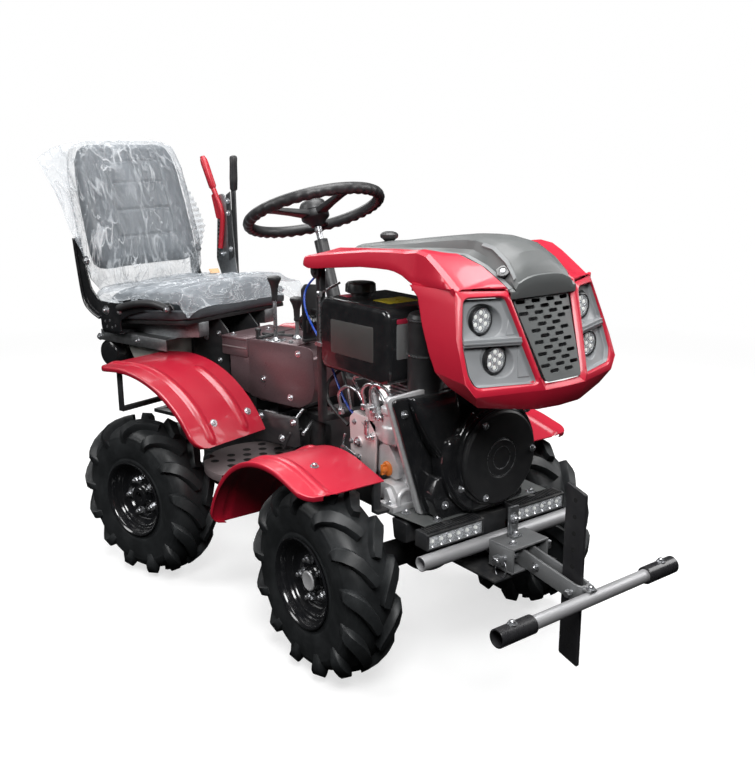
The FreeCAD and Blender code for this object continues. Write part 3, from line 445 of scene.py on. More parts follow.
class Trees:
    """The node trees that make what repeats, each built once."""

    def __init__(self) -> None:
        """Builds every tree."""
        self.fasteners = self._fasteners()
        self.ring = self._ring()
        self.row = self._row()
        self.perforated = self._perforated()
        self.leds = self._leds()

    @staticmethod
    def _fasteners() -> Tree:
        """Hexagon heads on washers, one on each point, standing along its axis attribute."""
        graph = Recipe("fasteners", {"Across": (FLOAT, 0.013), "Height": (FLOAT, 0.006)})
        tall = graph.given["Height"]
        radius = graph.math("DIVIDE", graph.given["Across"], 1.8)

        def raised(shape: Node, share: float) -> Node:
            """Lifts a shape by a share of the head's height."""
            lift = graph.vector(Z=graph.times(tall, share))
            return graph.add("GeometryNodeTransform", {"Geometry": shape.outputs[0], "Translation": lift})

        head = graph.add("GeometryNodeMeshCylinder", {"Vertices": 6, "Radius": radius, "Depth": tall})
        washer = graph.add("GeometryNodeMeshCylinder", {
            "Vertices": 20, "Radius": graph.times(radius, 1.5), "Depth": graph.times(tall, 0.3)})
        stub = graph.add("GeometryNodeMeshCone", {
            "Vertices": 12, "Radius Top": graph.times(radius, 0.4), "Radius Bottom": graph.times(radius, 0.62),
            "Depth": graph.times(tall, 0.35)})
        whole = graph.together(raised(stub, 1.12), washer, raised(head, 0.62))
        return graph.end(graph.spread(graph.given[0], whole, Rotation=graph.upright()))

    @staticmethod
    def _ring() -> Tree:
        """Copies of the input turned evenly about its X axis."""
        graph = Recipe("ring", {"Count": (COUNT, 13), "Phase": (FLOAT, 0.0)})
        points = graph.get("GeometryNodePoints", {"Count": graph.given["Count"]})
        place = graph.math("ADD", graph.get("GeometryNodeInputIndex"), graph.given["Phase"])
        angle = graph.times(place, graph.math("DIVIDE", math.tau, graph.given["Count"]))
        turn = graph.get("FunctionNodeEulerToRotation", {0: graph.vector(X=angle)})
        return graph.end(graph.spread(points, graph.given[0], Rotation=turn))

    @staticmethod
    def _row() -> Tree:
        """Copies of the input in a straight row."""
        graph = Recipe("row", {"Count": (COUNT, 6), "Step X": (FLOAT, 0.0), "Step Y": (FLOAT, 0.0),
                               "Step Z": (FLOAT, 0.0)})
        step = graph.vector(**{axis: graph.given[f"Step {axis}"] for axis in "XYZ"})
        line = graph.get("GeometryNodeMeshLine", {"Count": graph.given["Count"], "Offset": step})
        return graph.end(graph.spread(line, graph.given[0]))

    @staticmethod
    def _perforated() -> Tree:
        """A flat sheet with an obround hole at each loose point, inside the outline that the edges draw."""
        graph = Recipe("perforated", {"Length": (FLOAT, 0.02), "Width": (FLOAT, 0.008), "Sheet": (FLOAT, 0.003)})
        width = graph.given["Width"]
        near = graph.get("GeometryNodeInputMeshVertexNeighbors", output="Vertex Count")
        loose = graph.get("FunctionNodeCompare", {2: near, 3: 0}, data_type="INT", operation="EQUAL")
        split = graph.add("GeometryNodeSeparateGeometry", {"Geometry": graph.given[0], "Selection": loose})
        border = graph.add("GeometryNodeMeshToCurve", {0: split.outputs[1]})
        hole = graph.get("GeometryNodeCurvePrimitiveQuadrilateral", {"Width": graph.given["Length"], "Height": width})
        oval = graph.add("GeometryNodeFilletCurve", {"Curve": hole, "Radius": graph.times(width, 0.499)})
        if "Mode" in oval.inputs:
            oval.inputs["Mode"].default_value = "Poly"
        else:
            oval.mode = "POLY"
        oval.inputs["Count"].default_value = 4
        holes = graph.spread(split.outputs[0], oval.outputs[0])
        cut = graph.add("GeometryNodeRealizeInstances", {0: holes})
        sheet = graph.get("GeometryNodeFillCurve", {"Curve": graph.together(cut, border)})
        thick = graph.add("GeometryNodeExtrudeMesh", {
            "Mesh": sheet, "Offset": graph.vector(Z=graph.given["Sheet"]), "Offset Scale": 1.0, "Individual": False})
        back = graph.add("GeometryNodeFlipFaces", {0: sheet})
        return graph.end(graph.get("GeometryNodeMergeByDistance", {
            "Geometry": graph.together(back, thick), "Distance": 1e-6}))

    @staticmethod
    def _leds() -> Tree:
        """A small domed lens with its chip on each point, standing along its axis attribute."""
        graph = Recipe("leds", {"Radius": (FLOAT, 0.006), "Dome": (FLOAT, 0.5)})
        ball = graph.get("GeometryNodeMeshUVSphere", {"Segments": 16, "Rings": 8, "Radius": graph.given["Radius"]})
        size = graph.vector(X=1.0, Y=1.0, Z=graph.given["Dome"])
        dome = graph.get("GeometryNodeTransform", {"Geometry": ball, "Scale": size})
        soft = graph.get("GeometryNodeSetShadeSmooth", {0: dome})
        return graph.end(graph.spread(graph.given[0], soft, Rotation=graph.upright()))


# ------------------------------------------------------------------ finishes
Colour = tuple[float, float, float]
WHITE: Colour = (1.0, 1.0, 1.0)
NOTHING: Colour = (0.0, 0.0, 0.0)


def rgba(colour: Colour, scale: float = 1.0) -> tuple[float, float, float, float]:
    """Gives a colour with full cover, made lighter or darker."""
    return (colour[0] * scale, colour[1] * scale, colour[2] * scale, 1.0)


@dataclass(frozen=True)
class Finish:
    """A surface finish, with the material slot that it belongs to."""

    name: str
    slot: str

    def build(self, graph: Graph, shader: Node, place: Socket) -> None:
        """Joins the finish's own nodes to the shader."""

    def material(self) -> bpy.types.Material:
        """Gives the finish's material, made the first time it is asked for."""
        found = bpy.data.materials.get(self.name)
        if found:
            return found
        made = bpy.data.materials.new(self.name)
        made.use_nodes = True
        graph = Graph(made.node_tree)
        place = graph.get("ShaderNodeTexCoord", output="Object")
        self.build(graph, made.node_tree.nodes["Principled BSDF"], place)
        return made

    @staticmethod
    def relief(graph: Graph, shader: Node, height: Socket, depth: float, strength: float, **under: Socket) -> Socket:
        """Adds a bump to the shader.

        Args:
            graph: The material's graph.
            shader: The shader that is bumped.
            height: The height pattern.
            depth: How high the pattern stands, in metres.
            strength: How much of it shows.
            under: The Normal that this bump is laid over, if there is one.

        Returns:
            The bumped normal.
        """
        normal = graph.get("ShaderNodeBump", {"Height": height, "Distance": depth, "Strength": strength, **under})
        graph.connect(shader, {"Normal": normal})
        return normal


@dataclass(frozen=True)
class Coat(Finish):
    """Paint, enamel or moulded plastic: a colour that varies a little, with grain, ripple and dust, and painted glints
    on metallic flakes where asked.
    """

    colour: Colour = (0.5, 0.5, 0.5)
    smooth: float = 0.2
    rough: float = 0.35
    metallic: float = 0.0
    clear: float = 0.0
    clear_rough: float = 0.06
    shade: float = 0.85
    cloud_scale: float = 7.0
    wear_scale: float = 38.0
    grain: float = 900.0
    grain_depth: float = 0.00004
    ripple_scale: float = 26.0
    ripple: float = 0.00012
    dust: float = 0.04
    dust_colour: Colour = (0.35, 0.33, 0.3)
    fleck_glint: float = 0.0
    fleck_scale: float = 1400.0
    fleck_glint_light: float = 3.2

    def build(self, graph: Graph, shader: Node, place: Socket) -> None:
        """Joins colour, gloss and relief to the shader."""
        broad = graph.noise(place, self.cloud_scale, 3.0)
        wear = graph.noise(place, self.wear_scale, 6.0, 0.7)
        colour = graph.mix(broad, rgba(self.colour, self.shade), rgba(self.colour, 2.0 - self.shade))
        # Painted glints: bright cells of the coat's own colour stand in for light caught by its metallic flakes.
        if self.fleck_glint:
            glint = graph.ramp(graph.cells(place, self.fleck_scale), 0.55, 1.0, 0.0, self.fleck_glint)
            colour = graph.mix(glint, colour, rgba(self.colour, self.fleck_glint_light))
        up = graph.get("ShaderNodeSeparateXYZ", {0: graph.get("ShaderNodeNewGeometry", output="Normal")}, 2)
        settled = graph.times(graph.ramp(up, -0.3, 1.0, 0.15), graph.ramp(wear, 0.42, 0.75))
        graph.connect(shader, {
            "Base Color": graph.mix(graph.times(settled, self.dust), colour, rgba(self.dust_colour)),
            "Roughness": graph.ramp(wear, 0.3, 0.75, self.smooth, self.rough),
            "Metallic": self.metallic, "Coat Weight": self.clear, "Coat Roughness": self.clear_rough})
        waves = self.relief(graph, shader, graph.noise(place, self.ripple_scale, 2.0), self.ripple, 0.6)
        self.relief(graph, shader, graph.noise(place, self.grain, 2.0), self.grain_depth, 0.5, Normal=waves)


@dataclass(frozen=True)
class Metal(Finish):
    """Bare or plated metal: brushed, cast or spangled."""

    colour: Colour = (0.6, 0.6, 0.62)
    smooth: float = 0.25
    rough: float = 0.45
    brush: tuple[float, float, float] = (1.0, 1.0, 1.0)
    scale: float = 120.0
    depth: float = 0.0001
    spangle: float = 0.0
    spangle_scale: float = 160.0
    stain: Colour = (0.2, 0.17, 0.14)
    stained: float = 0.12
    stain_scale: float = 22.0
    shine: float = 0.92

    def build(self, graph: Graph, shader: Node, place: Socket) -> None:
        """Joins colour, gloss and relief to the shader."""
        stretched = graph.get("ShaderNodeMapping", {"Vector": place, "Scale": self.brush})
        lines = graph.noise(stretched, self.scale, 5.0, 0.6)
        blotch = graph.noise(place, self.stain_scale, 5.0, 0.65)
        colour = graph.mix(lines, rgba(self.colour, 0.8), rgba(self.colour, 1.1))
        if self.spangle:
            shade = graph.ramp(graph.cells(place, self.spangle_scale), 0.0, 1.0, 0.0, self.spangle)
            colour = graph.mix(shade, colour, rgba(self.colour, 0.55))
        mixed = graph.math("ADD", graph.times(lines, 0.6), graph.times(blotch, 0.4))
        graph.connect(shader, {
            "Base Color": graph.mix(graph.ramp(blotch, 0.52, 0.8, 0.0, self.stained), colour, rgba(self.stain)),
            "Roughness": graph.ramp(mixed, 0.3, 0.7, self.smooth, self.rough), "Metallic": self.shine})
        self.relief(graph, shader, lines, self.depth, 0.6)


@dataclass(frozen=True)
class Rubber(Finish):
    """Tyre rubber: nearly black, dusty in the low places, with fine moulded ripples."""

    colour: Colour = (0.014, 0.0155, 0.0165)
    dust: Colour = (0.05, 0.055, 0.058)
    dusty: float = 0.45
    smooth: float = 0.38
    rough: float = 0.62
    glint: float = 0.42

    def build(self, graph: Graph, shader: Node, place: Socket) -> None:
        """Joins colour, gloss and relief to the shader."""
        cloudy = graph.noise(place, 16.0, 6.0, 0.7)
        specks = graph.noise(place, 420.0, 3.0, 0.6)
        dusted = graph.times(graph.ramp(cloudy, 0.4, 0.72), graph.ramp(specks, 0.3, 0.7, 0.4))
        graph.connect(shader, {
            "Base Color": graph.mix(graph.times(dusted, self.dusty), rgba(self.colour), rgba(self.dust)),
            "Roughness": graph.ramp(cloudy, 0.3, 0.75, self.smooth, self.rough), "Specular IOR Level": self.glint})
        skin = self.relief(graph, shader, graph.noise(place, 60.0), 0.0004, 0.5)
        self.relief(graph, shader, specks, 0.00012, 0.6, Normal=skin)


@dataclass(frozen=True)
class Vinyl(Finish):
    """Seat vinyl with a pressed leather grain."""

    colour: Colour = (0.068, 0.078, 0.088)
    smooth: float = 0.34
    rough: float = 0.52
    grain: float = 520.0

    def build(self, graph: Graph, shader: Node, place: Socket) -> None:
        """Joins colour, gloss and relief to the shader."""
        edges = graph.get("ShaderNodeTexVoronoi", {"Vector": place, "Scale": self.grain}, "Distance",
                          feature="DISTANCE_TO_EDGE")
        grain = graph.ramp(edges, 0.0, 0.12)
        broad = graph.noise(place, 12.0)
        colour = graph.mix(graph.ramp(broad, 0.3, 0.7), rgba(self.colour, 0.78), rgba(self.colour, 1.25))
        graph.connect(shader, {
            "Base Color": graph.mix(graph.ramp(grain, 0.0, 1.0, 0.35, 0.0), colour, rgba(self.colour, 0.4)),
            "Roughness": graph.ramp(broad, 0.3, 0.7, self.smooth, self.rough)})
        folds = self.relief(graph, shader, graph.noise(place, 30.0), 0.0012, 0.35)
        self.relief(graph, shader, grain, 0.00018, 0.7, Normal=folds)


@dataclass(frozen=True)
class Film(Finish):
    """Thin clear packing film: long soft folds with painted highlights, drawn as lighter, more opaque streaks, some
    milky haze, a painted sheen where it is seen edge-on, and clear between them.
    """

    clear: float = 0.06
    fullest_cover: float = 0.62
    haze: float = 0.2
    pull: tuple[float, float, float] = (1.0, 1.0, 0.22)
    drift: float = 0.16
    folds: tuple[tuple[float, float, float], ...] = ((15.0, 1.0, 0.035), (29.0, 1.5, 0.03))

    def build(self, graph: Graph, shader: Node, place: Socket) -> None:
        """Joins cover with painted highlights and sheen, gloss and relief to the shader."""
        drift = graph.get("ShaderNodeTexNoise", {"Vector": place, "Scale": 3.2, "Detail": 2.0}, "Color")
        drift = graph.get("ShaderNodeVectorMath", {0: drift, "Scale": self.drift}, operation="SCALE")
        bent = graph.get("ShaderNodeVectorMath", {0: place, 1: drift}, operation="ADD")
        along = graph.get("ShaderNodeMapping", {"Vector": bent, "Scale": self.pull})
        folds = []
        for scale, detail, width in self.folds:
            off = graph.math("SUBTRACT", graph.noise(along, scale, detail, 0.45), 0.5)
            folds.append(graph.ramp(graph.math("ABSOLUTE", off), 0.0, width, 1.0, 0.0))
        patches = graph.ramp(graph.noise(place, 8.0, 3.0, 0.6), 0.42, 0.66, 0.12)
        folds_and_highlights = graph.times(graph.math("MAXIMUM", *folds), patches)
        cloud = graph.ramp(graph.noise(along, 6.0, 4.0, 0.6), 0.48, 0.75, 0.0, self.haze)
        # Painted sheen: the film turns more opaque where it is seen edge-on.
        rim_sheen = graph.get("ShaderNodeLayerWeight", {"Blend": 0.35}, "Facing")
        body = graph.math("ADD", graph.times(folds_and_highlights, 0.7), cloud)
        body = graph.math("ADD", body, graph.times(rim_sheen, 0.3))
        # Painted highlights: the fold streaks are lighter and more opaque; they also give the bump and the rougher
        # gloss.
        graph.connect(shader, {
            "Alpha": graph.ramp(body, 0.0, 1.0, self.clear, self.fullest_cover),
            "Base Color": graph.mix(folds_and_highlights, rgba((0.5, 0.54, 0.58)), rgba((0.74, 0.76, 0.78))),
            "Roughness": graph.ramp(folds_and_highlights, 0.0, 1.0, 0.12, 0.34)})
        self.relief(graph, shader, folds_and_highlights, 0.004, 0.7)


@dataclass(frozen=True)
class Lamp(Finish):
    """Lamp parts: bright reflectors, clear lenses and lit chips."""

    colour: Colour = (0.9, 0.9, 0.92)
    shine: float = 0.0
    metallic: float = 0.0
    rough: float = 0.08
    cover: float = 1.0
    facets: float = 260.0

    def build(self, graph: Graph, shader: Node, place: Socket) -> None:
        """Joins colour, gloss and relief to the shader."""
        facets = graph.add("ShaderNodeTexVoronoi", {"Vector": place, "Scale": self.facets}).outputs
        shade = graph.get("ShaderNodeSeparateColor", {0: facets["Color"]})
        graph.connect(shader, {
            "Base Color": graph.mix(graph.ramp(shade, 0.0, 1.0, 0.0, 0.5), rgba(self.colour), rgba(self.colour, 0.7)),
            "Roughness": graph.ramp(shade, 0.0, 1.0, self.rough, self.rough + 0.12), "Metallic": self.metallic,
            "Emission Color": rgba(self.colour), "Emission Strength": self.shine, "Alpha": self.cover})
        self.relief(graph, shader, facets["Distance"], 0.0004, 0.3)


RED = Coat("red gloss plastic", "red_plastic", colour=(0.5, 0.012, 0.035), smooth=0.35, rough=0.4, clear=0.3,
           shade=0.93, grain=700.0, grain_depth=0.00002, ripple=0.00022, dust=0.015, dust_colour=(0.62, 0.2, 0.22))
GREY = Coat("grey satin plastic", "grey_plastic", colour=(0.09, 0.096, 0.096), smooth=0.44, rough=0.58, clear=0.05,
            shade=0.9, grain=1100.0, grain_depth=0.00006, dust=0.05)
# Painted shade: a darker copy of the red for the rear mudguards, which lie in the seat's shade and reflect its dark
# underside.
RED_SHADED = replace(RED, name="red gloss plastic with painted shade", colour=(0.36, 0.008, 0.024), smooth=0.3, rough=0.36, clear=0.4)
BRACKET_GREY = Coat("dull grey steel", "grey_plastic", colour=(0.085, 0.09, 0.09), smooth=0.4, rough=0.58, dust=0.12)
STRIP_GREY = Coat("light grey strips", "grey_plastic", colour=(0.15, 0.158, 0.162), smooth=0.42, rough=0.55)
POD_GREY = Coat("pale grey plastic", "grey_plastic", colour=(0.25, 0.26, 0.27), smooth=0.34, rough=0.5, shade=0.92,
                grain=1100.0, grain_depth=0.00006, dust=0.04)
# Painted shade behind the grille.
SHADE_GREY = Coat("grey painted shade", "grey_plastic", colour=(0.035, 0.037, 0.04), smooth=0.35, rough=0.5)
BLACK = Coat("black gloss enamel", "black_enamel", colour=(0.012, 0.0125, 0.014), smooth=0.12, rough=0.3, clear=0.5,
             grain_depth=0.00003, ripple=0.0006, dust=0.08)
STEEL_BLACK = Coat("black powder coat", "black_enamel", colour=(0.022, 0.023, 0.025), smooth=0.32, rough=0.5,
                   grain=1300.0, grain_depth=0.00012, dust=0.16)
WHEEL = Coat("black rim enamel", "wheel_enamel", colour=(0.01, 0.0105, 0.012), smooth=0.1, rough=0.24, clear=0.6,
             grain_depth=0.00002, dust=0.05)
RUBBER = Rubber("tyre rubber", "tyre_rubber")
PLASTIC = Coat("black grained plastic", "black_plastic", colour=(0.02, 0.0205, 0.022), smooth=0.36, rough=0.52,
               grain=1500.0, grain_depth=0.0001, dust=0.08)
SHINY_PLASTIC = Coat("black shiny plastic", "black_plastic", colour=(0.014, 0.0145, 0.016), smooth=0.16, rough=0.3,
                     clear=0.35, dust=0.05)
CAST = Metal("cast alloy", "cast_alloy", colour=(0.72, 0.72, 0.73), smooth=0.42, rough=0.62, scale=240.0,
             depth=0.0004, stained=0.2, shine=0.55)
PINK_ALLOY = Metal("anodised plate", "cast_alloy", colour=(0.86, 0.76, 0.76), smooth=0.38, rough=0.52, scale=180.0,
                   brush=(1.0, 1.0, 8.0), stained=0.05, shine=0.45)
ZINC = Metal("zinc plate", "zinc_steel", colour=(0.62, 0.63, 0.65), smooth=0.2, rough=0.38, scale=90.0, stained=0.1)
GALVANISED = Metal("galvanised sheet", "zinc_steel", colour=(0.34, 0.35, 0.36), smooth=0.34, rough=0.5, spangle=0.5)
SATIN_TUBE = Metal("satin steel tube", "grey_tube", colour=(0.42, 0.42, 0.43), smooth=0.42, rough=0.54, scale=60.0,
                   brush=(1.0, 14.0, 14.0), stained=0.05, shine=0.5)
HITCH_GREY = Coat("grey metallic coat", "zinc_steel", colour=(0.24, 0.245, 0.25), metallic=0.45, smooth=0.34,
                  rough=0.5, fleck_glint=0.12, grain_depth=0.00008)
SLEEVE = Coat("black tube coat", "black_sleeve", colour=(0.018, 0.018, 0.02), smooth=0.22, rough=0.36, clear=0.2)
STEP_GREY = Coat("grey step coat", "grey_coat", colour=(0.19, 0.155, 0.158), metallic=0.3, smooth=0.36, rough=0.52,
                 fleck_glint=0.2, grain_depth=0.0001, dust=0.12)
BROWN = Coat("brown-grey metallic coat", "brown_coat", colour=(0.13, 0.085, 0.092), metallic=0.4, smooth=0.26,
             rough=0.42, fleck_glint=0.3, grain_depth=0.00008, dust=0.08)
HITCH_BLACK = Coat("black plate coat", "hitch_coat", colour=(0.02, 0.02, 0.022), smooth=0.3, rough=0.48)
SILENCER = Coat("heat-proof black", "silencer_steel", colour=(0.024, 0.023, 0.022), smooth=0.5, rough=0.7,
                grain=600.0, grain_depth=0.0002, dust=0.2, dust_colour=(0.16, 0.09, 0.05))
PALE = Coat("pale sheet coat", "pale_coat", colour=(0.5, 0.5, 0.46), smooth=0.32, rough=0.5, dust=0.1)
SHEATH = Coat("blue cable sheath", "cable_sheath", colour=(0.015, 0.06, 0.36), smooth=0.22, rough=0.36, clear=0.2,
              grain_depth=0.00002)
LEVER_RED = Coat("red rubber grip", "black_plastic", colour=(0.42, 0.012, 0.025), smooth=0.3, rough=0.5)
CARD = Coat("tan card", "seat_vinyl", colour=(0.5, 0.3, 0.15), smooth=0.5, rough=0.65, grain_depth=0.00003)
YELLOW = Coat("yellow label", "black_plastic", colour=(0.62, 0.5, 0.03), smooth=0.24, rough=0.4, grain_depth=0.00001)
LABEL_RED = Coat("red label", "black_plastic", colour=(0.42, 0.02, 0.05), smooth=0.24, rough=0.4)
LABEL_DARK = Coat("dark blank plate", "black_plastic", colour=(0.085, 0.085, 0.082), smooth=0.4, rough=0.55,
                  metallic=0.3, grain_depth=0.00001)
LABEL_GREY = Coat("grey blank plate", "black_plastic", colour=(0.16, 0.16, 0.16), smooth=0.25, rough=0.4)
ORANGE = Coat("orange plug", "black_plastic", colour=(0.75, 0.2, 0.03), smooth=0.2, rough=0.4)
SEAT_VINYL = Vinyl("grey seat vinyl", "seat_vinyl")
DARK_VINYL = Vinyl("dark seat vinyl", "seat_vinyl", colour=(0.045, 0.05, 0.056))
BACK_FILM = Film("clear packing film", "seat_vinyl", pull=(1.5, 1.5, 0.2))
CUSHION_FILM = Film("creased packing film", "seat_vinyl", clear=0.16, fullest_cover=0.7, pull=(0.5, 0.6, 1.4), haze=0.5)
REFLECTOR = Lamp("bright reflector", "lamp_glass", colour=(0.85, 0.86, 0.88), metallic=1.0, rough=0.06)
LENS = Lamp("clear lamp lens", "lamp_glass", colour=(0.9, 0.93, 0.96), rough=0.02, cover=0.22)
CHIP = Lamp("lamp chip", "lamp_glass", colour=(0.95, 0.95, 0.9), rough=0.2, shine=0.25)
DARK_HOLE = Coat("unlit inside", "black_plastic", colour=(0.004, 0.004, 0.004), smooth=0.6, rough=0.8, dust=0.0)


@dataclass(frozen=True)
class PaleFloor(Finish):
    """The studio's plain pale floor, which goes over into the backdrop's white away from the object."""

    near: float = 1.3
    far: float = 4.5
    glow: float = 0.68

    def build(self, graph: Graph, shader: Node, place: Socket) -> None:
        """Joins a nearly even pale colour and a glow that grows with distance to the shader."""
        away = graph.get("ShaderNodeVectorMath", {0: place}, "Value", operation="LENGTH")
        spread = graph.ramp(away, self.near, self.far)
        pale = graph.mix(graph.noise(place, 1.3, 2.0), rgba((0.4, 0.4, 0.4)), rgba((0.43, 0.43, 0.43)))
        graph.connect(shader, {
            "Base Color": graph.mix(spread, pale, rgba(NOTHING)), "Emission Color": rgba(WHITE), "Roughness": 0.9,
            "Emission Strength": graph.ramp(spread, 0.0, 1.0, self.glow), "Specular IOR Level": 0.0})


@dataclass(frozen=True)
class WhiteShell(Finish):
    """The white backdrop behind everything."""

    def build(self, graph: Graph, shader: Node, place: Socket) -> None:
        """Joins an even white glow to the shader."""
        even = graph.mix(graph.noise(place, 0.05, 1.0), rgba(WHITE), rgba(WHITE, 0.998))
        graph.connect(shader, {"Emission Color": even, "Emission Strength": 1.0, "Base Color": rgba(NOTHING),
                               "Specular IOR Level": 0.0})


# ------------------------------------------------------------------ making pieces
def shade(mesh: bpy.types.Mesh, angle: float) -> None:
    """Makes a mesh smooth, with hard edges where its faces meet at more than an angle in degrees."""
    work = bmesh.new()
    work.from_mesh(mesh)
    limit = math.radians(angle)
    for face in work.faces:
        face.smooth = True
    for edge in work.edges:
        edge.smooth = len(edge.link_faces) == 2 and edge.calc_face_angle(0.0) < limit
    work.to_mesh(mesh)
    work.free()


def bake(piece: bpy.types.Object) -> None:
    """Applies a piece's modifiers to its mesh and removes them."""
    view = bpy.context.evaluated_depsgraph_get()
    mesh = bpy.data.meshes.new_from_object(piece.evaluated_get(view), preserve_all_data_layers=True, depsgraph=view)
    old = piece.data
    piece.modifiers.clear()
    piece.data = mesh
    mesh.name = piece.name
    bpy.data.meshes.remove(old)


def round_edges(piece: bpy.types.Object, width: float, segments: int, angle: float) -> None:
    """Adds a bevel to the edges past an angle in degrees, with its width in millimetres."""
    edge = piece.modifiers.new("edge", "BEVEL")
    edge.width = width * MM
    edge.segments = segments
    edge.limit_method = "ANGLE"
    edge.angle_limit = math.radians(angle)


def show(name: str, mesh: bpy.types.Mesh) -> bpy.types.Object:
    """Puts a mesh in the scene as an object at the origin."""
    piece = bpy.data.objects.new(name, mesh)
    bpy.context.scene.collection.objects.link(piece)
    return piece


def grow(piece: bpy.types.Object, tree: Tree, finish: Finish, values: dict[str, float]) -> None:
    """Adds a node tree to a piece and sets the tree's inputs by their identifiers."""
    nodes = piece.modifiers.new("nodes", "NODES")
    nodes.node_group = tree
    given = {**values, "Finish": finish.material()}
    for item in tree.interface.items_tree:
        if item.item_type == "SOCKET" and item.in_out == "INPUT" and item.name in given:
            nodes[item.identifier] = given[item.name]


@dataclass
class Workshop:
    """What every sub-assembly works with: the places of both halves, the node trees and the bolts to be fitted."""

    places: dict[Half, Matrix]
    trees: Trees
    nodes: dict[str, bpy.types.Object]
    bolts: dict[tuple[str, float], list[tuple[Vector, Vector]]] = field(default_factory=dict)

    @classmethod
    def open(cls, frame: dict[str, Any]) -> "Workshop":
        """Reads where the two halves stand from the record's joints."""
        joints = {joint["name"]: joint for joint in frame["record"]["behaviour"]["joints"]}
        pivot = Vector(joints["articulation"]["pos_m"])
        pivot.z = 0.0
        axis = joints["rear_right_spin"]["axis"]
        bend = math.atan2(axis[1], axis[0])
        front = Matrix.Translation(pivot) @ Matrix.Scale(MM, 4)
        rear = Matrix.Translation(pivot) @ Matrix.Rotation(bend, 4, "Z") @ Matrix.Scale(MM, 4)
        return cls({Half.FRONT: front, Half.REAR: rear}, Trees(), frame["nodes"])

    def make(self, name: str, drawing: Drawing, half: Half, body: str, finish: Finish, *,
             replaces: Sequence[str] = (), bevel: float = 0.0, segments: int = 2, wall: float = 0.0,
             angle: float = 32.0, outward: bool = True, tree: tuple[Tree, dict[str, float]] | None = None,
             extra: Matrix | None = None) -> bpy.types.Object:
        """Turns a drawing into a finished piece.

        Args:
            name: The piece's name.
            drawing: What is drawn, in millimetres.
            half: The half whose frame it is drawn in.
            body: The body that it rides on.
            finish: Its finish.
            replaces: The CAD nodes that it stands for.
            bevel: Width of the rounded edges in millimetres.
            segments: Number of segments in a rounded edge.
            wall: Thickness added inwards to a thin skin, in millimetres.
            angle: Angle in degrees past which an edge stays hard.
            outward: Whether the faces are turned outwards.
            tree: A node tree and its inputs, in metres.
            extra: A last placing, done after the node tree, in the half's frame.

        Returns:
            The piece.
        """
        drawing.close(outward)
        mesh = bpy.data.meshes.new(name)
        drawing.mesh.to_mesh(mesh)
        drawing.mesh.free()
        mesh.transform(Matrix.Scale(MM, 4))
        mesh.materials.append(finish.material())
        piece = show(name, mesh)
        if tree:
            grow(piece, tree[0], finish, tree[1])
        if wall:
            thick = piece.modifiers.new("wall", "SOLIDIFY")
            thick.thickness = wall * MM
            thick.offset = -1.0
        if bevel:
            round_edges(piece, bevel, segments, angle)
        if piece.modifiers:
            bake(piece)
        piece.data.transform(self.places[half] @ (extra or Matrix()) @ Matrix.Scale(1 / MM, 4))
        shade(piece.data, angle + (14.0 if bevel else 0.0))
        return self.fit(piece, body, finish, replaces)

    def fit(self, piece: bpy.types.Object, body: str, finish: Finish, replaces: Sequence[str] = ()) -> bpy.types.Object:
        """Lets a piece ride on its body, and hides the CAD nodes that it stands for."""
        if replaces:
            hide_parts(*replaces)
        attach(piece, body)
        LOG.info("%s: %d faces", piece.name, len(piece.data.polygons) if piece.type == "MESH" else 0)
        return piece

    def dress(self, node: str, body: str, finish: Finish, bevel: float = 1.0) -> bpy.types.Object:
        """Stands a copy of a CAD node, with rounded edges, in for the node.

        Args:
            node: The CAD node.
            body: The body that it rides on.
            finish: Its finish.
            bevel: Width of the rounded edges in millimetres.

        Returns:
            The piece.
        """
        work = bmesh.new()
        work.from_mesh(self.nodes[node].data)
        bmesh.ops.remove_doubles(work, verts=work.verts[:], dist=0.02 * MM)
        bmesh.ops.dissolve_limit(work, angle_limit=math.radians(1.0), verts=work.verts[:], edges=work.edges[:])
        mesh = bpy.data.meshes.new(node + "_dressed")
        work.to_mesh(mesh)
        work.free()
        mesh.materials.append(finish.material())
        piece = show(mesh.name, mesh)
        round_edges(piece, bevel, 2, 30.0)
        bake(piece)
        shade(piece.data, 40.0)
        return self.fit(piece, body, finish, [node])

    def bolt(self, body: str, half: Half, at: Point, axis: Point, across: float = 13.0) -> None:
        """Notes a bolt head to be fitted, with its place and direction in a half's frame."""
        place = self.places[half]
        direction = (place.to_3x3() @ Vector(axis)).normalized()
        self.bolts.setdefault((body, across), []).append((place @ Vector(at), direction))

    def fit_bolts(self) -> None:
        """Makes all the noted bolt heads, as one piece for each body and size."""
        for number, ((body, across), heads) in enumerate(sorted(self.bolts.items())):
            values = {"Across": across * MM, "Height": across * 0.45 * MM}
            piece = scatter(f"bolts_{body}_{number}", heads, self.trees.fasteners, ZINC, values)
            shade(piece.data, 35.0)
            self.fit(piece, body, ZINC)


def scatter(name: str, spots: Sequence[tuple[Vector, Vector]], tree: bpy.types.NodeTree, finish: Finish,
            values: dict[str, Any]) -> bpy.types.Object:
    """Makes what a tree puts on each of a few points, as a plain mesh.

    Args:
        name: The piece's name.
        spots: Places in metres, each with its direction.
        tree: The node tree.
        finish: The finish of all that it makes.
        values: The tree's other inputs.

    Returns:
        The piece.
    """
    mesh = bpy.data.meshes.new(name)
    mesh.from_pydata([spot for spot, _ in spots], [], [])
    axes = mesh.attributes.new("axis", "FLOAT_VECTOR", "POINT")
    axes.data.foreach_set("vector", [value for _, axis in spots for value in axis])
    piece = show(name, mesh)
    grow(piece, tree, finish, values)
    bake(piece)
    return piece


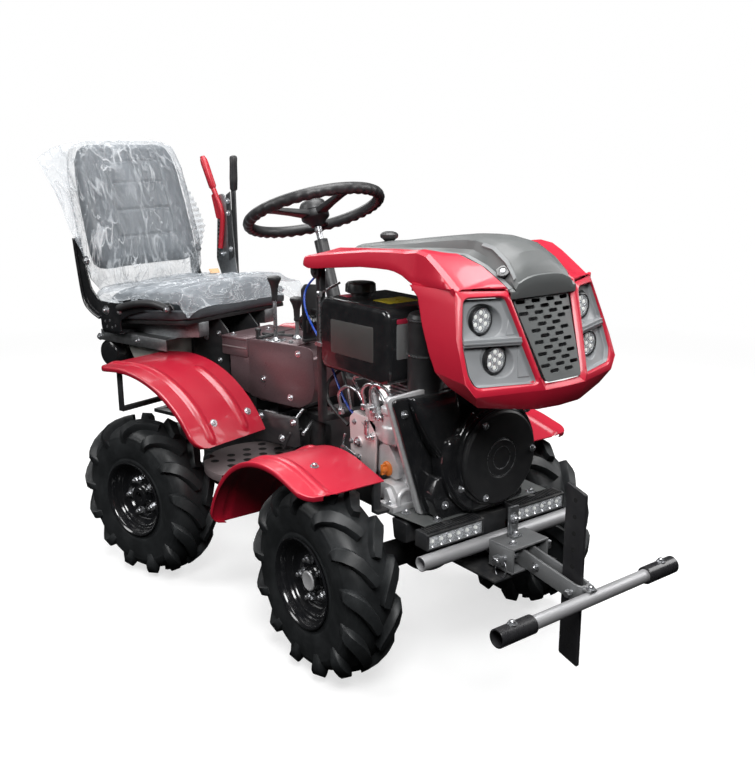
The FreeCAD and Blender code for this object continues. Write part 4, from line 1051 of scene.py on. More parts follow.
@dataclass
class Bench:
    """Makes pieces for one body, so that each needs only its shape and finish."""

    shop: Workshop
    half: Half
    body: str

    def put(self, name: str, drawing: Drawing, finish: Finish, *nodes: str, **more: Any) -> bpy.types.Object:
        """Makes a piece that stands for the named nodes."""
        return self.shop.make(name, drawing, self.half, self.body, finish, replaces=nodes, **more)

    def bolts(self, places: Sequence[Point], axis: Point, across: float = 13.0) -> None:
        """Notes several bolts with one direction."""
        for place in places:
            self.shop.bolt(self.body, self.half, place, axis, across)

    def row(self, name: str, drawing: Drawing, finish: Finish, count: int, step: Point, **more: Any) -> None:
        """Makes a straight row of one shape."""
        values = {"Count": count, **{f"Step {axis}": move * MM for axis, move in zip("XYZ", step)}}
        self.put(name, drawing, finish, tree=(self.shop.trees.row, values), **more)

    def ring(self, name: str, drawing: Drawing, finish: Finish, count: int, phase: float, **more: Any) -> None:
        """Makes copies of one shape, turned evenly about the X axis."""
        self.put(name, drawing, finish, tree=(self.shop.trees.ring, {"Count": count, "Phase": phase}), **more)

    def chips(self, name: str, spots: Sequence[Point], radius: float) -> None:
        """Makes lit lamp chips that face ahead, with their radius in metres."""
        place = self.shop.places[self.half]
        ahead = (place.to_3x3() @ Vector((0, -1, 0))).normalized()
        lit = scatter(name, [(place @ Vector(spot), ahead) for spot in spots], self.shop.trees.leds, CHIP,
                      {"Radius": radius, "Dome": 0.8})
        self.shop.fit(lit, self.body, CHIP)


# ------------------------------------------------------------------ wheels
@dataclass
class Tyre:
    """A lugged tractor tyre, drawn about its own centre with its axle along X."""

    radius: float = 240.0
    half_width: float = 67.0
    bead_radius: float = 103.0
    lugs: int = 13
    lug_height: float = 20.0
    lug_rake: float = 25.0
    lug_half_width: float = 12.0

    def carcass(self) -> list[tuple[float, float]]:
        """Gives the smooth carcass from the middle of the tread to the bead, as width and radius."""
        top = self.radius - self.lug_height
        knots = [(0, top), (16, top - 0.6), (32, top - 3), (46, top - 9), (56, top - 18), (62.5, top - 30),
                 (65.5, top - 44), (66.5, top - 58), (66, top - 74), (63.5, top - 90), (60.5, top - 99)]
        scale = self.half_width / 66.5
        return [(p.x * scale, p.y) for p in spline([(x, r, 0) for x, r in knots], 4)]

    def profile(self) -> list[tuple[float, float]]:
        """Gives the whole section from bead to bead, with its mould line and bead ring."""
        side = self.carcass()
        marked = []
        for x, r in side:
            ring = 1.2 if abs(r - (self.radius - 53)) < 2.2 else 0.0
            marked.append((x + ring, r))
        last = marked[-1]
        marked += [(last[0] + 1.6, last[1] - 3), (last[0] + 1.4, last[1] - 7), (last[0], self.bead_radius + 4),
                   (last[0] - 3, self.bead_radius)]
        return [(-x, r) for x, r in reversed(marked[1:])] + marked

    def surface(self, along: float, out: float) -> tuple[float, float]:
        """Gives width and radius at a distance along the carcass from the middle, and out from it."""
        side = self.carcass()
        travelled = 0.0
        for (x0, r0), (x1, r1) in zip(side, side[1:]):
            step = math.hypot(x1 - x0, r1 - r0)
            if travelled + step >= along:
                t = (along - travelled) / step
                normal = (-(r1 - r0) / step, (x1 - x0) / step)
                return x0 + (x1 - x0) * t + normal[0] * out, r0 + (r1 - r0) * t + normal[1] * out
            travelled += step
        return side[-1]

    def lug(self, side: int) -> Drawing:
        """Draws one curved lug, from beside the tread's middle over the shoulder to the sidewall."""
        stations = ((5, 0.0, 0.92, 1.0), (9, 0.1, 1.0, 1.0), (22, 0.34, 1.0, 1.0), (36, 0.58, 1.06, 1.0),
                    (49, 0.77, 1.14, 0.99), (60, 0.89, 1.2, 0.93), (70, 0.96, 1.2, 0.72), (80, 0.99, 1.12, 0.42),
                    (92, 1.0, 1.0, 0.16), (97, 1.0, 0.95, 0.02))
        shape = ((1.34, -0.12), (1.16, 0.45), (1.0, 0.86), (0.86, 1.0), (-0.86, 1.0), (-1.0, 0.86), (-1.16, 0.45),
                 (-1.34, -0.12))
        sweep = math.radians(self.lug_rake) * self.radius
        rows = []
        for k, (along, turn, wide, high) in enumerate(stations):
            before = stations[max(k - 1, 0)]
            after = stations[min(k + 1, len(stations) - 1)]
            tangent = Vector((after[0] - before[0], -(after[1] - before[1]) * sweep)).normalized()
            row = []
            for across, height in shape:
                offset = across * wide * self.lug_half_width
                u = max(along - tangent.y * offset, 1.5)
                arc_length = (1 - turn) * sweep + tangent.x * offset
                x, r = self.surface(min(u, 118.0), height * high * self.lug_height)
                angle = arc_length / self.radius
                row.append((side * x, r * math.cos(angle), r * math.sin(angle)))
            rows.append(row)
        return Drawing().skin(rows, around=True, caps=True)

    def build(self, bench: Bench, name: str, centre: Vector, node: str) -> None:
        """Makes the carcass and its two rows of lugs on one wheel."""
        place = Matrix.Translation(centre)
        bench.put(name, Drawing().lathe((0, 0, 0), LEFT, self.profile(), 96), RUBBER, node, angle=50.0, extra=place)
        for label, side, phase in (("outer", -1, 0.0), ("inner", 1, 0.5)):
            bench.ring(f"{name}_lugs_{label}", self.lug(side), RUBBER, self.lugs, phase, angle=34.0, extra=place)


@dataclass
class Rim:
    """A deep stepped rim with its disc, nuts and hub, drawn with its outer side towards +X."""

    radius: float = 112.0
    hub_radius: float = 30.0
    dish: float = 22.0
    nut_circle: float = 50.0
    nuts: int = 5
    nut_across: float = 19.0
    nut_phase: float = 0.3
    capped: bool = True

    def build(self, bench: Bench, name: str, centre: Vector, side: int, node: str) -> None:
        """Makes the rim, its hub and the nuts of one wheel."""
        place = Matrix.Translation(centre) @ Matrix.Rotation(0.0 if side > 0 else math.pi, 4, "Z")
        lip = self.radius
        profile = [(-66, lip - 8), (-69, lip - 3), (-67.5, lip), (-64, lip - 1), (-62.5, lip - 7), (-60, lip - 10),
                   (-20, lip - 14), (50, lip - 10), (62.5, lip - 7), (64, lip - 1), (67.5, lip), (69, lip - 3),
                   (66.5, lip - 7), (63, lip - 9.5), (58, lip - 11), (47, lip - 12.5), (45, lip - 17),
                   (41, lip - 19), (39.5, lip - 24), (37, lip - 26), (34, lip - 27), (31, lip - 32), (29, lip - 39),
                   (31, lip - 45), (30, lip - 52), (24, lip - 56), (23, lip - 74), (25, lip - 82), (25, 10), (19, 10),
                   (18, lip - 58), (24, lip - 46), (22, lip - 32), (30, lip - 20), (-30, lip - 19)]
        rim_sheen = Drawing().lathe((0, 0, 0), LEFT, profile, 96, closed=True)
        bench.put(name, rim_sheen, WHEEL, node, angle=28.0, extra=place)
        face = (self.dish, 0, 0)
        hub = [(-78, 0), (-78, 34), (-42, 34), (-4, 36), (3, 36), (8, 33), (10, self.hub_radius),
               (20, self.hub_radius - 1), (22, self.hub_radius - 3)]
        hub += [(22, 25), (21, 24), (21, 0)] if self.capped else [(22, 15), (8, 14), (4, 0)]
        bench.put(name + "_hub", Drawing().lathe(face, LEFT, hub, 48), WHEEL, angle=30.0, extra=place)
        if self.capped:
            cap = [(18, 24.5), (23, 24.5), (24.5, 23), (25, 20), (24.2, 18), (24.2, 0)]
            bench.put(name + "_cap", Drawing().lathe(face, LEFT, cap, 40), CAST, angle=30.0, extra=place)
        flat, chamfer = self.nut_across / 1.8, self.nut_across / 2.2
        nut = Drawing().disc((self.dish + 2, 0, self.nut_circle), LEFT, 15, 2.5)
        at = (self.dish + 3, 0, self.nut_circle)
        nut.lathe(at, LEFT, [(0, 0), (0, flat), (11, flat), (13, chamfer), (13, 0)], 6)
        nut.lathe(at, LEFT, [(0, 0), (0, 5.6), (20, 5.6), (21.5, 4.4), (21.5, 0)], 16)
        bench.ring(name + "_nuts", nut, ZINC, self.nuts, self.nut_phase, angle=34.0, extra=place)


@dataclass
class Wheels:
    """The four wheels."""

    offset: float = 318.0
    front_reach: float = -478.0
    rear_reach: float = 403.0
    height: float = 240.0

    def build(self, shop: Workshop) -> None:
        """Makes the tyres and rims on their four bodies."""
        for end, half, reach in (("front", Half.FRONT, self.front_reach), ("rear", Half.REAR, self.rear_reach)):
            for label, side in SIDES:
                centre = Vector((side * self.offset, reach, self.height))
                bench = Bench(shop, half, f"{end}_wheel_{label}")
                Tyre().build(bench, f"tyre_{end}_{label}", centre, f"{end}_tyre_{label}")
                Rim(capped=end == "front").build(bench, f"rim_{end}_{label}", centre, side, f"{end}_rim_{label}")


# ------------------------------------------------------------------ mudguards
@dataclass
class Mudguard:
    """A pair of ribbed mudguards with rolled outer edges."""

    name: str
    half: Half
    direction: int
    centre: tuple[float, float]
    radius: float
    arc: tuple[float, float]
    tail: float
    inner: float
    outer: float = 425.0
    node: str = "front_fenders"
    corner: float = 46.0
    rib_height: float = 6.0
    rib_half_width: float = 13.0
    ribs: tuple[tuple[float, float, float], ...] = ((52.0, 0.03, 0.95), (190.0, 0.48, 0.93))
    roll: tuple[tuple[float, float], ...] = ((1.2, 0.9), (2.16, 3.2), (2.4, 7.0), (2.04, 10.5), (0.96, 12.5))
    bolts: tuple[tuple[float, float], ...] = ()
    finish: Finish = RED
    wall: float = 2.6
    steps: int = 92
    columns: int = 60

    @property
    def length(self) -> float:
        """Gives the length of the mudguard's outline in the side view."""
        return self.tail + self.radius * math.radians(self.arc[1] - self.arc[0])

    def along(self, t: float) -> tuple[Vector, Vector]:
        """Gives the point and the outward direction in the side view, from the tail's tip to the pivot's end."""
        start = math.radians(self.arc[0])
        travelled = t * self.length
        angle = start + max(travelled - self.tail, 0.0) / self.radius
        outward = Vector((0, self.direction * math.cos(angle), math.sin(angle)))
        point = Vector((0, *self.centre)) + outward * self.radius
        if travelled < self.tail:
            back = Vector((0, self.direction * math.sin(start), -math.cos(start)))
            point += back * (self.tail - travelled)
        return point, outward

    def rise(self, across: float, t: float) -> float:
        """Gives the height of the ribs at a place on the mudguard."""
        high = 0.0
        for middle, begin, end in self.ribs:
            gap = abs(across - middle) / self.rib_half_width
            beyond = max(begin - t, t - end, 0.0) * self.length / self.rib_half_width
            reach = math.hypot(gap, beyond * 0.55)
            high = max(high, self.rib_height * max(0.0, 1 - reach * reach) ** 0.6)
        return high

    def build(self, shop: Workshop) -> None:
        """Makes both mudguards of the pair as one piece, and notes their bolts."""
        width = self.outer - self.inner
        rows = []
        for i in range(self.steps + 1):
            t = i / self.steps
            point, outward = self.along(t)
            near_end = min(t, 1 - t) * self.length
            cut = self.corner - math.sqrt(max(self.corner ** 2 - max(self.corner - near_end, 0) ** 2, 0.0))
            row = []
            for j in range(self.columns + 1):
                across = width * (1 - j / self.columns)
                across = cut + across * (width - cut) / width
                row.append(point + outward * self.rise(across, t) - Vector((self.outer - across, 0, 0)))
            edge = row[-1]
            for turn, drop in self.roll:
                row.append(edge - outward * drop - Vector((turn, 0, 0)))
            rows.append(row)
        bench = Bench(shop, self.half, self.half.value)
        bench.put(self.name, Drawing().skin(rows).mirrored(), self.finish, self.node, wall=self.wall, angle=60.0,
                  outward=False)
        for across, t in self.bolts:
            point, outward = self.along(t)
            bench.bolts([point + Vector((side * (self.outer - across), 0, 0)) for side in (-1, 1)], outward)


# ------------------------------------------------------------------ hood
def on_loop(loop: Sequence[Vector], centre: Vector, angle: float) -> Vector:
    """Finds where a ray from a centre, seen from the front, crosses a closed loop of points."""
    direction = Vector((math.cos(angle), 0, math.sin(angle)))
    normal = Vector((-direction.z, 0, direction.x))
    best = loop[0]
    for a, b in zip(loop, list(loop[1:]) + [loop[0]]):
        side_a = (a - centre).dot(normal)
        side_b = (b - centre).dot(normal)
        if side_a * side_b <= 0 and abs(side_a - side_b) > 1e-9:
            point = a.lerp(b, side_a / (side_a - side_b))
            if (point - centre).dot(direction) > 0:
                best = point
    return best


def ring_rows(loops: Sequence[Sequence[Vector]], centre: Vector) -> list[list[Vector]]:
    """Reads several loops at the same angles, so that they can be joined by a skin."""
    angles = sorted({round(math.atan2(p.z - centre.z, p.x - centre.x), 4) for loop in loops for p in loop})
    return [[on_loop(loop, centre, angle) for angle in angles] for loop in loops]


@dataclass
class Hood:
    """Red hood shoulders, the grey panel between them, its knob and its lock."""

    creases: tuple[tuple[float, float, float], ...] = (
        (-802, 203, 957), (-769, 201, 979), (-729, 199, 1004), (-700, 196, 1019), (-666, 193, 1024),
        (-631, 196, 1019), (-580, 199, 1017), (-502, 200, 1011), (-412, 200, 1000), (-315, 200, 987),
        (-249, 200, 977), (-232, 199, 972))
    arches: tuple[tuple[float, float], ...] = (
        (-802, 952), (-653, 952), (-640, 958), (-624, 966), (-600, 972), (-579, 974), (-530, 973), (-469, 970),
        (-384, 960), (-300, 950), (-256, 946), (-232, 951))
    panel: tuple[tuple[float, ...], ...] = (
        # y, then half width and height at the edge, the groove, the outer ridge, the inner ridge; the crown
        (-852, 97, 950, 93, 948, 86, 951, 78, 966, 980),
        (-843, 99, 955, 95, 952, 87, 957, 76, 980, 998),
        (-815, 97, 968, 93, 964, 85, 972, 70, 1007, 1024),
        (-769, 96, 990, 92, 985, 83, 993, 65, 1032, 1043),
        (-711, 115, 1012, 108, 1007, 90, 1013, 66, 1041, 1049),
        (-680, 103, 1009, 97, 1005, 84, 1012, 64, 1040, 1049),
        (-640, 92, 1007, 87, 1003, 79, 1011, 60, 1036, 1047),
        (-560, 90, 1005, 85, 1001, 77, 1008, 55, 1026, 1037),
        (-478, 89, 1001, 84, 997, 76, 1003, 50, 1015, 1026),
        (-396, 88, 995, 83, 992, 75, 998, 46, 1005, 1014),
        (-318, 86, 990, 81, 987, 73, 992, 43, 996, 1006),
        (-240, 84, 984, 79, 982, 71, 986, 40, 989, 994))
    nose: tuple[tuple[float, float], ...] = ((99, -846), (203, -803), (212, -800))
    tuck: tuple[tuple[float, float], ...] = ((0.97, 3.0), (0.88, 6.0), (0.7, 7.5))
    lip: tuple[tuple[float, float], ...] = ((1, 26), (2.5, 20), (4, 12), (4.5, 5), (3, 1))
    # Width, drop and rear end of the strip beside the outer and the inner ridge.
    strips: tuple[tuple[float, float, float], ...] = ((9.0, 2.4, -250.0), (6.5, 5.2, -735.0))
    front: float = -850.0
    rear: float = -236.0
    panel_front: float = -852.0
    panel_length: float = 614.0
    seam: float = 1.2
    wall: float = 3.0
    rows: int = 90
    panel_rows: int = 100

    def shoulder(self, y: float) -> list[Vector]:
        """Gives a cross-section of the right shoulder, from the panel's edge to the side band's low edge."""
        half, high = between([(row[0], *row[1:3]) for row in self.panel], y)[:2]
        out, top = between(self.creases, y)
        low = between(self.arches, y)[0]
        corner = between(((-852, 14), (-760, 12), (-640, 9), (-560, 7), (-240, 6)), y)[0]
        ridge = 0.35 * (out - half)
        edge = half + self.seam
        points = [(edge, high - 6), (edge, high + 1.5), (edge + 3, high + 4.5),
                  (half + ridge, high + (top - high) * 0.42 + 3), (out - 2.4 * corner, top + 1.2),
                  (out - corner * 0.9, top + 0.8), (out, top - corner * 0.55), (out + 3, min(top - 12, low + 20)),
                  (out + 4, low + 5), (out + 3, low + 0.8), (out - 2, low)]
        return [Vector((-x, y, z)) for x, z in points]

    def build(self, shop: Workshop) -> None:
        """Makes the shoulders, their ears, the panel, the knob and the lock."""
        bench = Bench(shop, Half.FRONT, "hood")
        sections = []
        for i in range(self.rows + 1):
            section = self.shoulder(self.front + (self.rear - self.front) * i / self.rows)
            sections.append([Vector((p.x, max(p.y, between(self.nose, -p.x)[0]), p.z)) for p in section])
        last = sections[-1]
        middle = sum(last, Vector()) / len(last)
        for pull, back in self.tuck:
            sections.append([middle + (p - middle) * pull + Vector((0, back, 0)) for p in last])
        shell = Drawing().skin(sections).mirrored()
        bench.put("hood_shoulders", shell, RED, "hood_shell", wall=self.wall, angle=24.0, outward=False)
        self._ears(bench)
        self._panel(bench)
        self._knob(bench)
        self._lock(bench)

    def _ears(self, bench: Bench) -> None:
        """Makes the two lugs that turn on the hinge pins."""
        outline = rounded([(-280, 930), (-262, 918), (-244, 930), (-244, 962), (-280, 972)], 8)
        ears = Drawing().pair(outline, 188.0, 183.0)
        bench.put("hood_ears", ears, STEEL_BLACK, bevel=0.8)

    def _panel(self, bench: Bench) -> None:
        """Makes the grey panel with its two pairs of ridges and its raised middle."""
        rows: list[list[Vector]] = []
        ridges: list[list[tuple[float, Point]]] = [[], []]
        for i in range(self.panel_rows + 1):
            y = self.panel_front + self.panel_length * i / self.panel_rows
            *values, crown = between(self.panel, y)
            edge, groove, outer, inner = zip(values[::2], values[1::2])
            soft = [(edge[0], edge[1] - 4), edge, groove, (outer[0] + 3, outer[1] - 1.5), outer,
                    (outer[0] - 4, outer[1] - 2), (inner[0] + 7, inner[1] - 0.62 * (inner[1] - outer[1]) - 2),
                    (inner[0] + 1, inner[1] - 1.4), (inner[0], inner[1]), (inner[0] - 3.5, inner[1] + 0.6)]
            ridges[0].append((y, outer))
            ridges[1].append((y, inner))
            start = soft[-1]
            for step in range(1, 7):
                t = step / 6
                soft.append((start[0] * (1 - t), start[1] + (crown - start[1]) * (1 - (1 - t) ** 3)))
            rows.append([Vector((-x, y, z)) for x, z in soft] + [Vector((x, y, z)) for x, z in reversed(soft[:-1])])
        nose = []
        for push, drop in self.lip:
            nose.append([Vector((p.x, p.y - push * (1 - (abs(p.x) / 110) ** 2) - 2,
                                 max(p.z - drop - (p.z - 951) * drop / 34, 934 + (26 - drop) * 0.6)))
                         for p in rows[0]])
        drawing = Drawing().skin(nose + rows)
        bench.put("hood_panel", drawing, GREY, "hood_top_panel", wall=self.wall, angle=17.0, outward=False)
        strips = Drawing()
        for ridge, (wide, drop, end) in zip(ridges, self.strips):
            loops = []
            for y, (x, z) in (place for place in ridge[1:] if place[0] < end):
                loops.append([Vector((-x - wide, y, z - drop - 1.2)), Vector((-x - wide, y, z - drop + 0.7)),
                              Vector((-x + 0.4, y, z + 0.9)), Vector((-x + 0.4, y, z - 1.2))])
            strips.skin(loops)
        strips.mirrored()
        bench.put("hood_panel_strips", strips, STRIP_GREY, angle=30.0)

    def _knob(self, bench: Bench) -> None:
        """Makes the round knob near the hood's rear."""
        knob = Drawing().lathe((0, -322, 998), UP, [
            (0, 0), (0, 12), (8, 12), (13, 17), (16, 21.5), (20, 23), (25, 22.5), (29, 18.5), (31.5, 11), (32, 0)], 36)
        bench.put("hood_knob_cap", knob, PLASTIC, "hood_knob", angle=30.0)

    def _lock(self, bench: Bench) -> None:
        """Makes the round lock with its bright centre."""
        outward = Vector((-0.62, -0.35, 0.7)).normalized()
        seat = Vector((-80, -812, 984))
        body = Drawing().lathe(seat, outward, [(-16, 0), (-16, 13), (2, 13), (3, 15), (4.6, 15), (5.6, 13.6),
                                               (5.8, 9), (4.4, 8), (4.4, 0)], 32)
        bench.put("hood_lock_body", body, SHINY_PLASTIC, "hood_lock", angle=30.0)
        core = Drawing().lathe(seat, outward, [(3, 0), (3, 6), (6, 5.6), (6.8, 4.6), (6.8, 0)], 24)
        bench.put("hood_lock_core", core, ZINC, angle=30.0)


@dataclass
class Mask:
    """The red front mask with its lamp pods, lamps and perforated grille."""

    # Corners of the right side, as half width, y and z.
    top_inner: tuple[float, float, float] = (99, -846, 951)
    top_outer: tuple[float, float, float] = (203, -802, 954)
    side_top: tuple[float, float, float] = (210, -811, 925)
    side_high: tuple[float, float, float] = (224, -831, 861)
    side_middle: tuple[float, float, float] = (227, -848, 822)
    side_low: tuple[float, float, float] = (229, -866, 776)
    cheek: tuple[float, float, float] = (208, -874, 748)
    jaw: tuple[float, float, float] = (60, -925, 752)
    jaw_low: tuple[float, float, float] = (62, -906, 707)
    corner_low: tuple[float, float, float] = (190, -862, 722)
    grille_low: tuple[float, float, float] = (70, -921, 772)
    chin: tuple[float, float, float] = (0, -928, 752)
    pod: tuple[tuple[float, float, float], ...] = (
        (108, -850, 941), (194, -814, 940), (214, -838, 852), (217, -860, 790), (203, -869, 763), (71, -916, 765))
    lamps: tuple[tuple[float, float, float], ...] = ((150, -823, 892), (140, -857, 814))
    grille: tuple[tuple[float, float], ...] = ((80, 948), (45, 768))
    wall: float = 3.0
    split: float = 852.0
    recess: float = 13.0
    pocket: float = 34.0
    lamp_scale: float = 0.83
    cell_circle: float = 19.5
    chip_radius: float = 0.0052
    hole_rows: int = 15
    hole_step: tuple[float, float] = (43.0, 11.6)
    hole_size: tuple[float, float] = (0.0265, 0.0078)
    sheet: float = 0.0025
    bow: float = 5.0
    triangles: tuple[tuple[tuple[float, float], ...], ...] = (
        ((102, 898), (114, 862), (96, 862)), ((94, 838), (105, 777), (79, 777)))

    @staticmethod
    def right(corner: Point) -> Vector:
        """Gives a corner's place on the right side."""
        return Vector((-corner[0], corner[1], corner[2]))

    def build(self, shop: Workshop) -> None:
        """Makes the mask, its pods, its lamps and its grille."""
        bench = Bench(shop, Half.FRONT, "hood")
        self._frame(bench)
        self._pods(bench)
        for side in (-1, 1):
            for number, place in enumerate(self.lamps):
                label = f"{'right' if side < 0 else 'left'}_{'upper' if number == 0 else 'lower'}"
                self._lamp(bench, label, Vector((side * place[0], place[1], place[2])))
        self._grille(bench)

    def _frame(self, bench: Bench) -> None:
        """Makes the red mask: the side, the frame round the pod, and the faceted chin."""
        at = self.right
        side = Drawing()
        rear = ((203, -655, 951), (204, -684, 928), (216, -713, 875), (221, -742, 821), (222, -764, 783),
                (212, -792, 757), (186, -851, 722))
        front = (self.top_outer, self.side_top, self.side_high, self.side_middle, self.side_low, self.cheek,
                 self.corner_low)
        side.skin([[at(low).lerp(at(high), t) for t in (0.0, 0.02, 0.2, 0.5, 0.8, 0.97, 1.0)]
                   for low, high in zip(front, rear)])
        outline = [at(c) for c in (self.top_inner, self.top_outer, self.side_top, self.side_high,
                                   self.side_middle, self.side_low, self.cheek, self.jaw, self.grille_low)]
        opening = soft_loop([at(c) for c in self.pod], 16)
        middle = sum((at(c) for c in self.pod), Vector()) / len(self.pod)
        inner = [p + (middle - p).normalized() * 2.5 + Vector((0, 5, 0)) for p in opening]
        deep = [p + (middle - p).normalized() * 3.5 + Vector((0, 22, 0)) for p in opening]
        proud = [p + (p - middle).normalized() * 3 + Vector((0, -2.5, 0)) for p in opening]
        side.skin(ring_rows([deep, inner, opening, proud, outline], middle), around=True)
        cheek, jaw, low, jaw_low = at(self.cheek), at(self.jaw), at(self.corner_low), at(self.jaw_low)
        forward = Vector((0, -2, 0))
        side.skin([[cheek, cheek.lerp(jaw, 0.22), cheek.lerp(jaw, 0.8), jaw, at(self.chin)],
                   [low, low.lerp(jaw_low, 0.12) + forward, low.lerp(jaw_low, 0.92) + forward, jaw_low,
                    Vector((0, -910, 706))]])
        # The rim beside the grille goes back to the grille's sheet.
        edge = [at(self.top_inner), at(self.grille_low), at(self.jaw), at(self.chin)]
        back = [at((92, -838, 951)), at((60, -911, 776)), at((50, -915, 763)), Vector((0, -918, 762))]
        side.skin([[a.lerp(b, t) for a, b in zip(edge, back)] for t in (0.0, 0.5, 1.0)]).mirrored()
        bench.put("mask", side, RED, "front_mask", wall=self.wall, bevel=1.6, angle=24.0)
        flange = Drawing()
        path = ((94, -832), (101, -833), (150, -813), (195, -791), (198, -760), (199, -657))
        flange.skin([[Vector((-x, y, z)) for x, y in path] for z in (938, 947, 956)])
        flange.mirrored()
        bench.put("mask_flange", flange, RED, wall=2.0, bevel=0.5, angle=50.0)
        # Painted shade: a dark tray behind the grille stands for the dark inside of the mask seen through its holes.
        tray = Drawing()
        (wide, top), (narrow, low) = self.grille
        edge = soft_loop([Vector((x, self.slope(z) + 5, z)) for x, z in (
            (-wide - 12, top - 4), (-narrow - 12, low - 3), (narrow + 12, low - 3), (wide + 12, top - 4))], 10)
        middle = Vector((0, self.slope(855) + 34, 855))
        rows = [edge, [p + Vector((0, 30, 0)) for p in edge]]
        rows.append([p.lerp(middle, 0.5) for p in rows[1]])
        rows.append([middle] * len(edge))
        tray.skin(rows, around=True)
        bench.put("grille_tray", tray, SHADE_GREY, wall=2.0, angle=40.0)

    @staticmethod
    def slope(z: float) -> float:
        """Gives the place along the tractor of the grille's sheet at a height."""
        return -836 - 77 * (944 - z) / 176

    def _pods(self, bench: Bench) -> None:
        """Makes the grey pods: two compartments with round lamp pockets, a divider bar and raised triangles."""
        at = self.right
        corners = [at(c) for c in self.pod]
        share = (corners[0].z - self.split) / (corners[0].z - corners[-1].z)
        near, far = corners[0].lerp(corners[-1], share), corners[2].copy()
        gap = Vector((0, 0, 2))
        pods = Drawing()
        self._compartment(pods, [corners[0], corners[1], far + gap, near + gap], at(self.lamps[0]))
        self._compartment(pods, [near - gap, far - gap, corners[3], corners[4], corners[5]], at(self.lamps[1]))
        for out, back, tall in ((1.0, 20, 7.5), (3.0, 4, 2.6)):
            line = [(far.x + 3, far.y - out), (near.x - 3, near.y - out)]
            line += [(near.x - 3, near.y + back), (far.x + 3, far.y + back)]
            pods.prism(rounded(line, 1.5), Axis.Z, self.split - tall, self.split + tall * (1 if out < 2 else 0.4))
        pods.mirrored()
        bench.put("pods", pods, POD_GREY, "lamp_pods", bevel=0.6, angle=28.0)

    def _compartment(self, pods: Drawing, corners: Sequence[Vector], lamp: Vector) -> None:
        """Draws one pod compartment round its lamp.

        Args:
            pods: The drawing that it is added to.
            corners: The corners of its opening.
            lamp: The middle of the lamp's face.
        """
        opening = soft_loop(corners, 11)
        middle = sum(corners, Vector()) / len(corners)
        a, b, c = corners[0], corners[1], corners[-1]
        normal = (b - a).cross(c - a)

        def floor(x: float, z: float) -> float:
            """Gives the place along the tractor of the compartment's floor."""
            return a.y - (normal.x * (x - a.x) + normal.z * (z - a.z)) / normal.y + self.recess

        loops = []
        for shrink, back in ((3.6, 2.0), (4.4, 5.0), (5.2, self.recess - 2.5), (7.5, self.recess)):
            loops.append([p + (middle - p).normalized() * shrink + Vector((0, back, 0)) for p in opening])
        for radius, deep in ((self.pocket + 1.5, 0.0), (self.pocket, 1.5), (self.pocket - 1.5, 60.0), (22.0, 60.0)):
            ring = []
            for k in range(48):
                x = lamp.x + radius * math.cos(k * math.pi / 24)
                z = lamp.z + radius * math.sin(k * math.pi / 24)
                surface = floor(x, z) + min(deep, 1.5)
                ring.append(Vector((x, surface if deep < 9 else max(surface + 1, lamp.y + 9), z)))
            loops.append(ring)
        pods.skin(ring_rows(loops, lamp), around=True)
        side = -1 if lamp.x < 0 else 1
        corner = Vector((0, -0.4, 0))
        triangle = self.triangles[0 if lamp.z > self.split else 1]
        flat = [Vector((side * x, floor(side * x, z), z)) + corner for x, z in triangle]
        heart = sum(flat, Vector()) / 3
        pods.skin([[p + Vector((0, 4, 0)) for p in flat], flat,
                   [p.lerp(heart, 0.12) - Vector((0, 1.6, 0)) for p in flat],
                   [p.lerp(heart, 0.3) + corner for p in flat], [heart + corner] * 3], around=True)

    def _lamp(self, bench: Bench, label: str, at: Vector) -> None:
        """Makes one round lamp: its drum, rim, reflector bowls, seven lit cells and lens."""
        size = self.lamp_scale

        def turned(profile: Sequence[tuple[float, float]], **more: Any) -> Drawing:
            """Turns a profile that is drawn for a lamp of full size."""
            return Drawing().lathe(at, AHEAD, [(h, r * size) for h, r in profile], 48, **more)

        ring = turned([(-24, 24), (-24, 32), (-6, 34), (1, 34.6), (2.6, 34.6), (3.4, 33.4), (3.2, 31.4), (-2, 30.6),
                       (-12, 29)], closed=True)
        bench.put(f"lamp_ring_{label}", ring, SHINY_PLASTIC, angle=30.0)
        cells = Drawing()
        bowl = [(h, r * size) for h, r in ((0.5, 9.9), (-4, 8.4), (-8, 5.4), (-9.5, 2.2), (-9.8, 0))]
        turns = [a * math.pi / 3 + 0.5 for a in range(6)]
        reach = self.cell_circle * size
        spots = [at] + [at + Vector((reach * math.cos(a), 0, reach * math.sin(a))) for a in turns]
        for spot in spots:
            cells.lathe(spot, AHEAD, bowl, 18)
        bench.put(f"lamp_bowls_{label}", cells, REFLECTOR, angle=60.0, outward=False)
        plate = turned([(-10.5, 0), (-10.5, 31.5), (-2, 31.5), (-1.5, 0)])
        bench.put(f"lamp_plate_{label}", plate, REFLECTOR, angle=30.0)
        bench.chips(f"lamp_chips_{label}", [spot + Vector((0, 3.0, 0)) for spot in spots], self.chip_radius)
        lens = turned([(-1, 0), (-1, 30.4), (1.4, 31), (2.6, 28), (3.4, 18), (3.8, 0)])
        nodes = ["headlamps"] if label == "right_upper" else []
        bench.put(f"lamp_lens_{label}", lens, LENS, *nodes, angle=40.0)

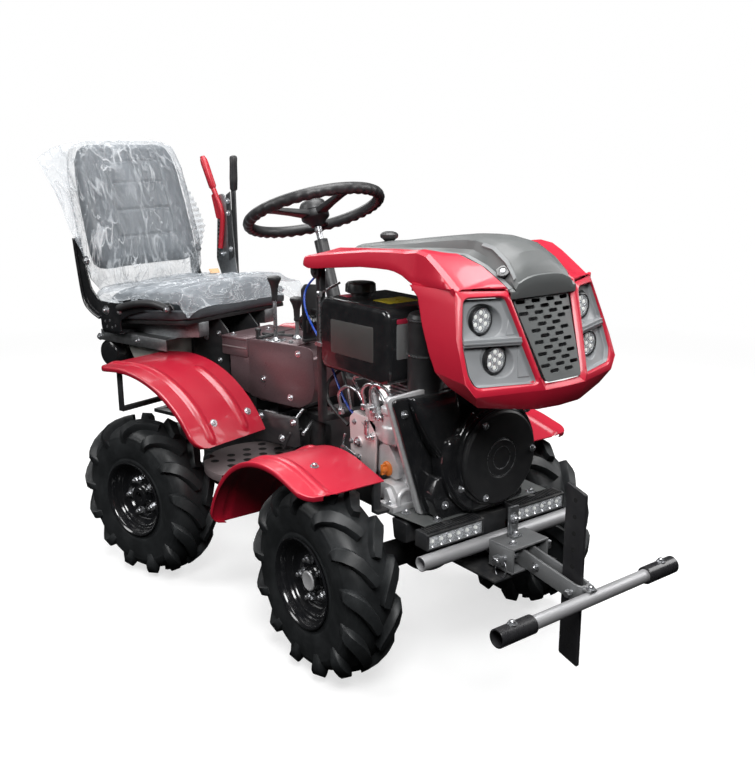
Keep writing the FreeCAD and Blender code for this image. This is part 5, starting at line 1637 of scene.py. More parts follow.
    def _grille(self, bench: Bench) -> None:
        """Makes the perforated grille and bends it to the mask's slope."""
        (wide, top), (narrow, low) = self.grille
        outline = rounded([(-wide - 6, 944), (-narrow - 8, low - 2), (narrow + 8, low - 2), (wide + 6, 944)], 9)
        holes = []
        step_x, step_z = self.hole_step
        for row in range(self.hole_rows):
            z = top - 12 - row * step_z
            reach = narrow + (wide - narrow) * (z - low) / (top - low)
            for column in range(-4, 5):
                x = column * step_x + (step_x / 2 if row % 2 else 0.0)
                if abs(x) + 12 < reach + 8 and low + 6 < z < top - 6:
                    holes.append((x, z))
        drawing = Drawing()
        corners = [drawing.mesh.verts.new((x, z, 0)) for x, z in outline]
        for a, b in zip(corners, corners[1:] + corners[:1]):
            drawing.mesh.edges.new((a, b))
        for x, z in holes:
            drawing.mesh.verts.new((x, z, 0))
        length, width = self.hole_size
        piece = bench.put("grille_sheet", drawing, GREY, "front_grille", angle=30.0, tree=(
            bench.shop.trees.perforated, {"Length": length, "Width": width, "Sheet": self.sheet}))
        place = bench.shop.places[bench.half]
        back = place.inverted()
        for vert in piece.data.vertices:
            flat = back @ vert.co
            bow = self.bow * (1 - (flat.x / 90) ** 2)
            y = self.slope(flat.y) - bow - flat.z
            vert.co = place @ Vector((flat.x, y, flat.y))
        piece.data.update()
        shade(piece.data, 30.0)


# ------------------------------------------------------------------ engine
@dataclass
class Engine:
    """Diesel engine with its fan scroll, tank, air cleaner, silencer and fuel pump."""

    shaft: tuple[float, float] = (0.0, 545.0)
    plate_top: float = 412.0
    scroll_front: float = -722.0
    scroll_radius: float = 126.0
    scroll_growth: float = 26.0
    scroll_steps: int = 56
    cover_radius: float = 112.0
    tank_low: Point = (-190, -564, 701)
    tank_high: Point = (10, -284, 881)
    cap_place: tuple[float, float] = (-112, -352)
    cap_lobes: int = 12
    cap_lobe_depth: float = 1.6

    def build(self, shop: Workshop) -> None:
        """Makes all of the engine's pieces."""
        bench = Bench(shop, Half.FRONT, "front_half")
        self._case(bench)
        self._scroll(bench)
        self._cover(bench)
        self._tank(bench)
        self._cleaner(bench)
        self._silencer(bench)
        self._pump(bench)

    def _case(self, bench: Bench) -> None:
        """Makes the crankcase, the finned cylinder and the castings on them."""
        low = self.plate_top
        case = Drawing()
        side = [(-640, low), (-640, 640), (-612, 652), (-480, 652), (-462, 600), (-440, 585), (-436, 470),
                (-452, 430), (-436, 424), (-436, low)]
        case.prism(rounded(side, 9), Axis.X, -128, 120)
        case.prism(rounded([(-640, low), (-640, 500), (-600, 520), (-560, 500), (-520, 450), (-500, low)], 12),
                   Axis.X, -145, -120)
        case.lathe((-128, -560, 560), RIGHT, [(0, 0), (0, 62), (6, 62), (8, 59), (8, 48), (5, 45), (5, 20),
                                                   (9, 18), (9, 0)], 40)
        case.lathe((-132, -500, 470), RIGHT, [(0, 0), (0, 26), (12, 24), (14, 12), (14, 0)], 24)
        for y, z, tall in ((-622, 425, 90), (-585, 425, 70), (-470, 440, 150)):
            case.box((-140, y - 4, z), (-126, y + 4, z + tall))
        bench.put("crankcase", case, CAST, "engine_block", bevel=2.5)
        flange = Drawing()
        edge = [(-168, low + 2), (-262, 706), (-150, 712), (60, 712), (140, 640), (150, low + 2)]
        flange.prism(rounded(edge, 14), Axis.Y, -652, -641)
        bench.put("crankcase_flange", flange, CAST, bevel=1.5)
        fin = Drawing().prism(rounded([(-118, -620), (112, -620), (112, -462), (-118, -462)], 22), Axis.Z, 652, 655.5)
        bench.row("cylinder_fins", fin, CAST, 5, (0, 0, 9))
        core = Drawing().prism(rounded([(-96, -606), (92, -606), (92, -476), (-96, -476)], 30), Axis.Z, 640, 700)
        bench.put("cylinder", core, CAST, bevel=2)
        ring = [(-137, -560 + 54 * math.cos(a * math.pi / 3), 560 + 54 * math.sin(a * math.pi / 3)) for a in range(6)]
        bench.bolts(ring, RIGHT, 10.0)
        bench.bolts([(-142, -622, 432), (-142, -530, 432), (-128, -455, 600), (-128, -455, 520)], RIGHT, 12.0)
        foot = Drawing().box((-206, -604, low + 1), (-126, -548, low + 15))
        foot.prism(rounded([(-598, low + 12), (-592, 450), (-576, 466), (-524, 468), (-512, low + 12)], 8),
                   Axis.X, -184, -140)
        foot.prism(rounded([(-590, low + 12), (-566, 460), (-556, 460), (-556, low + 12)], 4), Axis.X, -196, -182)
        foot.wire(spline([(-188, -602, low + 14), (-186, -600, 450), (-164, -598, 459), (-142, -602, 449),
                          (-140, -604, low + 14)], 8), 6.0, 10)
        bench.put("crankcase_foot", foot, CAST, bevel=1.8)
        bench.bolts([(-196, -578, low + 15), (-134, -590, low + 15)], UP, 12.0)

    def _scroll(self, bench: Bench) -> None:
        """Makes the black fan scroll with its back plate and its air duct."""
        x0, z0 = self.shaft
        back = Drawing()
        edge = [(-160, 414), (-255, 704), (-150, 704), (-40, 712), (60, 700), (158, 610), (166, 500), (120, 416)]
        back.prism(rounded(edge, 18), Axis.Y, -664, -652.5)
        bench.put("scroll_back", back, BLACK, bevel=4, segments=3)
        snail = []
        for step in range(self.scroll_steps):
            turn = step / self.scroll_steps
            radius = self.scroll_radius + self.scroll_growth * turn
            angle = math.radians(150 - 360 * turn)
            snail.append((x0 + radius * math.cos(angle), max(z0 + radius * math.sin(angle), self.plate_top + 4)))
        scroll = Drawing().prism(snail, Axis.Y, self.scroll_front, -663)
        bench.put("scroll", scroll, BLACK, "blower_housing", bevel=16, segments=5, angle=26)
        step = Drawing().lathe((x0, -716, z0), AHEAD, [(0, 0), (0, 119), (7, 119), (12, 116.5), (14, 112),
                                                            (14, 90), (14, 0)], 64)
        bench.put("scroll_step", step, BLACK, angle=40)
        duct = Drawing()
        rows = []
        for z, left, right, front in ((560, -150, -60, -706), (600, -176, -70, -704), (650, -200, -78, -698),
                                      (690, -214, -84, -690), (706, -214, -86, -684)):
            outline = rounded([(left, -660), (left, front), (right, front), (right, -660)], 18)
            rows.append([(x, y, z) for x, y in outline])
        duct.skin(rows, around=True, caps=True)
        foot = rounded([(-150, 414), (-172, 470), (-150, 520), (-96, 470), (110, 470), (120, 414)], 14)
        duct.prism(foot, Axis.Y, -700, -660)
        bench.put("scroll_duct", duct, BLACK, bevel=4, segments=3, angle=30)
        bench.bolts([(-222, -664, 668), (-150, -664, 470), (140, -664, 560), (118, -664, 640)], AHEAD, 12.0)
        bench.bolts([(-102, -722, 486), (-132, -700, 446), (100, -722, 640)], AHEAD, 12.0)

    def _cover(self, bench: Bench) -> None:
        """Makes the round cover of the fan, with a plain raised ring at its middle."""
        x0, z0 = self.shaft
        rim_sheen = self.cover_radius
        profile = [(0, 0), (0, rim_sheen - 6), (4, rim_sheen - 1), (10, rim_sheen), (15, rim_sheen - 1.5), (18.5, rim_sheen - 6), (19.5, rim_sheen - 12),
                   (19.8, 48), (18.8, 46.5), (18.8, 44), (20.2, 42), (20.2, 28), (19, 26.5), (19, 0)]
        cover = Drawing().lathe((x0, -725, z0), AHEAD, profile, 96)
        bench.put("fan_disc", cover, PLASTIC, "fan_cover", angle=24)
        mark = Drawing()
        for radius in (45.2, 27.0):
            mark.lathe((x0, -744.2, z0), AHEAD, [(0, radius - 1.4), (0.6, radius - 1.2), (0.6, radius),
                                                      (0, radius + 0.2)], 72, closed=True)
        bench.put("fan_disc_rings", mark, ZINC, angle=40)
        bench.bolts([(x0 + 100 * math.cos(a), -744.6, z0 + 100 * math.sin(a))
                     for a in (math.radians(122), math.radians(2), math.radians(242))], AHEAD, 11.0)

    def _tank(self, bench: Bench) -> None:
        """Makes the fuel tank, its filler cap and its blank labels."""
        low, high = Vector(self.tank_low), Vector(self.tank_high)
        outline = [(low.y, low.z), (low.y, high.z), (high.y, high.z), (high.y, low.z)]
        body = Drawing().prism(rounded(outline, 30, 9), Axis.X, low.x, high.x)
        bench.put("tank_shell", body, BLACK, "fuel_tank", bevel=13, segments=6, angle=40)
        seam = Drawing().prism(rounded([(y + (6 if y > -400 else -3) * 0.4, z) for y, z in outline], 30, 9), Axis.X,
                               -92, -88)
        bench.put("tank_seam", seam, BLACK, bevel=0.6)
        cap = []
        x0, y0 = self.cap_place
        turns = [math.tau * k / (self.cap_lobes * 4) for k in range(self.cap_lobes * 4)]
        for z, radius in ((881, 24), (889, 24), (890, 33), (893, 37), (911, 36), (915, 33), (916.5, 24), (916.5, 8)):
            deep = self.cap_lobe_depth if 892 < z < 912 else 0.0
            reaches = [radius + deep * math.cos(self.cap_lobes * turn) for turn in turns]
            cap.append([(x0 + r * math.cos(turn), y0 + r * math.sin(turn), z) for r, turn in zip(reaches, turns)])
        bench.put("filler_cap", Drawing().skin(cap, around=True, caps=True), PLASTIC, "tank_cap", bevel=0.7, angle=40)
        for name, finish, turn, corners in (
                ("plate_blank", LABEL_DARK, Axis.X, [(-508, 750), (-508, 834), (-334, 830), (-334, 748)]),
                ("label_front", LABEL_GREY, Axis.Y, [(-166, 764), (-166, 846), (-126, 846), (-126, 764)]),
                ("label_front_band", LABEL_RED, Axis.Y, [(-166, 846.5), (-166, 858), (-126, 858), (-126, 846.5)]),
                ("label_top", YELLOW, Axis.Z, [(-130, -494), (-130, -424), (-38, -424), (-38, -494)]),
                ("label_top_rear", LABEL_RED, Axis.Z, [(-150, -350), (-150, -312), (-112, -312), (-112, -350)])):
            start = {Axis.X: low.x - 0.5, Axis.Y: low.y - 0.5, Axis.Z: high.z}[turn]
            bench.put(name, Drawing().prism(rounded(corners, 5), turn, start, start + 0.5), finish, bevel=0.15)

    def _cleaner(self, bench: Bench) -> None:
        """Makes the upright air cleaner with its clamping rings."""
        profile = [(0, 0), (0, 38), (3, 41), (118, 41), (119, 42.5), (123, 42.5), (124, 41), (198, 41), (199, 42.5),
                   (203, 42.5), (204, 41), (212, 38), (216, 30), (216, 0)]
        body = Drawing().lathe((-128, -622, 664), UP, profile, 56)
        bench.put("air_cleaner_body", body, PLASTIC, "air_cleaner", angle=34)
        rings = Drawing()
        for height in (120.4, 200.4):
            rings.lathe((-128, -622, 664 + height), UP, [(-1.6, 42), (-1.6, 43.4), (1.6, 43.4), (1.6, 42)], 56,
                        closed=True)
        bench.put("air_cleaner_rings", rings, ZINC, angle=30)
        elbow = Drawing().wire(spline([(-118, -622, 706), (-80, -612, 712), (-52, -590, 700), (-44, -560, 690)], 8), 22,
                               24)
        bench.put("air_cleaner_elbow", elbow, CAST)

    def _silencer(self, bench: Bench) -> None:
        """Makes the silencer with its pipe and guard bands."""
        can = Drawing().lathe((116, -562, 760), BACK, [
            (0, 0), (0, 34), (3, 44), (9, 48), (40, 48), (42, 49.5), (46, 49.5), (48, 48), (134, 48), (136, 49.5),
            (140, 49.5), (142, 48), (175, 48), (181, 44), (184, 34), (184, 14), (230, 14), (230, 11), (186, 11),
            (186, 0)], 48)
        can.wire(spline([(116, -450, 662), (116, -450, 690), (116, -452, 730)], 4), 15, 20)
        bench.put("silencer", can, SILENCER, "muffler", angle=34)

    def _pump(self, bench: Bench) -> None:
        """Makes the fuel pump, its pipes, the lever plate and the cable's clip."""
        body = Drawing()
        body.lathe((-162, -540, 560), UP, [(0, 0), (0, 20), (4, 23), (40, 23), (44, 19), (70, 19), (74, 24),
                                                  (88, 24), (92, 18), (108, 16), (108, 0)], 28)
        body.lathe((-160, -470, 600), UP, [(0, 0), (0, 15), (30, 17), (36, 12), (66, 12), (70, 9), (80, 9),
                                                  (80, 0)], 24)
        body.prism(rounded([(-566, 556), (-566, 592), (-450, 640), (-442, 612), (-500, 556)], 8), Axis.X, -168, -140)
        body.prism(rounded([(-560, 470), (-566, 500), (-520, 556), (-486, 540), (-482, 470)], 10), Axis.X, -158, -130)
        bench.put("pump_body", body, CAST, "injection_pump", bevel=1.4)
        plate = Drawing()
        face = [(-366, 588), (-372, 470), (-386, 458), (-452, 440), (-470, 470), (-476, 590), (-452, 602), (-384, 604)]
        plate.prism(rounded([(y - 12, z) for y, z in face], 7), Axis.X, -168, -162)
        plate.prism(rounded([(-480, 590), (-480, 600), (-386, 604), (-386, 592)], 3), Axis.X, -162, -142)
        plate.lathe((-168, -420, 534), RIGHT, [(0, 0), (0, 13), (5, 12), (5, 0)], 24)
        bench.put("lever_plate", plate, PINK_ALLOY, bevel=1.0)
        bench.bolts([(-173, -420, 534)], RIGHT, 15.0)
        bench.bolts([(-168, -386, 528), (-168, -420, 494), (-168, -452, 580), (-168, -400, 580)], RIGHT, 9.0)
        pipes = Drawing()
        for route in ([(-164, -540, 668), (-172, -530, 690), (-180, -500, 696), (-182, -486, 676), (-178, -490, 640)],
                      [(-172, -350, 604), (-176, -346, 640), (-174, -372, 664), (-170, -410, 662), (-166, -430, 640)],
                      [(-166, -440, 630), (-176, -446, 672), (-170, -470, 690), (-166, -500, 672), (-164, -520, 650)],
                      [(-150, -420, 640), (-168, -400, 690), (-150, -440, 700), (-120, -470, 704)]):
            pipes.wire(spline(route, 10), 4.2, 12)
        bench.put("fuel_pipes", pipes, ZINC, angle=50)
        nuts = Drawing()
        for place, axis in (((-166, -438, 622), UP), ((-178, -490, 628), UP), ((-172, -350, 592), UP),
                            ((-162, -470, 680), UP), ((-164, -540, 662), UP), ((-168, -512, 618), RIGHT),
                            ((-168, -474, 560), RIGHT)):
            nuts.lathe(place, axis, [(-2, 0), (-2, 9.5), (11, 9.5), (12.5, 8), (12.5, 5.5), (19, 5.5), (19, 0)], 6)
        bench.put("pipe_nuts", nuts, ZINC, bevel=0.7)
        levers = Drawing()
        levers.rod((-170, -362, 540), (-170, -348, 500), 3, 10)
        levers.rod((-172, -392, 610), (-172, -380, 660), 3, 10)
        levers.prism(rounded([(-404, 484), (-412, 500), (-360, 512), (-346, 504), (-352, 492)], 5), Axis.X, -176, -172)
        levers.prism(rounded([(-458, 558), (-458, 596), (-446, 596), (-446, 558)], 2), Axis.X, -173, -145)
        bench.put("throttle_levers", levers, ZINC, bevel=0.6)
        plug = Drawing().lathe((-150, -521, 490), RIGHT, [(0, 0), (0, 18), (12, 18), (14, 15), (14, 8), (24, 8),
                                                               (26, 5), (26, 0)], 28)
        plug.box((-178, -524, 477), (-164, -518, 503))
        bench.put("oil_plug", plug, ORANGE, bevel=1.0)
        hoses = Drawing()
        for route in ([(-60, -230, 745), (-96, -246, 690), (-110, -276, 650), (-130, -320, 622), (-150, -352, 606)],
                      [(-120, -284, 690), (-150, -262, 650), (-160, -270, 612), (-166, -310, 590), (-160, -360, 560)]):
            hoses.wire(spline(route, 10), 5.0, 12)
        bench.put("fuel_hoses", hoses, PLASTIC, angle=60)
        link = Drawing()
        link.rod((-186, -280, 757), (-186, -281, 886), 3, 12)
        link.lathe((-186, -281, 876), UP, [(0, 0), (0, 6), (3, 7.5), (12, 7.5), (15, 6), (15, 0)], 6)
        link.rod((-186, -281, 884), (-122, -277, 906), 3, 12)
        link.prism(rounded([(-292, 752), (-292, 762), (-262, 762), (-262, 752)], 3), Axis.X, -190, -170)
        bench.put("throttle_link", link, ZINC, angle=34)


# ------------------------------------------------------------------ front end
@dataclass
class FrontEnd:
    """Lamp bars, tubes, hitch bracket, drawbar, depth bar, chassis and axle of the front half."""

    tube_place: tuple[float, float] = (-752.0, 352.0)
    cross_place: tuple[float, float] = (-1024.0, 305.0)
    pin: tuple[float, float] = (-820.0, 338.0)
    slope: float = 9.2
    lamp_reach: float = 135.0
    lamp_cells: int = 6
    lamp_step: float = 26.0
    lamp_fins: int = 20

    def build(self, shop: Workshop) -> None:
        """Makes all the pieces ahead of and below the engine."""
        bench = Bench(shop, Half.FRONT, "front_half")
        self._lamps(bench)
        self._tubes(bench)
        self._hitch(bench)
        for node in ("engine_plate", "front_chassis", "front_axle", "belly_plate", "front_fender_stays", "hood_stays",
                     "steering_column"):
            shop.dress(node, "front_half", STEEL_BLACK, 1.6)
        cap = Drawing().prism(rounded([(-196, -706), (-212, -562), (206, -562), (196, -706)], 4), Axis.Z, 410.5, 413)
        bench.put("plate_cap", cap, BRACKET_GREY, bevel=0.6)
        under = Drawing().pair(rounded([(-650, 352), (-650, 402), (-596, 402), (-604, 352)], 6), 150.0, 204.0)
        bench.put("plate_brackets", under, STEEL_BLACK, bevel=1.2)
        panel = Drawing().prism(rounded([(-56, 706), (-60, 850), (-48, 864), (4, 858), (4, 706)], 6), Axis.Y, 2, 6)
        panel.prism(rounded([(-58, 700), (-58, 708), (4, 708), (4, 700)], 2), Axis.Y, -10, 6)
        panel.box((-30, -70, 786), (-6, 3, 792))
        panel.box((-48, -8, 726), (-24, 3, 762))
        bench.put("switch_panel", panel, PLASTIC, bevel=1.0)
        plate = [(s * x, y, 413) for s in (-1, 1) for x, y in ((150, -696), (180, -620))]
        bench.bolts(plate, UP, 14.0)

    def _lamps(self, bench: Bench) -> None:
        """Makes the two lamp bars: finned housings, mirrors, lit cells and lenses."""
        for label, side in SIDES:
            middle = side * self.lamp_reach
            case = Drawing()
            face = [(-744, 371), (-744, 408), (-738, 411), (-702, 411), (-700, 372)]
            case.prism(rounded(face, 2.5), Axis.X, middle - 85, middle - 79)
            case.prism(rounded(face, 2.5), Axis.X, middle + 79, middle + 85)
            case.box((middle - 84, -736, 371), (middle + 84, -702, 404))
            case.box((middle - 84, -743, 371), (middle + 84, -735, 375))
            case.box((middle - 84, -743, 403), (middle + 84, -735, 408))
            nodes = ["light_bars"] if side < 0 else []
            bench.put(f"bar_lamp_case_{label}", case, STEEL_BLACK, *nodes, bevel=0.9)
            fin = Drawing().box((middle - 78, -734, 404), (middle - 75.5, -703, 411))
            bench.row(f"bar_lamp_fins_{label}", fin, STEEL_BLACK, self.lamp_fins, (8.1, 0, 0), bevel=0.4)
            places = [middle + (k - (self.lamp_cells - 1) / 2) * self.lamp_step for k in range(self.lamp_cells)]
            cells = Drawing()
            for x in places:
                cells.lathe((x, -736, 389), AHEAD, [(0.5, 3.2), (1, 5), (3.5, 9), (6.5, 12.4)], 20)
            bench.put(f"bar_lamp_bowls_{label}", cells, REFLECTOR, angle=60, outward=False)
            back = Drawing().box((middle - 79, -736.8, 375.5), (middle + 79, -735.6, 402.5))
            bench.put(f"bar_lamp_mirror_{label}", back, REFLECTOR, bevel=0.3)
            bench.chips(f"bar_lamp_chips_{label}", [(x, -738.4, 389) for x in places], 0.0042)
            lens = Drawing().box((middle - 79, -743.4, 375.2), (middle + 79, -742, 402.8))
            bench.put(f"bar_lamp_lens_{label}", lens, LENS, bevel=0.5)
            bracket = Drawing().prism(rounded([(-716, 366), (-716, 412), (-696, 412), (-696, 366)], 3), Axis.X,
                                      middle - 12, middle + 12)
            bench.put(f"bar_lamp_bracket_{label}", bracket, STEEL_BLACK, bevel=1)

    def _tubes(self, bench: Bench) -> None:
        """Makes the front tube, the cross tube and its two sleeves."""
        y, z = self.tube_place
        bench.put("front_tube", Drawing().pipe((-246, y, z), (246, y, z), 17, 14.5, 40), SATIN_TUBE, "bumper_tube",
                  bevel=0.5)
        y, z = self.cross_place
        bench.put("t_bar", Drawing().pipe((-210, y, z), (210, y, z), 15, 12.5, 40), SATIN_TUBE, "cross_tube", bevel=0.4)
        sleeves = Drawing()
        for side in (-1, 1):
            profile = [(180, 15.2), (180, 19), (181, 20), (277, 20), (278, 19.2), (278, 16.4), (277, 16), (210, 16),
                       (210, 15.2)]
            sleeves.lathe((0, y, z), (side, 0, 0), profile, 40, closed=True)
        bench.put("tube_sleeves", sleeves, SLEEVE, "bar_sleeves", angle=32)
        bench.bolts([(-236, y, z + 19), (236, y, z + 19)], UP, 13.0)

    def _hitch(self, bench: Bench) -> None:
        """Makes the channel bracket, its strap, pins and ring, the folded drawbar and the depth bar."""
        rear = self.tube_place[0] - 17.3
        bracket = Drawing()
        bracket.box((-57, -846, 362), (57, rear, 368))
        bracket.box((-57, -846, 306), (57, rear, 312))
        bracket.box((-57, -846, 311), (-51, rear, 363))
        bracket.box((51, -846, 311), (57, rear, 363))
        bracket.box((-56, rear - 6, 310), (56, rear, 364))
        bracket.box((-30, rear, 316), (30, -716, 334))
        bench.put("hitch_channel", bracket, HITCH_GREY, "hitch_bracket", bevel=1.6, segments=3)
        strap = Drawing()
        for x0, x1, z0, z1 in ((-15, -6, 366, 440), (6, 15, 366, 440), (-7, 7, 366, 396), (-7, 7, 424, 440)):
            strap.box((x0, -790, z0), (x1, -784, z1))
        strap.prism(rounded([(-15, -806), (15, -806), (15, -784), (-15, -784)], 4), Axis.Z, 368, 373)
        bench.put("hitch_strap", strap, GALVANISED, bevel=0.8)
        bench.bolts([(0, -790, 412)], AHEAD, 15.0)
        bench.bolts([(0, -798, 373), (-34, -822, 368)], UP, 13.0)
        y, z = self.pin
        pins = Drawing()
        pins.rod((-80, y, z), (80, y, z), 7, 24, 1.5)
        pins.rod((-88, y, z), (-70, y, z), 10, 24, 2)
        for side in (-1, 1):
            pins.box((side * 76 - 9, y - 10, z - 10), (side * 76 + 9, y + 10, z + 10))
        turn = Matrix.Translation((0, y, z)) @ Matrix.Rotation(math.radians(self.slope), 4, "X")
        front_pin = Drawing().rod((-36, -168, 0), (36, -168, 0), 5, 20, 1)
        front_pin.rod((-38, -168, 0), (-26, -168, 0), 9, 6, 1)
        front_pin.rod((26, -168, 0), (38, -168, 0), 9, 6, 1)
        pins.add(front_pin, turn)
        bench.put("hitch_pins_detail", pins, ZINC, "hitch_pins", bevel=1.2)
        ring = [(-68 + 3 * math.sin(a), y + 17 * math.cos(a), z - 22 + 20 * math.sin(a))
                for a in (k * math.pi / 14 for k in range(28))]
        bench.put("hitch_ring", Drawing().wire(ring + ring[:1], 1.6, 8), ZINC, angle=60)
        loop = Drawing()
        inner, wall, reach = 13.0, 6.0, 172.0
        fold = [(inner + wall / 2) * Vector((math.cos(a), -math.sin(a), 0)) for a in
                (math.radians(q) for q in range(0, 181, 12))]
        path = [Vector((inner + wall / 2, 16, 0))] + [p + Vector((0, -reach, 0)) for p in fold]
        path.append(Vector((-inner - wall / 2, 16, 0)))
        deep = 20.5
        section = [(-wall / 2, -deep), (wall / 2, -deep), (wall / 2, deep), (-wall / 2, deep)]
        loop.sweep(path, section, up=UP)
        bench.put("drawbar_loop", Drawing().add(loop, turn), HITCH_GREY, "drawbar", bevel=1.2, angle=36)
        bench.bolts([turn @ Vector((0, -206, 0))], (0, -1, 0.16), 15.0)
        bench.bolts([turn @ Vector((-19, -60, 0))], RIGHT, 13.0)
        bench.put("drawbar_clamp", Drawing().box((-11, -1030, 320), (11, -1000, 326)), HITCH_GREY, bevel=1)
        bench.bolts([(0, -1022, 326)], UP, 13.0)
        outline = rounded([(-944, 144), (-998, 130), (-998, 530), (-944, 546)], 5)
        bar = Drawing().prism(outline, Axis.X, -4, 4)
        bench.put("depth_bar_plate", bar, HITCH_BLACK, "depth_bar", bevel=1.0)
        # Painted shade: the bar's holes are dark discs through the plate.
        holes = Drawing()
        for z in range(170, 520, 38):
            if abs(z - 315) > 20:
                holes.disc((-4.2, -971, z), LEFT, 5.2, 8.4, 20)
        bench.put("depth_bar_holes", holes, DARK_HOLE, angle=30)


# ------------------------------------------------------------------ rear half
@dataclass
class Deck:
    """Sheet cover, foot plates, pedals, levers and what stands round them on the rear half."""

    foot_centre: tuple[float, float] = (178.0, 68.0)
    foot_radius: float = 168.0
    foot_height: float = 375.0
    lever_side: float = 262.0
    lever_holes: int = 16
    hole_step: tuple[float, float] = (64.0, 33.0)
    hole_radius: float = 12.0

    def build(self, shop: Workshop) -> None:
        """Makes all of the deck's pieces."""
        bench = Bench(shop, Half.REAR, "rear_half")
        for node in ("rear_chassis", "rear_axle", "rear_fender_stays", "rear_hitch"):
            shop.dress(node, "rear_half", STEEL_BLACK, 1.6)
        shop.dress("foot_plates", "rear_half", STEP_GREY, 0.8)
        self._cover(bench)
        self._foot_holes(bench)
        self._pedals(bench)
        self._shift_levers(bench)
        self._lift_levers(bench)
        self._horn(bench)
        self._under_seat(bench)

    def _cover(self, bench: Bench) -> None:
        """Makes the folded sheet cover with its side panels."""
        body = [(-20, 562), (-20, 656), (22, 690), (269, 690), (269, 552), (150, 518), (0, 518)]
        inner = Drawing().prism(rounded(body, 8), Axis.X, -98, 98)
        bench.put("cover_body", inner, BROWN, "transmission_cover", bevel=2.0, segments=3)
        front = [(190, 699), (190, 527), (60, 520), (-4, 519), (-50, 545), (-62, 590), (-56, 690), (-40, 699)]
        rear = [(297, 694), (297, 640), (192, 640), (192, 694)]
        panels = Drawing().pair(rounded(front, 16, 7), 98.5, 101.5).pair(rounded(rear, 5), 98.5, 101.5)
        panels.box((-101, 24, 690), (101, 190, 693))
        panels.prism([(193, 690), (193, 696), (297, 696), (297, 690)], Axis.X, -104, 104)
        bench.put("cover_panels", panels, BROWN, bevel=0.9)
        lip = Drawing().prism([(196, 664), (196, 668), (294, 668), (294, 664)], Axis.X, -105, -100)
        bench.put("cover_lip", lip, STEP_GREY, bevel=0.8)
        for side in (-1, 1):
            x = side * 101.5
            bench.bolts([(x, 133, 585), (x, -2, 676), (x, 30, 545)], (side, 0, 0), 12.0)
        bench.bolts([(-60, 60, 693), (60, 60, 693), (-76, 160, 693), (40, 240, 696), (-80, 270, 696)], UP, 12.0)

    def _foot_holes(self, bench: Bench) -> None:
        """Makes the staggered slots of the foot plates, as dark inlays of painted shade with a raised edge."""
        x0, y0 = self.foot_centre
        across, along = self.hole_step
        reach = self.hole_radius
        hole = [(-2.9, 0), (-2.9, reach), (0.35, reach), (0.35, reach - 1), (0.2, reach - 1.6), (0.2, 0)]
        for label, side in SIDES:
            holes = Drawing()
            for row in range(-4, 5):
                for column in range(-3, 4):
                    x = column * across + (across / 2 if row % 2 else 0.0)
                    y = row * along
                    inside = math.hypot(x, y) <= self.foot_radius - 30 and -20 <= y + y0 <= 172
                    if inside and x0 + x * side >= 78:
                        holes.lathe((side * x0 + x, y0 + y, self.foot_height), UP, hole, 24)
            bench.put(f"foot_holes_{label}", holes, DARK_HOLE, angle=40)

    def _pedals(self, bench: Bench) -> None:
        """Makes the upright plates, the pedals and their linkage."""
        bench.shop.dress("pedal_brackets", "rear_half", STEEL_BLACK, 1.0)
        for label, side in SIDES:
            pad = Drawing()
            outline = rounded([(-26, 0), (26, 0), (30, 62), (-30, 62)], 9)
            tilt = Matrix.Translation((side * 128, -18, 462)) @ Matrix.Rotation(math.radians(-62), 4, "X")
            pad.prism(outline, Axis.Z, 0, 7)
            for k in range(6):
                pad.box((-24, 6 + k * 9.5, 6), (24, 10 + k * 9.5, 10))
            bench.put(f"pedal_{label}", Drawing().add(pad, tilt), PLASTIC, bevel=0.9)
            arm = Drawing().wire(spline([(side * 128, -8, 466), (side * 120, 22, 452), (side * 96, 50, 446),
                                         (side * 60, 70, 440)], 8), 6.5, 14)
            bench.put(f"pedal_arm_{label}", arm, STEEL_BLACK, angle=60)
        links = Drawing()
        links.rod((-132, 6, 470), (-104, -20, 520), 4.5, 12)
        links.rod((-120, -30, 452), (-60, -12, 470), 5, 12)
        links.lathe((-118, 0, 486), RIGHT, [(0, 0), (0, 13), (10, 13), (12, 10), (12, 0)], 20)
        links.lathe((-128, 40, 470), RIGHT, [(0, 0), (0, 10), (14, 10), (16, 7), (16, 0)], 20)
        links.prism(rounded([(30, 462), (30, 478), (92, 486), (96, 470)], 5), Axis.X, -140, -134)
        for step in range(9):
            links.lathe((-132, 60 + step * 5.0, 498), BACK, [(-1.2, 5), (-1.2, 7), (1.2, 7), (1.2, 5)], 14,
                        closed=True)
        bench.put("pedal_links", links, ZINC, bevel=0.5)
        bench.bolts([(-152, 100, 492), (-152, 20, 440), (-152, -24, 492)], RIGHT, 13.0)

    def _shift_levers(self, bench: Bench) -> None:
        """Makes the shift levers with their flared knobs, gates and rods."""
        metal, knobs = Drawing(), Drawing()
        for x, y, top in ((-60, 118, 880), (0, 88, 815)):
            metal.lathe((x, y, 692), UP, [(0, 0), (0, 16), (5, 15), (9, 9), (12, 6), (70, 5.5),
                                                 (top - 760, 5.5), (top - 760, 0)], 20)
            profile = [(0, 0), (0, 8.5), (6, 9.5), (10, 8.6), (34, 10), (46, 13), (55, 17), (60, 19.5), (64, 20),
                       (68, 18.6), (70, 14), (70.5, 0)]
            knobs.lathe((x, y, top - 70), UP, profile, 28)
        metal.box((-84, 94, 692), (-36, 142, 694))
        for x, y in ((-78, 100), (-42, 100), (-78, 136), (-42, 136)):
            metal.disc((x, y, 694), UP, 5, 4, 6)
        bench.put("shift_rods", metal, ZINC, "gear_levers", bevel=0.4)
        bench.put("shift_knobs", knobs, PLASTIC, angle=36)
        links = Drawing()
        links.rod((-96, 150, 703), (10, 150, 703), 5, 12)
        links.rod((-40, 190, 702), (-40, 70, 710), 4, 12)
        links.lathe((-72, 176, 693), UP, [(0, 0), (0, 7), (22, 7), (24, 9), (30, 9), (32, 6), (32, 0)], 16)
        bench.put("gate_rods", links, STEEL_BLACK, bevel=0.6)

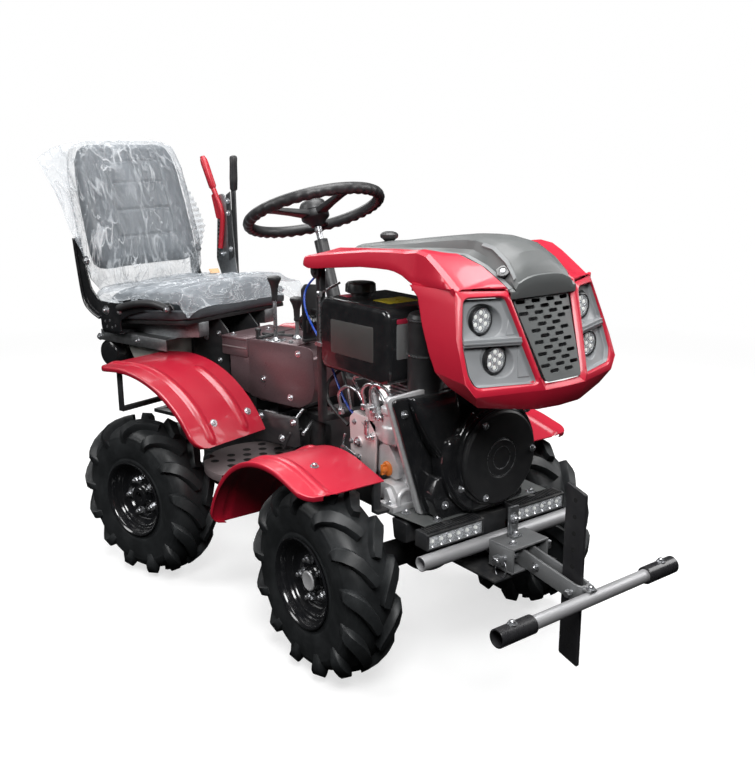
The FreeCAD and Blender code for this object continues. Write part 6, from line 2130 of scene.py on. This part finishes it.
    def _lift_levers(self, bench: Bench) -> None:
        """Makes the lever stand with its row of holes and its two levers."""
        x = self.lever_side
        stand = Drawing()
        outline = [(560, 655), (600, 655), (682, 862), (664, 1078), (640, 1084), (604, 1030), (592, 860)]
        stand.prism(rounded(outline, 9), Axis.X, x - 2.5, x + 2.5)
        stand.box((202, 560, 655), (x + 2, 600, 661))
        bench.put("lever_stand", stand, GALVANISED, "lift_levers", bevel=0.7)
        # Painted shade: the stand's holes are dark discs.
        holes = Drawing()
        for k in range(self.lever_holes):
            t = k / (self.lever_holes - 1)
            centre = Vector((x - 2.7, 676 - 22 * t, 868 + 196 * t))
            holes.disc(centre, LEFT, 3.6, 5.4, 12)
        bench.put("lever_stand_holes", holes, DARK_HOLE, angle=30)
        black = Drawing()
        black.prism([(590, 660), (610, 660), (608, 1100), (590, 1100)], Axis.X, x + 5, x + 12)
        black.prism([(594, 880), (612, 860), (616, 1080), (596, 1092)], Axis.X, x - 12, x - 8)
        bench.put("lift_lever", black, STEEL_BLACK, bevel=1.2)
        grip = [(0, 0), (0, 9), (4, 12.5), (40, 13.5), (90, 12.5), (106, 13), (112, 11), (115, 6), (115, 0)]
        handle = Drawing().lathe((x + 8, 597, 1094), (0, -0.04, 1), grip, 28)
        bench.put("lift_lever_grip", handle, PLASTIC, angle=40)
        red = Drawing()
        path = [(x - 8, 655, 900), (x - 8, 640, 1010), (x - 8, 668, 1080), (x - 8, 700, 1140), (x - 8, 724, 1205)]
        red.wire(spline(path, 8), 8.5, 16)
        red.lathe((x - 8, 678, 1100), (0, 0.4, 0.92), [(0, 0), (0, 9), (6, 12.5), (90, 13), (104, 11.5), (112, 8),
                                                       (113, 0)], 24)
        red.prism(rounded([(640, 1000), (668, 1084), (682, 1078), (662, 1000)], 5), Axis.X, x - 15, x - 1)
        bench.put("latch_lever", red, LEVER_RED, angle=44)
        bench.bolts([(x - 13, 606, 1060), (x - 13, 606, 1020), (x - 13, 600, 900), (x - 3, 650, 880)], RIGHT, 11.0)

    def _horn(self, bench: Bench) -> None:
        """Makes the ribbed round horn and its stand."""
        horn = Drawing().lathe((-42, 20, 750), LEFT, [
            (0, 0), (0, 8), (2, 10), (2, 16), (0, 18), (0, 25), (3, 28), (8, 28.5), (9, 26.5), (13, 26.5), (14, 28.5),
            (19, 28.5), (20, 26.5), (24, 26.5), (25, 28.5), (30, 28), (38, 24), (42, 16), (42, 0)], 40)
        horn.box((-26, 24, 693), (-14, 34, 735))
        bench.put("horn_drum", horn, SHINY_PLASTIC, "horn", bevel=0.5, angle=30)

    def _under_seat(self, bench: Bench) -> None:
        """Makes the box and the round reservoir that hang below the seat."""
        outline = [(504, 580), (500, 675), (668, 675), (668, 618), (640, 578)]
        box = Drawing().prism(rounded(outline, 10), Axis.X, -150, -36)
        bench.put("seat_box", box, PALE, "under_seat_box", bevel=2.0, segments=3)
        tank = Drawing().lathe((-195, 719, 602), LEFT, [
            (0, 0), (0, 30), (4, 40), (12, 44), (40, 44), (41, 45.2), (45, 45.2), (46, 44), (344, 44), (345, 45.2),
            (349, 45.2), (350, 44), (378, 44), (386, 40), (390, 30), (390, 0)], 48)
        for x in (-130, 130):
            tank.box((x - 15, 711, 636), (x + 15, 727, 675))
        bench.put("oil_reservoir", tank, BLACK, "rear_reservoir", bevel=0.6, angle=36)


@dataclass
class Pad:
    """A padded piece of the seat, described by its width and thickness along its length."""

    name: str
    node: str
    stations: tuple[tuple[float, float, float], ...]
    place: Matrix
    cap: float
    seams: tuple[float, ...]
    bolster: tuple[float, float]
    face: int = -1
    power: float = 3.6
    voxel: float = 5.5
    pressure: float = 4.0
    frames: int = 20
    channel: tuple[float, float] = (5.0, 5.0)
    seam: tuple[float, float] = (4.6, 4.0)
    plump: float = 1.0
    blend: float = 8.0

    def shape(self) -> Drawing:
        """Draws the pad before it is filled."""
        rows = []
        length = self.stations[-1][0]
        samples = sorted({s[0] for s in self.stations} | {length * k / 24 for k in range(25)})
        for along in samples:
            half, thick = between(self.stations, along)
            row = []
            for k in range(64):
                angle = math.tau * k / 64
                c, s = math.cos(angle), math.sin(angle)
                x = math.copysign(abs(c) ** (2 / self.power), c) * half
                y = math.copysign(abs(s) ** (2 / self.power), s) * thick
                row.append((x, y, along))
            rows.append(row)
        return Drawing().skin(rows, around=True, caps=True)

    def build(self, bench: Bench) -> None:
        """Fills the pad like a pillow and sews its channels."""
        drawing = self.shape().close()
        mesh = bpy.data.meshes.new(self.name)
        drawing.mesh.to_mesh(mesh)
        drawing.mesh.free()
        mesh.transform(Matrix.Scale(MM, 4))
        piece = show(self.name, mesh)
        remesh = piece.modifiers.new("remesh", "REMESH")
        remesh.mode = "VOXEL"
        remesh.voxel_size = self.voxel * MM
        bake(piece)
        self._fill(piece)
        smooth = piece.modifiers.new("smooth", "SUBSURF")
        smooth.levels = smooth.render_levels = 1
        bake(piece)
        self._sew(piece)
        piece.data.materials.clear()
        piece.data.materials.append(SEAT_VINYL.material())
        piece.data.transform(bench.shop.places[bench.half] @ self.place @ Matrix.Scale(1 / MM, 4))
        for polygon in piece.data.polygons:
            polygon.use_smooth = True
        bench.shop.fit(piece, bench.body, SEAT_VINYL, [self.node])

    def _fill(self, piece: bpy.types.Object) -> None:
        """Blows the pad up with a cloth simulation and limits how far each point moves."""
        before = np.empty(len(piece.data.vertices) * 3)
        piece.data.vertices.foreach_get("co", before)
        cloth = piece.modifiers.new("cloth", "CLOTH")
        cloth.settings.use_pressure = True
        cloth.settings.uniform_pressure_force = self.pressure
        cloth.settings.effector_weights.gravity = 0.0
        cloth.settings.quality = 4
        cloth.collision_settings.use_collision = False
        cloth.point_cache.frame_start = 1
        cloth.point_cache.frame_end = self.frames
        scene = bpy.context.scene
        for step in range(self.frames):
            scene.frame_set(step + 1)
        solved = piece.evaluated_get(bpy.context.evaluated_depsgraph_get())
        after = np.empty_like(before)
        solved.data.vertices.foreach_get("co", after)
        piece.modifiers.remove(cloth)
        scene.frame_set(1)
        move = (after - before).reshape(-1, 3)
        far = np.linalg.norm(move, axis=1, keepdims=True)
        move *= np.minimum(1.0, self.cap * MM / np.maximum(far, TINY * MM))
        piece.data.vertices.foreach_set("co", (before.reshape(-1, 3) + move).ravel())
        piece.data.update()

    def _sew(self, piece: bpy.types.Object) -> None:
        """Presses the seams into the pad's face, and a piped seam round its edge."""
        count = len(piece.data.vertices)
        spots = np.empty(count * 3)
        normals = np.empty(count * 3)
        piece.data.vertices.foreach_get("co", spots)
        piece.data.vertex_normals.foreach_get("vector", normals)
        spots, normals = spots.reshape(-1, 3), normals.reshape(-1, 3)
        x, y, z = spots.T / MM
        facing = np.clip(normals[:, 1] * self.face * 1.6 - 0.2, 0, 1)
        low, high = self.bolster
        length = self.stations[-1][0]
        edge = low + (high - low) * z / length
        (wide, deep), (seam_wide, seam_deep) = self.channel, self.seam
        channel = np.exp(-((np.abs(x) - edge) / wide) ** 2) * deep
        inside = np.clip((edge - np.abs(x)) / self.blend, 0, 1)
        for seam in self.seams:
            channel = np.maximum(channel, np.exp(-((z - seam) / seam_wide) ** 2) * seam_deep * inside)
        plump = np.zeros(count)
        stops = [0.0, *self.seams, length]
        for start, end in zip(stops, stops[1:]):
            t = np.clip((z - start) / (end - start), 0, 1)
            swell = np.sin(t * math.pi) ** 0.7 * self.plump * inside
            plump = np.maximum(plump, swell * ((z >= start) & (z <= end)))
        spots += normals * ((plump - channel) * facing * MM)[:, None]
        piece.data.vertices.foreach_set("co", spots.ravel())
        piece.data.update()


@dataclass
class Seat:
    """Seat with its brackets, rails and the clear film that it is packed in."""

    back_tilt: float = 14.0
    cushion_tilt: float = 5.0
    cushion_front: float = 318.0
    cushion_low: float = 752.0
    side_inner: float = 225.4
    side_outer: float = 230.6
    back_film_span: tuple[float, float] = (-62.0, 470.0)
    back_film_steps: tuple[int, int] = (96, 72)
    back_film_tables: tuple[tuple[tuple[float, float], ...], ...] = (
        # Height on the back, then the back's half width, the film's reach to both sides, and its thickness.
        ((-62, 196), (-22, 216), (60, 226), (200, 224), (300, 216), (350, 206), (380, 192), (398, 160), (408, 120)),
        ((-62, 198), (-22, 222), (60, 234), (130, 254), (230, 274), (320, 300), (360, 304), (390, 244), (408, 150)),
        ((-62, 200), (-22, 226), (40, 262), (110, 300), (200, 276), (300, 232), (360, 214), (390, 184), (408, 140)),
        ((-62, 16), (-22, 44), (60, 50), (300, 46), (370, 40), (398, 24), (408, 5)))
    cushion_film_span: tuple[float, float] = (-34.0, 452.0)
    cushion_film_steps: tuple[int, int] = (90, 56)
    cushion_film_table: tuple[tuple[float, float], ...] = (
        (-34, 214), (0, 220), (60, 226), (330, 222), (400, 214), (418, 206))
    cushion_film_reach: tuple[float, float] = (256.0, 330.0)
    film_wall: float = 0.3

    def build(self, shop: Workshop) -> None:
        """Makes the seat's metal, its two pads and the film round them."""
        bench = Bench(shop, Half.REAR, "rear_half")
        shop.dress("seat_mount", "rear_half", GALVANISED, 1.0)
        shop.dress("seat_pan", "rear_half", PLASTIC, 3.0)
        bench.bolts([(-202, 741, 655), (-202, 560, 662)], RIGHT, 14.0)
        post = Drawing().pair(rounded([(306, 560), (306, 700), (345, 735), (470, 735), (452, 560)], 8), 66.0, 60.0)
        for side in (-1, 1):
            bench.bolts([(side * 66, 345, 690), (side * 66, 400, 672), (side * 66, 345, 606)], (side, 0, 0), 11.0)
        bench.put("seat_post", post, STEEL_BLACK, bevel=1.0)
        self._brackets(bench)
        Pad("back_pad", "seat_back", (
            (0, 168, 22), (6, 190, 32), (20, 206, 37), (60, 212, 37), (200, 209, 36), (300, 202, 34), (350, 192, 32),
            (378, 176, 29), (390, 158, 24), (396, 138, 16)), self._back_place(), 6.0,
            (92.0, 176.0, 262.0, 330.0), (122.0, 100.0)).build(bench)
        Pad("cushion_pad", "seat_cushion", (
            (4, 160, 20), (10, 186, 30), (26, 203, 36), (70, 211, 38), (200, 212, 38), (330, 206, 37), (372, 196, 34),
            (390, 178, 26)), self._cushion_place(), 7.0, (96.0, 186.0, 276.0), (126.0, 118.0), face=1).build(bench)
        self._base(bench)
        self._back_film(bench)
        self._cushion_film(bench)
        card = Drawing().prism(rounded([(-17, -11), (17, -11), (17, 11), (-17, 11)], 3), Axis.Z, 0, 1.4)
        card.lathe((-11, 0, 0), UP, [(1.2, 2), (1.2, 3.6), (2.0, 3.2), (2.0, 2)], 16, closed=True)
        lay = Matrix.Translation((168, 600, 834)) @ Matrix.Rotation(math.radians(-24), 4, "Z")
        lay = lay @ Matrix.Rotation(math.radians(34), 4, "X")
        bench.put("paper_tag", Drawing().add(card, lay), CARD, bevel=0.3)

    def _back_place(self) -> Matrix:
        """Gives the back pad's place: it stands up and leans back."""
        lean = Matrix.Rotation(math.radians(-self.back_tilt), 4, "X")
        return Matrix.Translation((0, 690, 872)) @ lean @ Matrix.Translation((0, 42, 2))

    def _cushion_place(self) -> Matrix:
        """Gives the cushion's place: its length runs to the rear and its front is higher."""
        lay = Matrix.Rotation(math.radians(-90 - self.cushion_tilt), 4, "X") @ Matrix.Scale(-1, 4, BACK)
        turn = Matrix.Translation((0, self.cushion_front, self.cushion_low))
        return turn @ lay @ Matrix.Translation((0, 46, 0))

    def _brackets(self, bench: Bench) -> None:
        """Makes both side plates, with their folded edges, holes, bolts and arm bars."""
        outline = [(352, 782), (470, 770), (560, 745), (600, 724), (600, 688), (616, 681), (686, 681), (692, 700),
                   (692, 722), (735, 740), (768, 775), (786, 880), (796, 966), (770, 968), (752, 880), (730, 812),
                   (694, 778), (640, 776), (520, 800), (380, 806)]
        for label, side in SIDES:
            plate = Drawing()
            reach = side * self.side_outer
            plate.prism(rounded(outline, 9), Axis.X, *sorted((side * self.side_inner, reach)))
            fold = [(side * 234, y, z) for y, z in ((794, 964), (784, 880), (766, 776), (734, 742), (694, 724))]
            plate.wire(spline(fold, 8), 4.5, 12)
            inner, outer = sorted((side * 160, reach))
            plate.box((inner, 607, 680.6), (outer, 683, 690))
            nodes = ["seat_brackets"] if side < 0 else []
            bench.put(f"seat_side_{label}", plate, BLACK, *nodes, bevel=1.1, angle=36)
            bar = Drawing().wire(spline([(side * 232, 600, 764), (side * 235, 520, 784), (side * 236, 440, 793),
                                         (side * 236, 366, 784)], 8), 11, 20)
            bench.put(f"seat_arm_bar_{label}", bar, PLASTIC, angle=40)
            holes = Drawing()
            for y, z in ((664, 700), (640, 700), (650, 720), (624, 706), (672, 716)):
                holes.disc((side * 225.2, y, z), (side, 0, 0), 4, 5.8, 16)
            bench.put(f"seat_side_holes_{label}", holes, ZINC, angle=30)
            bench.bolts([(reach, 741, 898), (reach, 663, 751)], (side, 0, 0), 17.0)
            bench.bolts([(side * 245, 369, 784)], (side, -0.4, 0), 12.0)
            bench.bolts([(reach, 600, 752)], (side, 0, 0), 11.0)

    @staticmethod
    def _crease(u: float, v: float, seed: float, stretch: float) -> float:
        """Gives the height of the film's creases, long and sharp along v."""
        bend = noise.noise(Vector((u * 0.008, v * 0.006, seed))) * 60
        value = 0.0
        for scale, weight in ((0.013, 1.0), (0.032, 0.42)):
            ridge = 1 - abs(noise.noise(Vector(((u + bend) * scale, v * scale * stretch, seed + 3)))) * 2.2
            value += weight * max(ridge, 0.0) ** 3
        return value

    def _back_film(self, bench: Bench) -> None:
        """Makes the bag round the seat back, which flares out at both sides."""
        tilt = self._back_place()
        rows = []
        count, steps = self.back_film_steps
        for i in range(count + 1):
            v = self.back_film_span[0] + self.back_film_span[1] * i / count
            half, left, right, thick = (between(table, v)[0] for table in self.back_film_tables)
            row = []
            for face in (-1, 1):
                for k in range(steps):
                    t = k / steps
                    u = (-left + (left + right) * t) if face < 0 else (right - (left + right) * t)
                    body = max(0.0, 1 - (abs(u) / half) ** 8) ** 0.4 if abs(u) < half else 0.0
                    crease = self._crease(u, v, 2.0 + face, 0.22)
                    past = max(abs(u) - half, 0)
                    sway = 10 * math.sin(v * 0.018 + (0 if u < 0 else 2)) * past / 100
                    sway += 4.5 * math.sin(v * 0.32) * min(past, 40) / 40 if u > 0 else 0.0
                    y = face * (thick * body + 0.8 + crease * (4.5 if body > 0 else 2.0)) + sway
                    y += (1 - body) * 10 + 0.16 * max(abs(u) - half, 0)
                    row.append(tilt @ Vector((u, y, v)))
            rows.append(row)
        self._film(bench, "back_film", Drawing().skin(rows, around=True), BACK_FILM)

    def _cushion_film(self, bench: Bench) -> None:
        """Makes the sheet of film over the cushion, with its loose tails."""
        tilt = self._cushion_place()
        rows = []
        count, steps = self.cushion_film_steps
        for i in range(count + 1):
            v = self.cushion_film_span[0] + self.cushion_film_span[1] * i / count
            half = between(self.cushion_film_table, v)[0]
            row = []
            for k in range(-steps, steps + 1):
                flat = k / steps * self.cushion_film_reach[1 if k > 0 else 0]
                over = max(abs(flat) - half, 0.0)
                u = math.copysign(min(abs(flat), half) + over * (0.16 if flat < 0 else 0.62), flat)
                drop = over * (0.95 if flat < 0 else 0.5) * (1.0 if flat < 0 else 0.4 + v / 900)
                drop *= min(1.0, max(0.1, 1 + v / 30))
                top = 49 * max(0.0, 1 - (abs(min(abs(flat), half)) / (half + 9)) ** 7) ** 0.34 + 2.5
                front = max(-v + 8, 0.0)
                rear = max(v - 396, 0.0)
                along = v + front * 0.55
                height = top - drop - front * 1.7 - rear * 1.2
                crease = self._crease(v, flat, 9.0, 0.3)
                height += crease * 5.5
                u += math.copysign(min(over, 30) / 30 * crease * 6, flat)
                row.append(tilt @ Vector((u, height, along - crease * min(front, 10) * 0.5)))
            rows.append(row)
        self._film(bench, "cushion_film", Drawing().skin(rows), CUSHION_FILM)

    def _base(self, bench: Bench) -> None:
        """Makes the dark moulded base that the cushion sits in."""
        tilt = self._cushion_place()
        rows = []
        for grow, height in ((-30, -44), (-6, -46), (0, -42), (1.5, -30), (0.5, -20), (-4, -17), (-12, -17)):
            half, near, far = 222 + grow, -6 - grow, 396 + grow
            outline = rounded([(-half, near), (half, near), (half, far), (-half, far)], 58, 8)
            rows.append([tilt @ Vector((u, height, v)) for u, v in outline])
        bench.put("cushion_base", Drawing().skin(rows, around=True, caps=True), DARK_VINYL, angle=50)

    def _film(self, bench: Bench, name: str, drawing: Drawing,
              finish: Film) -> None:
        piece = bench.put(name, drawing, finish, wall=self.film_wall, angle=70, outward=False)


@dataclass
class Steering:
    """Steering wheel with its hub, spokes, shaft and column collar."""

    radius: float = 186.0
    grip: float = 15.2
    centre: tuple[float, float] = (21.0, 1062.0)
    tilt: float = 22.0
    spokes: tuple[float, ...] = (50.0, 191.0, 270.0)
    bumps: int = 40
    bump_height: float = 0.13
    steps: int = 192
    sides: int = 16

    def build(self, shop: Workshop) -> None:
        """Makes the wheel with its finger bumps, its hub and its shaft."""
        bench = Bench(shop, Half.FRONT, "steering")
        place = Matrix.Translation((0, *self.centre)) @ Matrix.Rotation(math.radians(-self.tilt), 4, "X")
        rows = []
        for k in range(self.steps):
            angle = math.tau * k / self.steps
            row = []
            for j in range(self.sides):
                turn = math.tau * j / self.sides
                under = max(0.0, -math.sin(turn - 0.5))
                reach = self.grip * (1 + self.bump_height * under * math.cos(angle * self.bumps))
                out = self.radius + reach * math.cos(turn)
                high = reach * 1.05 * math.sin(turn)
                row.append(place @ Vector((out * math.cos(angle), out * math.sin(angle), high)))
            rows.append(row)
        ring = Drawing().skin(rows, around=True, endless=True)
        bench.put("steering_rim", ring, PLASTIC, "steering_wheel", angle=60)
        hub = Drawing()
        for angle in self.spokes:
            turn = Matrix.Rotation(math.radians(angle), 4, "Z")
            spoke = []
            for reach, half, low, high in ((22, 19, -20, -2), (40, 16, -17, 0), (90, 13, -12, 3), (140, 13, -8, 4),
                                           (172, 16, -6, 5), (184, 17, -5, 5)):
                section = rounded([(-half, low), (half, low), (half, high), (-half, high)], 4, 4)
                spoke.append([place @ turn @ Vector((reach, u, w)) for u, w in section])
            hub.skin(spoke, around=True, caps=True)
        up = place.to_3x3() @ Vector(UP)
        foot = place.translation
        hub.lathe(foot, up, [(-44, 0), (-44, 17), (-38, 21), (-30, 28), (-24, 37), (-20, 39.5), (-3, 39.5), (-1, 38.4),
                             (-1, 0)], 48)
        bench.put("steering_hub", hub, PLASTIC, angle=34)
        cap = Drawing().lathe(foot, up, [(-0.5, 0), (-0.5, 37.4), (0.6, 39.8), (8, 39.6), (18, 37.6), (26, 32.5),
                                         (31, 24), (33.6, 13), (34.2, 0)], 48)
        bench.put("steering_cap", cap, PLASTIC, angle=40)
        shaft = Drawing().lathe(foot, up, [(-150, 0), (-150, 8.8), (-62, 8.8), (-60, 11), (-46, 11), (-44, 9),
                                           (-40, 9), (-40, 0)], 24)
        bench.put("steering_shaft", shaft, ZINC, angle=34)


# ------------------------------------------------------------------ throttle cable
@dataclass
class ThrottleCable:
    """The blue cable from the steering column's clip to the fuel pump's clip."""

    diameter: float = 0.006
    route: tuple[Point, ...] = (
        (-0.028, -0.048, 0.899), (-0.037, -0.014, 0.877), (-0.050, 0.005, 0.838), (-0.066, -0.024, 0.799),
        (-0.083, -0.074, 0.775), (-0.098, -0.128, 0.750), (-0.113, -0.178, 0.732), (-0.129, -0.226, 0.716),
        (-0.142, -0.268, 0.686), (-0.150, -0.306, 0.648), (-0.158, -0.348, 0.614), (-0.163, -0.393, 0.592),
        (-0.164, -0.436, 0.583))

    def build(self, shop: Workshop) -> None:
        """Makes the cable along its route, with its two ferrules."""
        place = shop.places[Half.FRONT] @ Matrix.Scale(1 / MM, 4)
        points = [place @ Vector(spot) for spot in self.route]
        line = bpy.data.curves.new("throttle_cable_line", "CURVE")
        line.dimensions = "3D"
        line.bevel_depth = self.diameter / 2
        line.bevel_resolution = 4
        line.resolution_u = 16
        spline_line = line.splines.new("NURBS")
        spline_line.points.add(len(points) - 1)
        for spot, target in zip(points, spline_line.points):
            target.co = (*spot, 1.0)
        spline_line.order_u = 3
        spline_line.use_endpoint_u = True
        line.materials.append(SHEATH.material())
        cable = bpy.data.objects.new("throttle_cable_line", line)
        bpy.context.scene.collection.objects.link(cable)
        shop.fit(cable, "front_half", SHEATH, ["throttle_cable"])
        bench = Bench(shop, Half.FRONT, "front_half")
        for name, end, onward in (("column", 0, 1), ("pump", -1, -2)):
            start = Vector(self.route[end]) / MM
            away = (start - Vector(self.route[onward]) / MM).normalized()
            sleeve = Drawing().lathe(start - away * 10, away, [(0, 0), (0, 3.6), (2, 4.4), (12, 4.4), (13, 5.4),
                                                              (22, 5.4), (23, 3.2), (30, 3.2), (30, 0)], 20)
            bench.put(f"cable_ferrule_{name}", sleeve, ZINC, angle=30)


# ------------------------------------------------------------------ studio
@dataclass
class Studio:
    """The floor, the lights and the camera."""

    camera_place: Point = (-1453.2, -2201.1, 1239.2)
    yaw: float = 36.98
    pitch: float = 14.24
    roll: float = -0.15
    focal: float = 43.98
    lights: tuple[tuple[Point, Point, float, float], ...] = (
        # place, aim, size in metres, power in watts
        ((-1500, -2500, 3000), (0, -100, 600), 1.6, 105.0),
        ((200, -300, 3600), (0, 0, 500), 2.6, 150.0),
        ((2700, -1500, 2200), (0, -200, 500), 1.8, 45.0),
        ((-2900, 1100, 2300), (0, 200, 600), 1.6, 45.0),
        ((600, 2700, 2600), (0, 200, 600), 2.0, 45.0))
    overhead: float = 0.85
    around: float = 0.2
    floor_reach: float = 30.0

    def build(self, shop: Workshop) -> None:
        """Sets the floor, the backdrop, the room's light, the lamps and the camera."""
        front = shop.places[Half.FRONT]
        self._backdrop()
        self._room()
        for number, (place, aim, size, power) in enumerate(self.lights):
            lamp = bpy.data.lights.new(f"softbox_{number}", "AREA")
            lamp.shape = "DISK"
            lamp.size = size
            lamp.energy = power
            holder = bpy.data.objects.new(lamp.name, lamp)
            holder.location = front @ Vector(place)
            towards = front @ Vector(aim) - holder.location
            holder.rotation_euler = towards.to_track_quat("-Z", "Y").to_euler()
            bpy.context.scene.collection.objects.link(holder)
        bpy.context.scene.view_settings.view_transform = "Standard"
        lens = bpy.data.cameras.new("camera")
        lens.lens = self.focal
        lens.sensor_width = 36.0
        lens.clip_end = 100.0
        camera = bpy.data.objects.new("camera", lens)
        turn = Matrix.Rotation(-math.radians(self.yaw), 4, "Z")
        turn = turn @ Matrix.Rotation(math.radians(90 - self.pitch), 4, "X")
        turn = turn @ Matrix.Rotation(math.radians(self.roll), 4, "Z")
        camera.matrix_world = Matrix.Translation(front @ Vector(self.camera_place)) @ turn
        bpy.context.scene.collection.objects.link(camera)
        bpy.context.scene.camera = camera

    def _backdrop(self) -> None:
        """Makes the pale floor and the white shell round it, which only the camera sees."""
        reach = self.floor_reach
        floor = bpy.data.meshes.new("floor")
        floor.from_pydata([(-reach, -reach, 0), (reach, -reach, 0), (reach, reach, 0), (-reach, reach, 0)], [],
                          [(0, 1, 2, 3)])
        shell = bmesh.new()
        bmesh.ops.create_icosphere(shell, subdivisions=4, radius=reach * 2)
        dome = bpy.data.meshes.new("backdrop")
        shell.to_mesh(dome)
        shell.free()
        for mesh, finish in ((floor, PaleFloor("pale floor", "")), (dome, WhiteShell("white shell", ""))):
            mesh.materials.append(finish.material())
            piece = show(mesh.name, mesh)
            piece.visible_diffuse = piece.visible_glossy = piece.visible_transmission = piece.visible_shadow = False

    def _room(self) -> None:
        """Makes the room's own light: brightest overhead, dim at the sides and below."""
        world = bpy.data.worlds.new("studio room")
        world.use_nodes = True
        graph = Graph(world.node_tree)
        up = graph.get("ShaderNodeSeparateXYZ", {0: graph.get("ShaderNodeTexCoord", output="Generated")}, 2)
        strength = graph.ramp(up, 0.05, 0.95, self.around, self.overhead)
        graph.connect(world.node_tree.nodes["Background"], {"Strength": strength})
        bpy.context.scene.world = world


def main() -> None:
    """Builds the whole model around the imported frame."""
    logging.basicConfig(level=logging.INFO, format="%(message)s")
    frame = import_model()
    shop = Workshop.open(frame)
    Studio().build(shop)
    ThrottleCable().build(shop)
    Wheels().build(shop)
    Mudguard("front_mudguards", Half.FRONT, -1, (-409.0, 196.0), 324.0, (76.0, 166.5), 94.0, 213.0,
             bolts=((96.0, 0.196),)).build(shop)
    # The rear mudguards wear the darker red copy: painted shade.
    Mudguard("rear_mudguards", Half.REAR, 1, (370.0, 308.0), 336.0, (85.0, 153.0), 76.0, 165.0,
             node="rear_fenders", ribs=((62.0, 0.04, 0.94), (192.0, 0.48, 0.92)),
             bolts=((94.0, 0.871), (226.0, 0.864)), finish=RED_SHADED).build(shop)
    Hood().build(shop)
    Mask().build(shop)
    Engine().build(shop)
    FrontEnd().build(shop)
    Deck().build(shop)
    Seat().build(shop)
    Steering().build(shop)
    shop.fit_bolts()


if __name__ == "__main__":
    main()
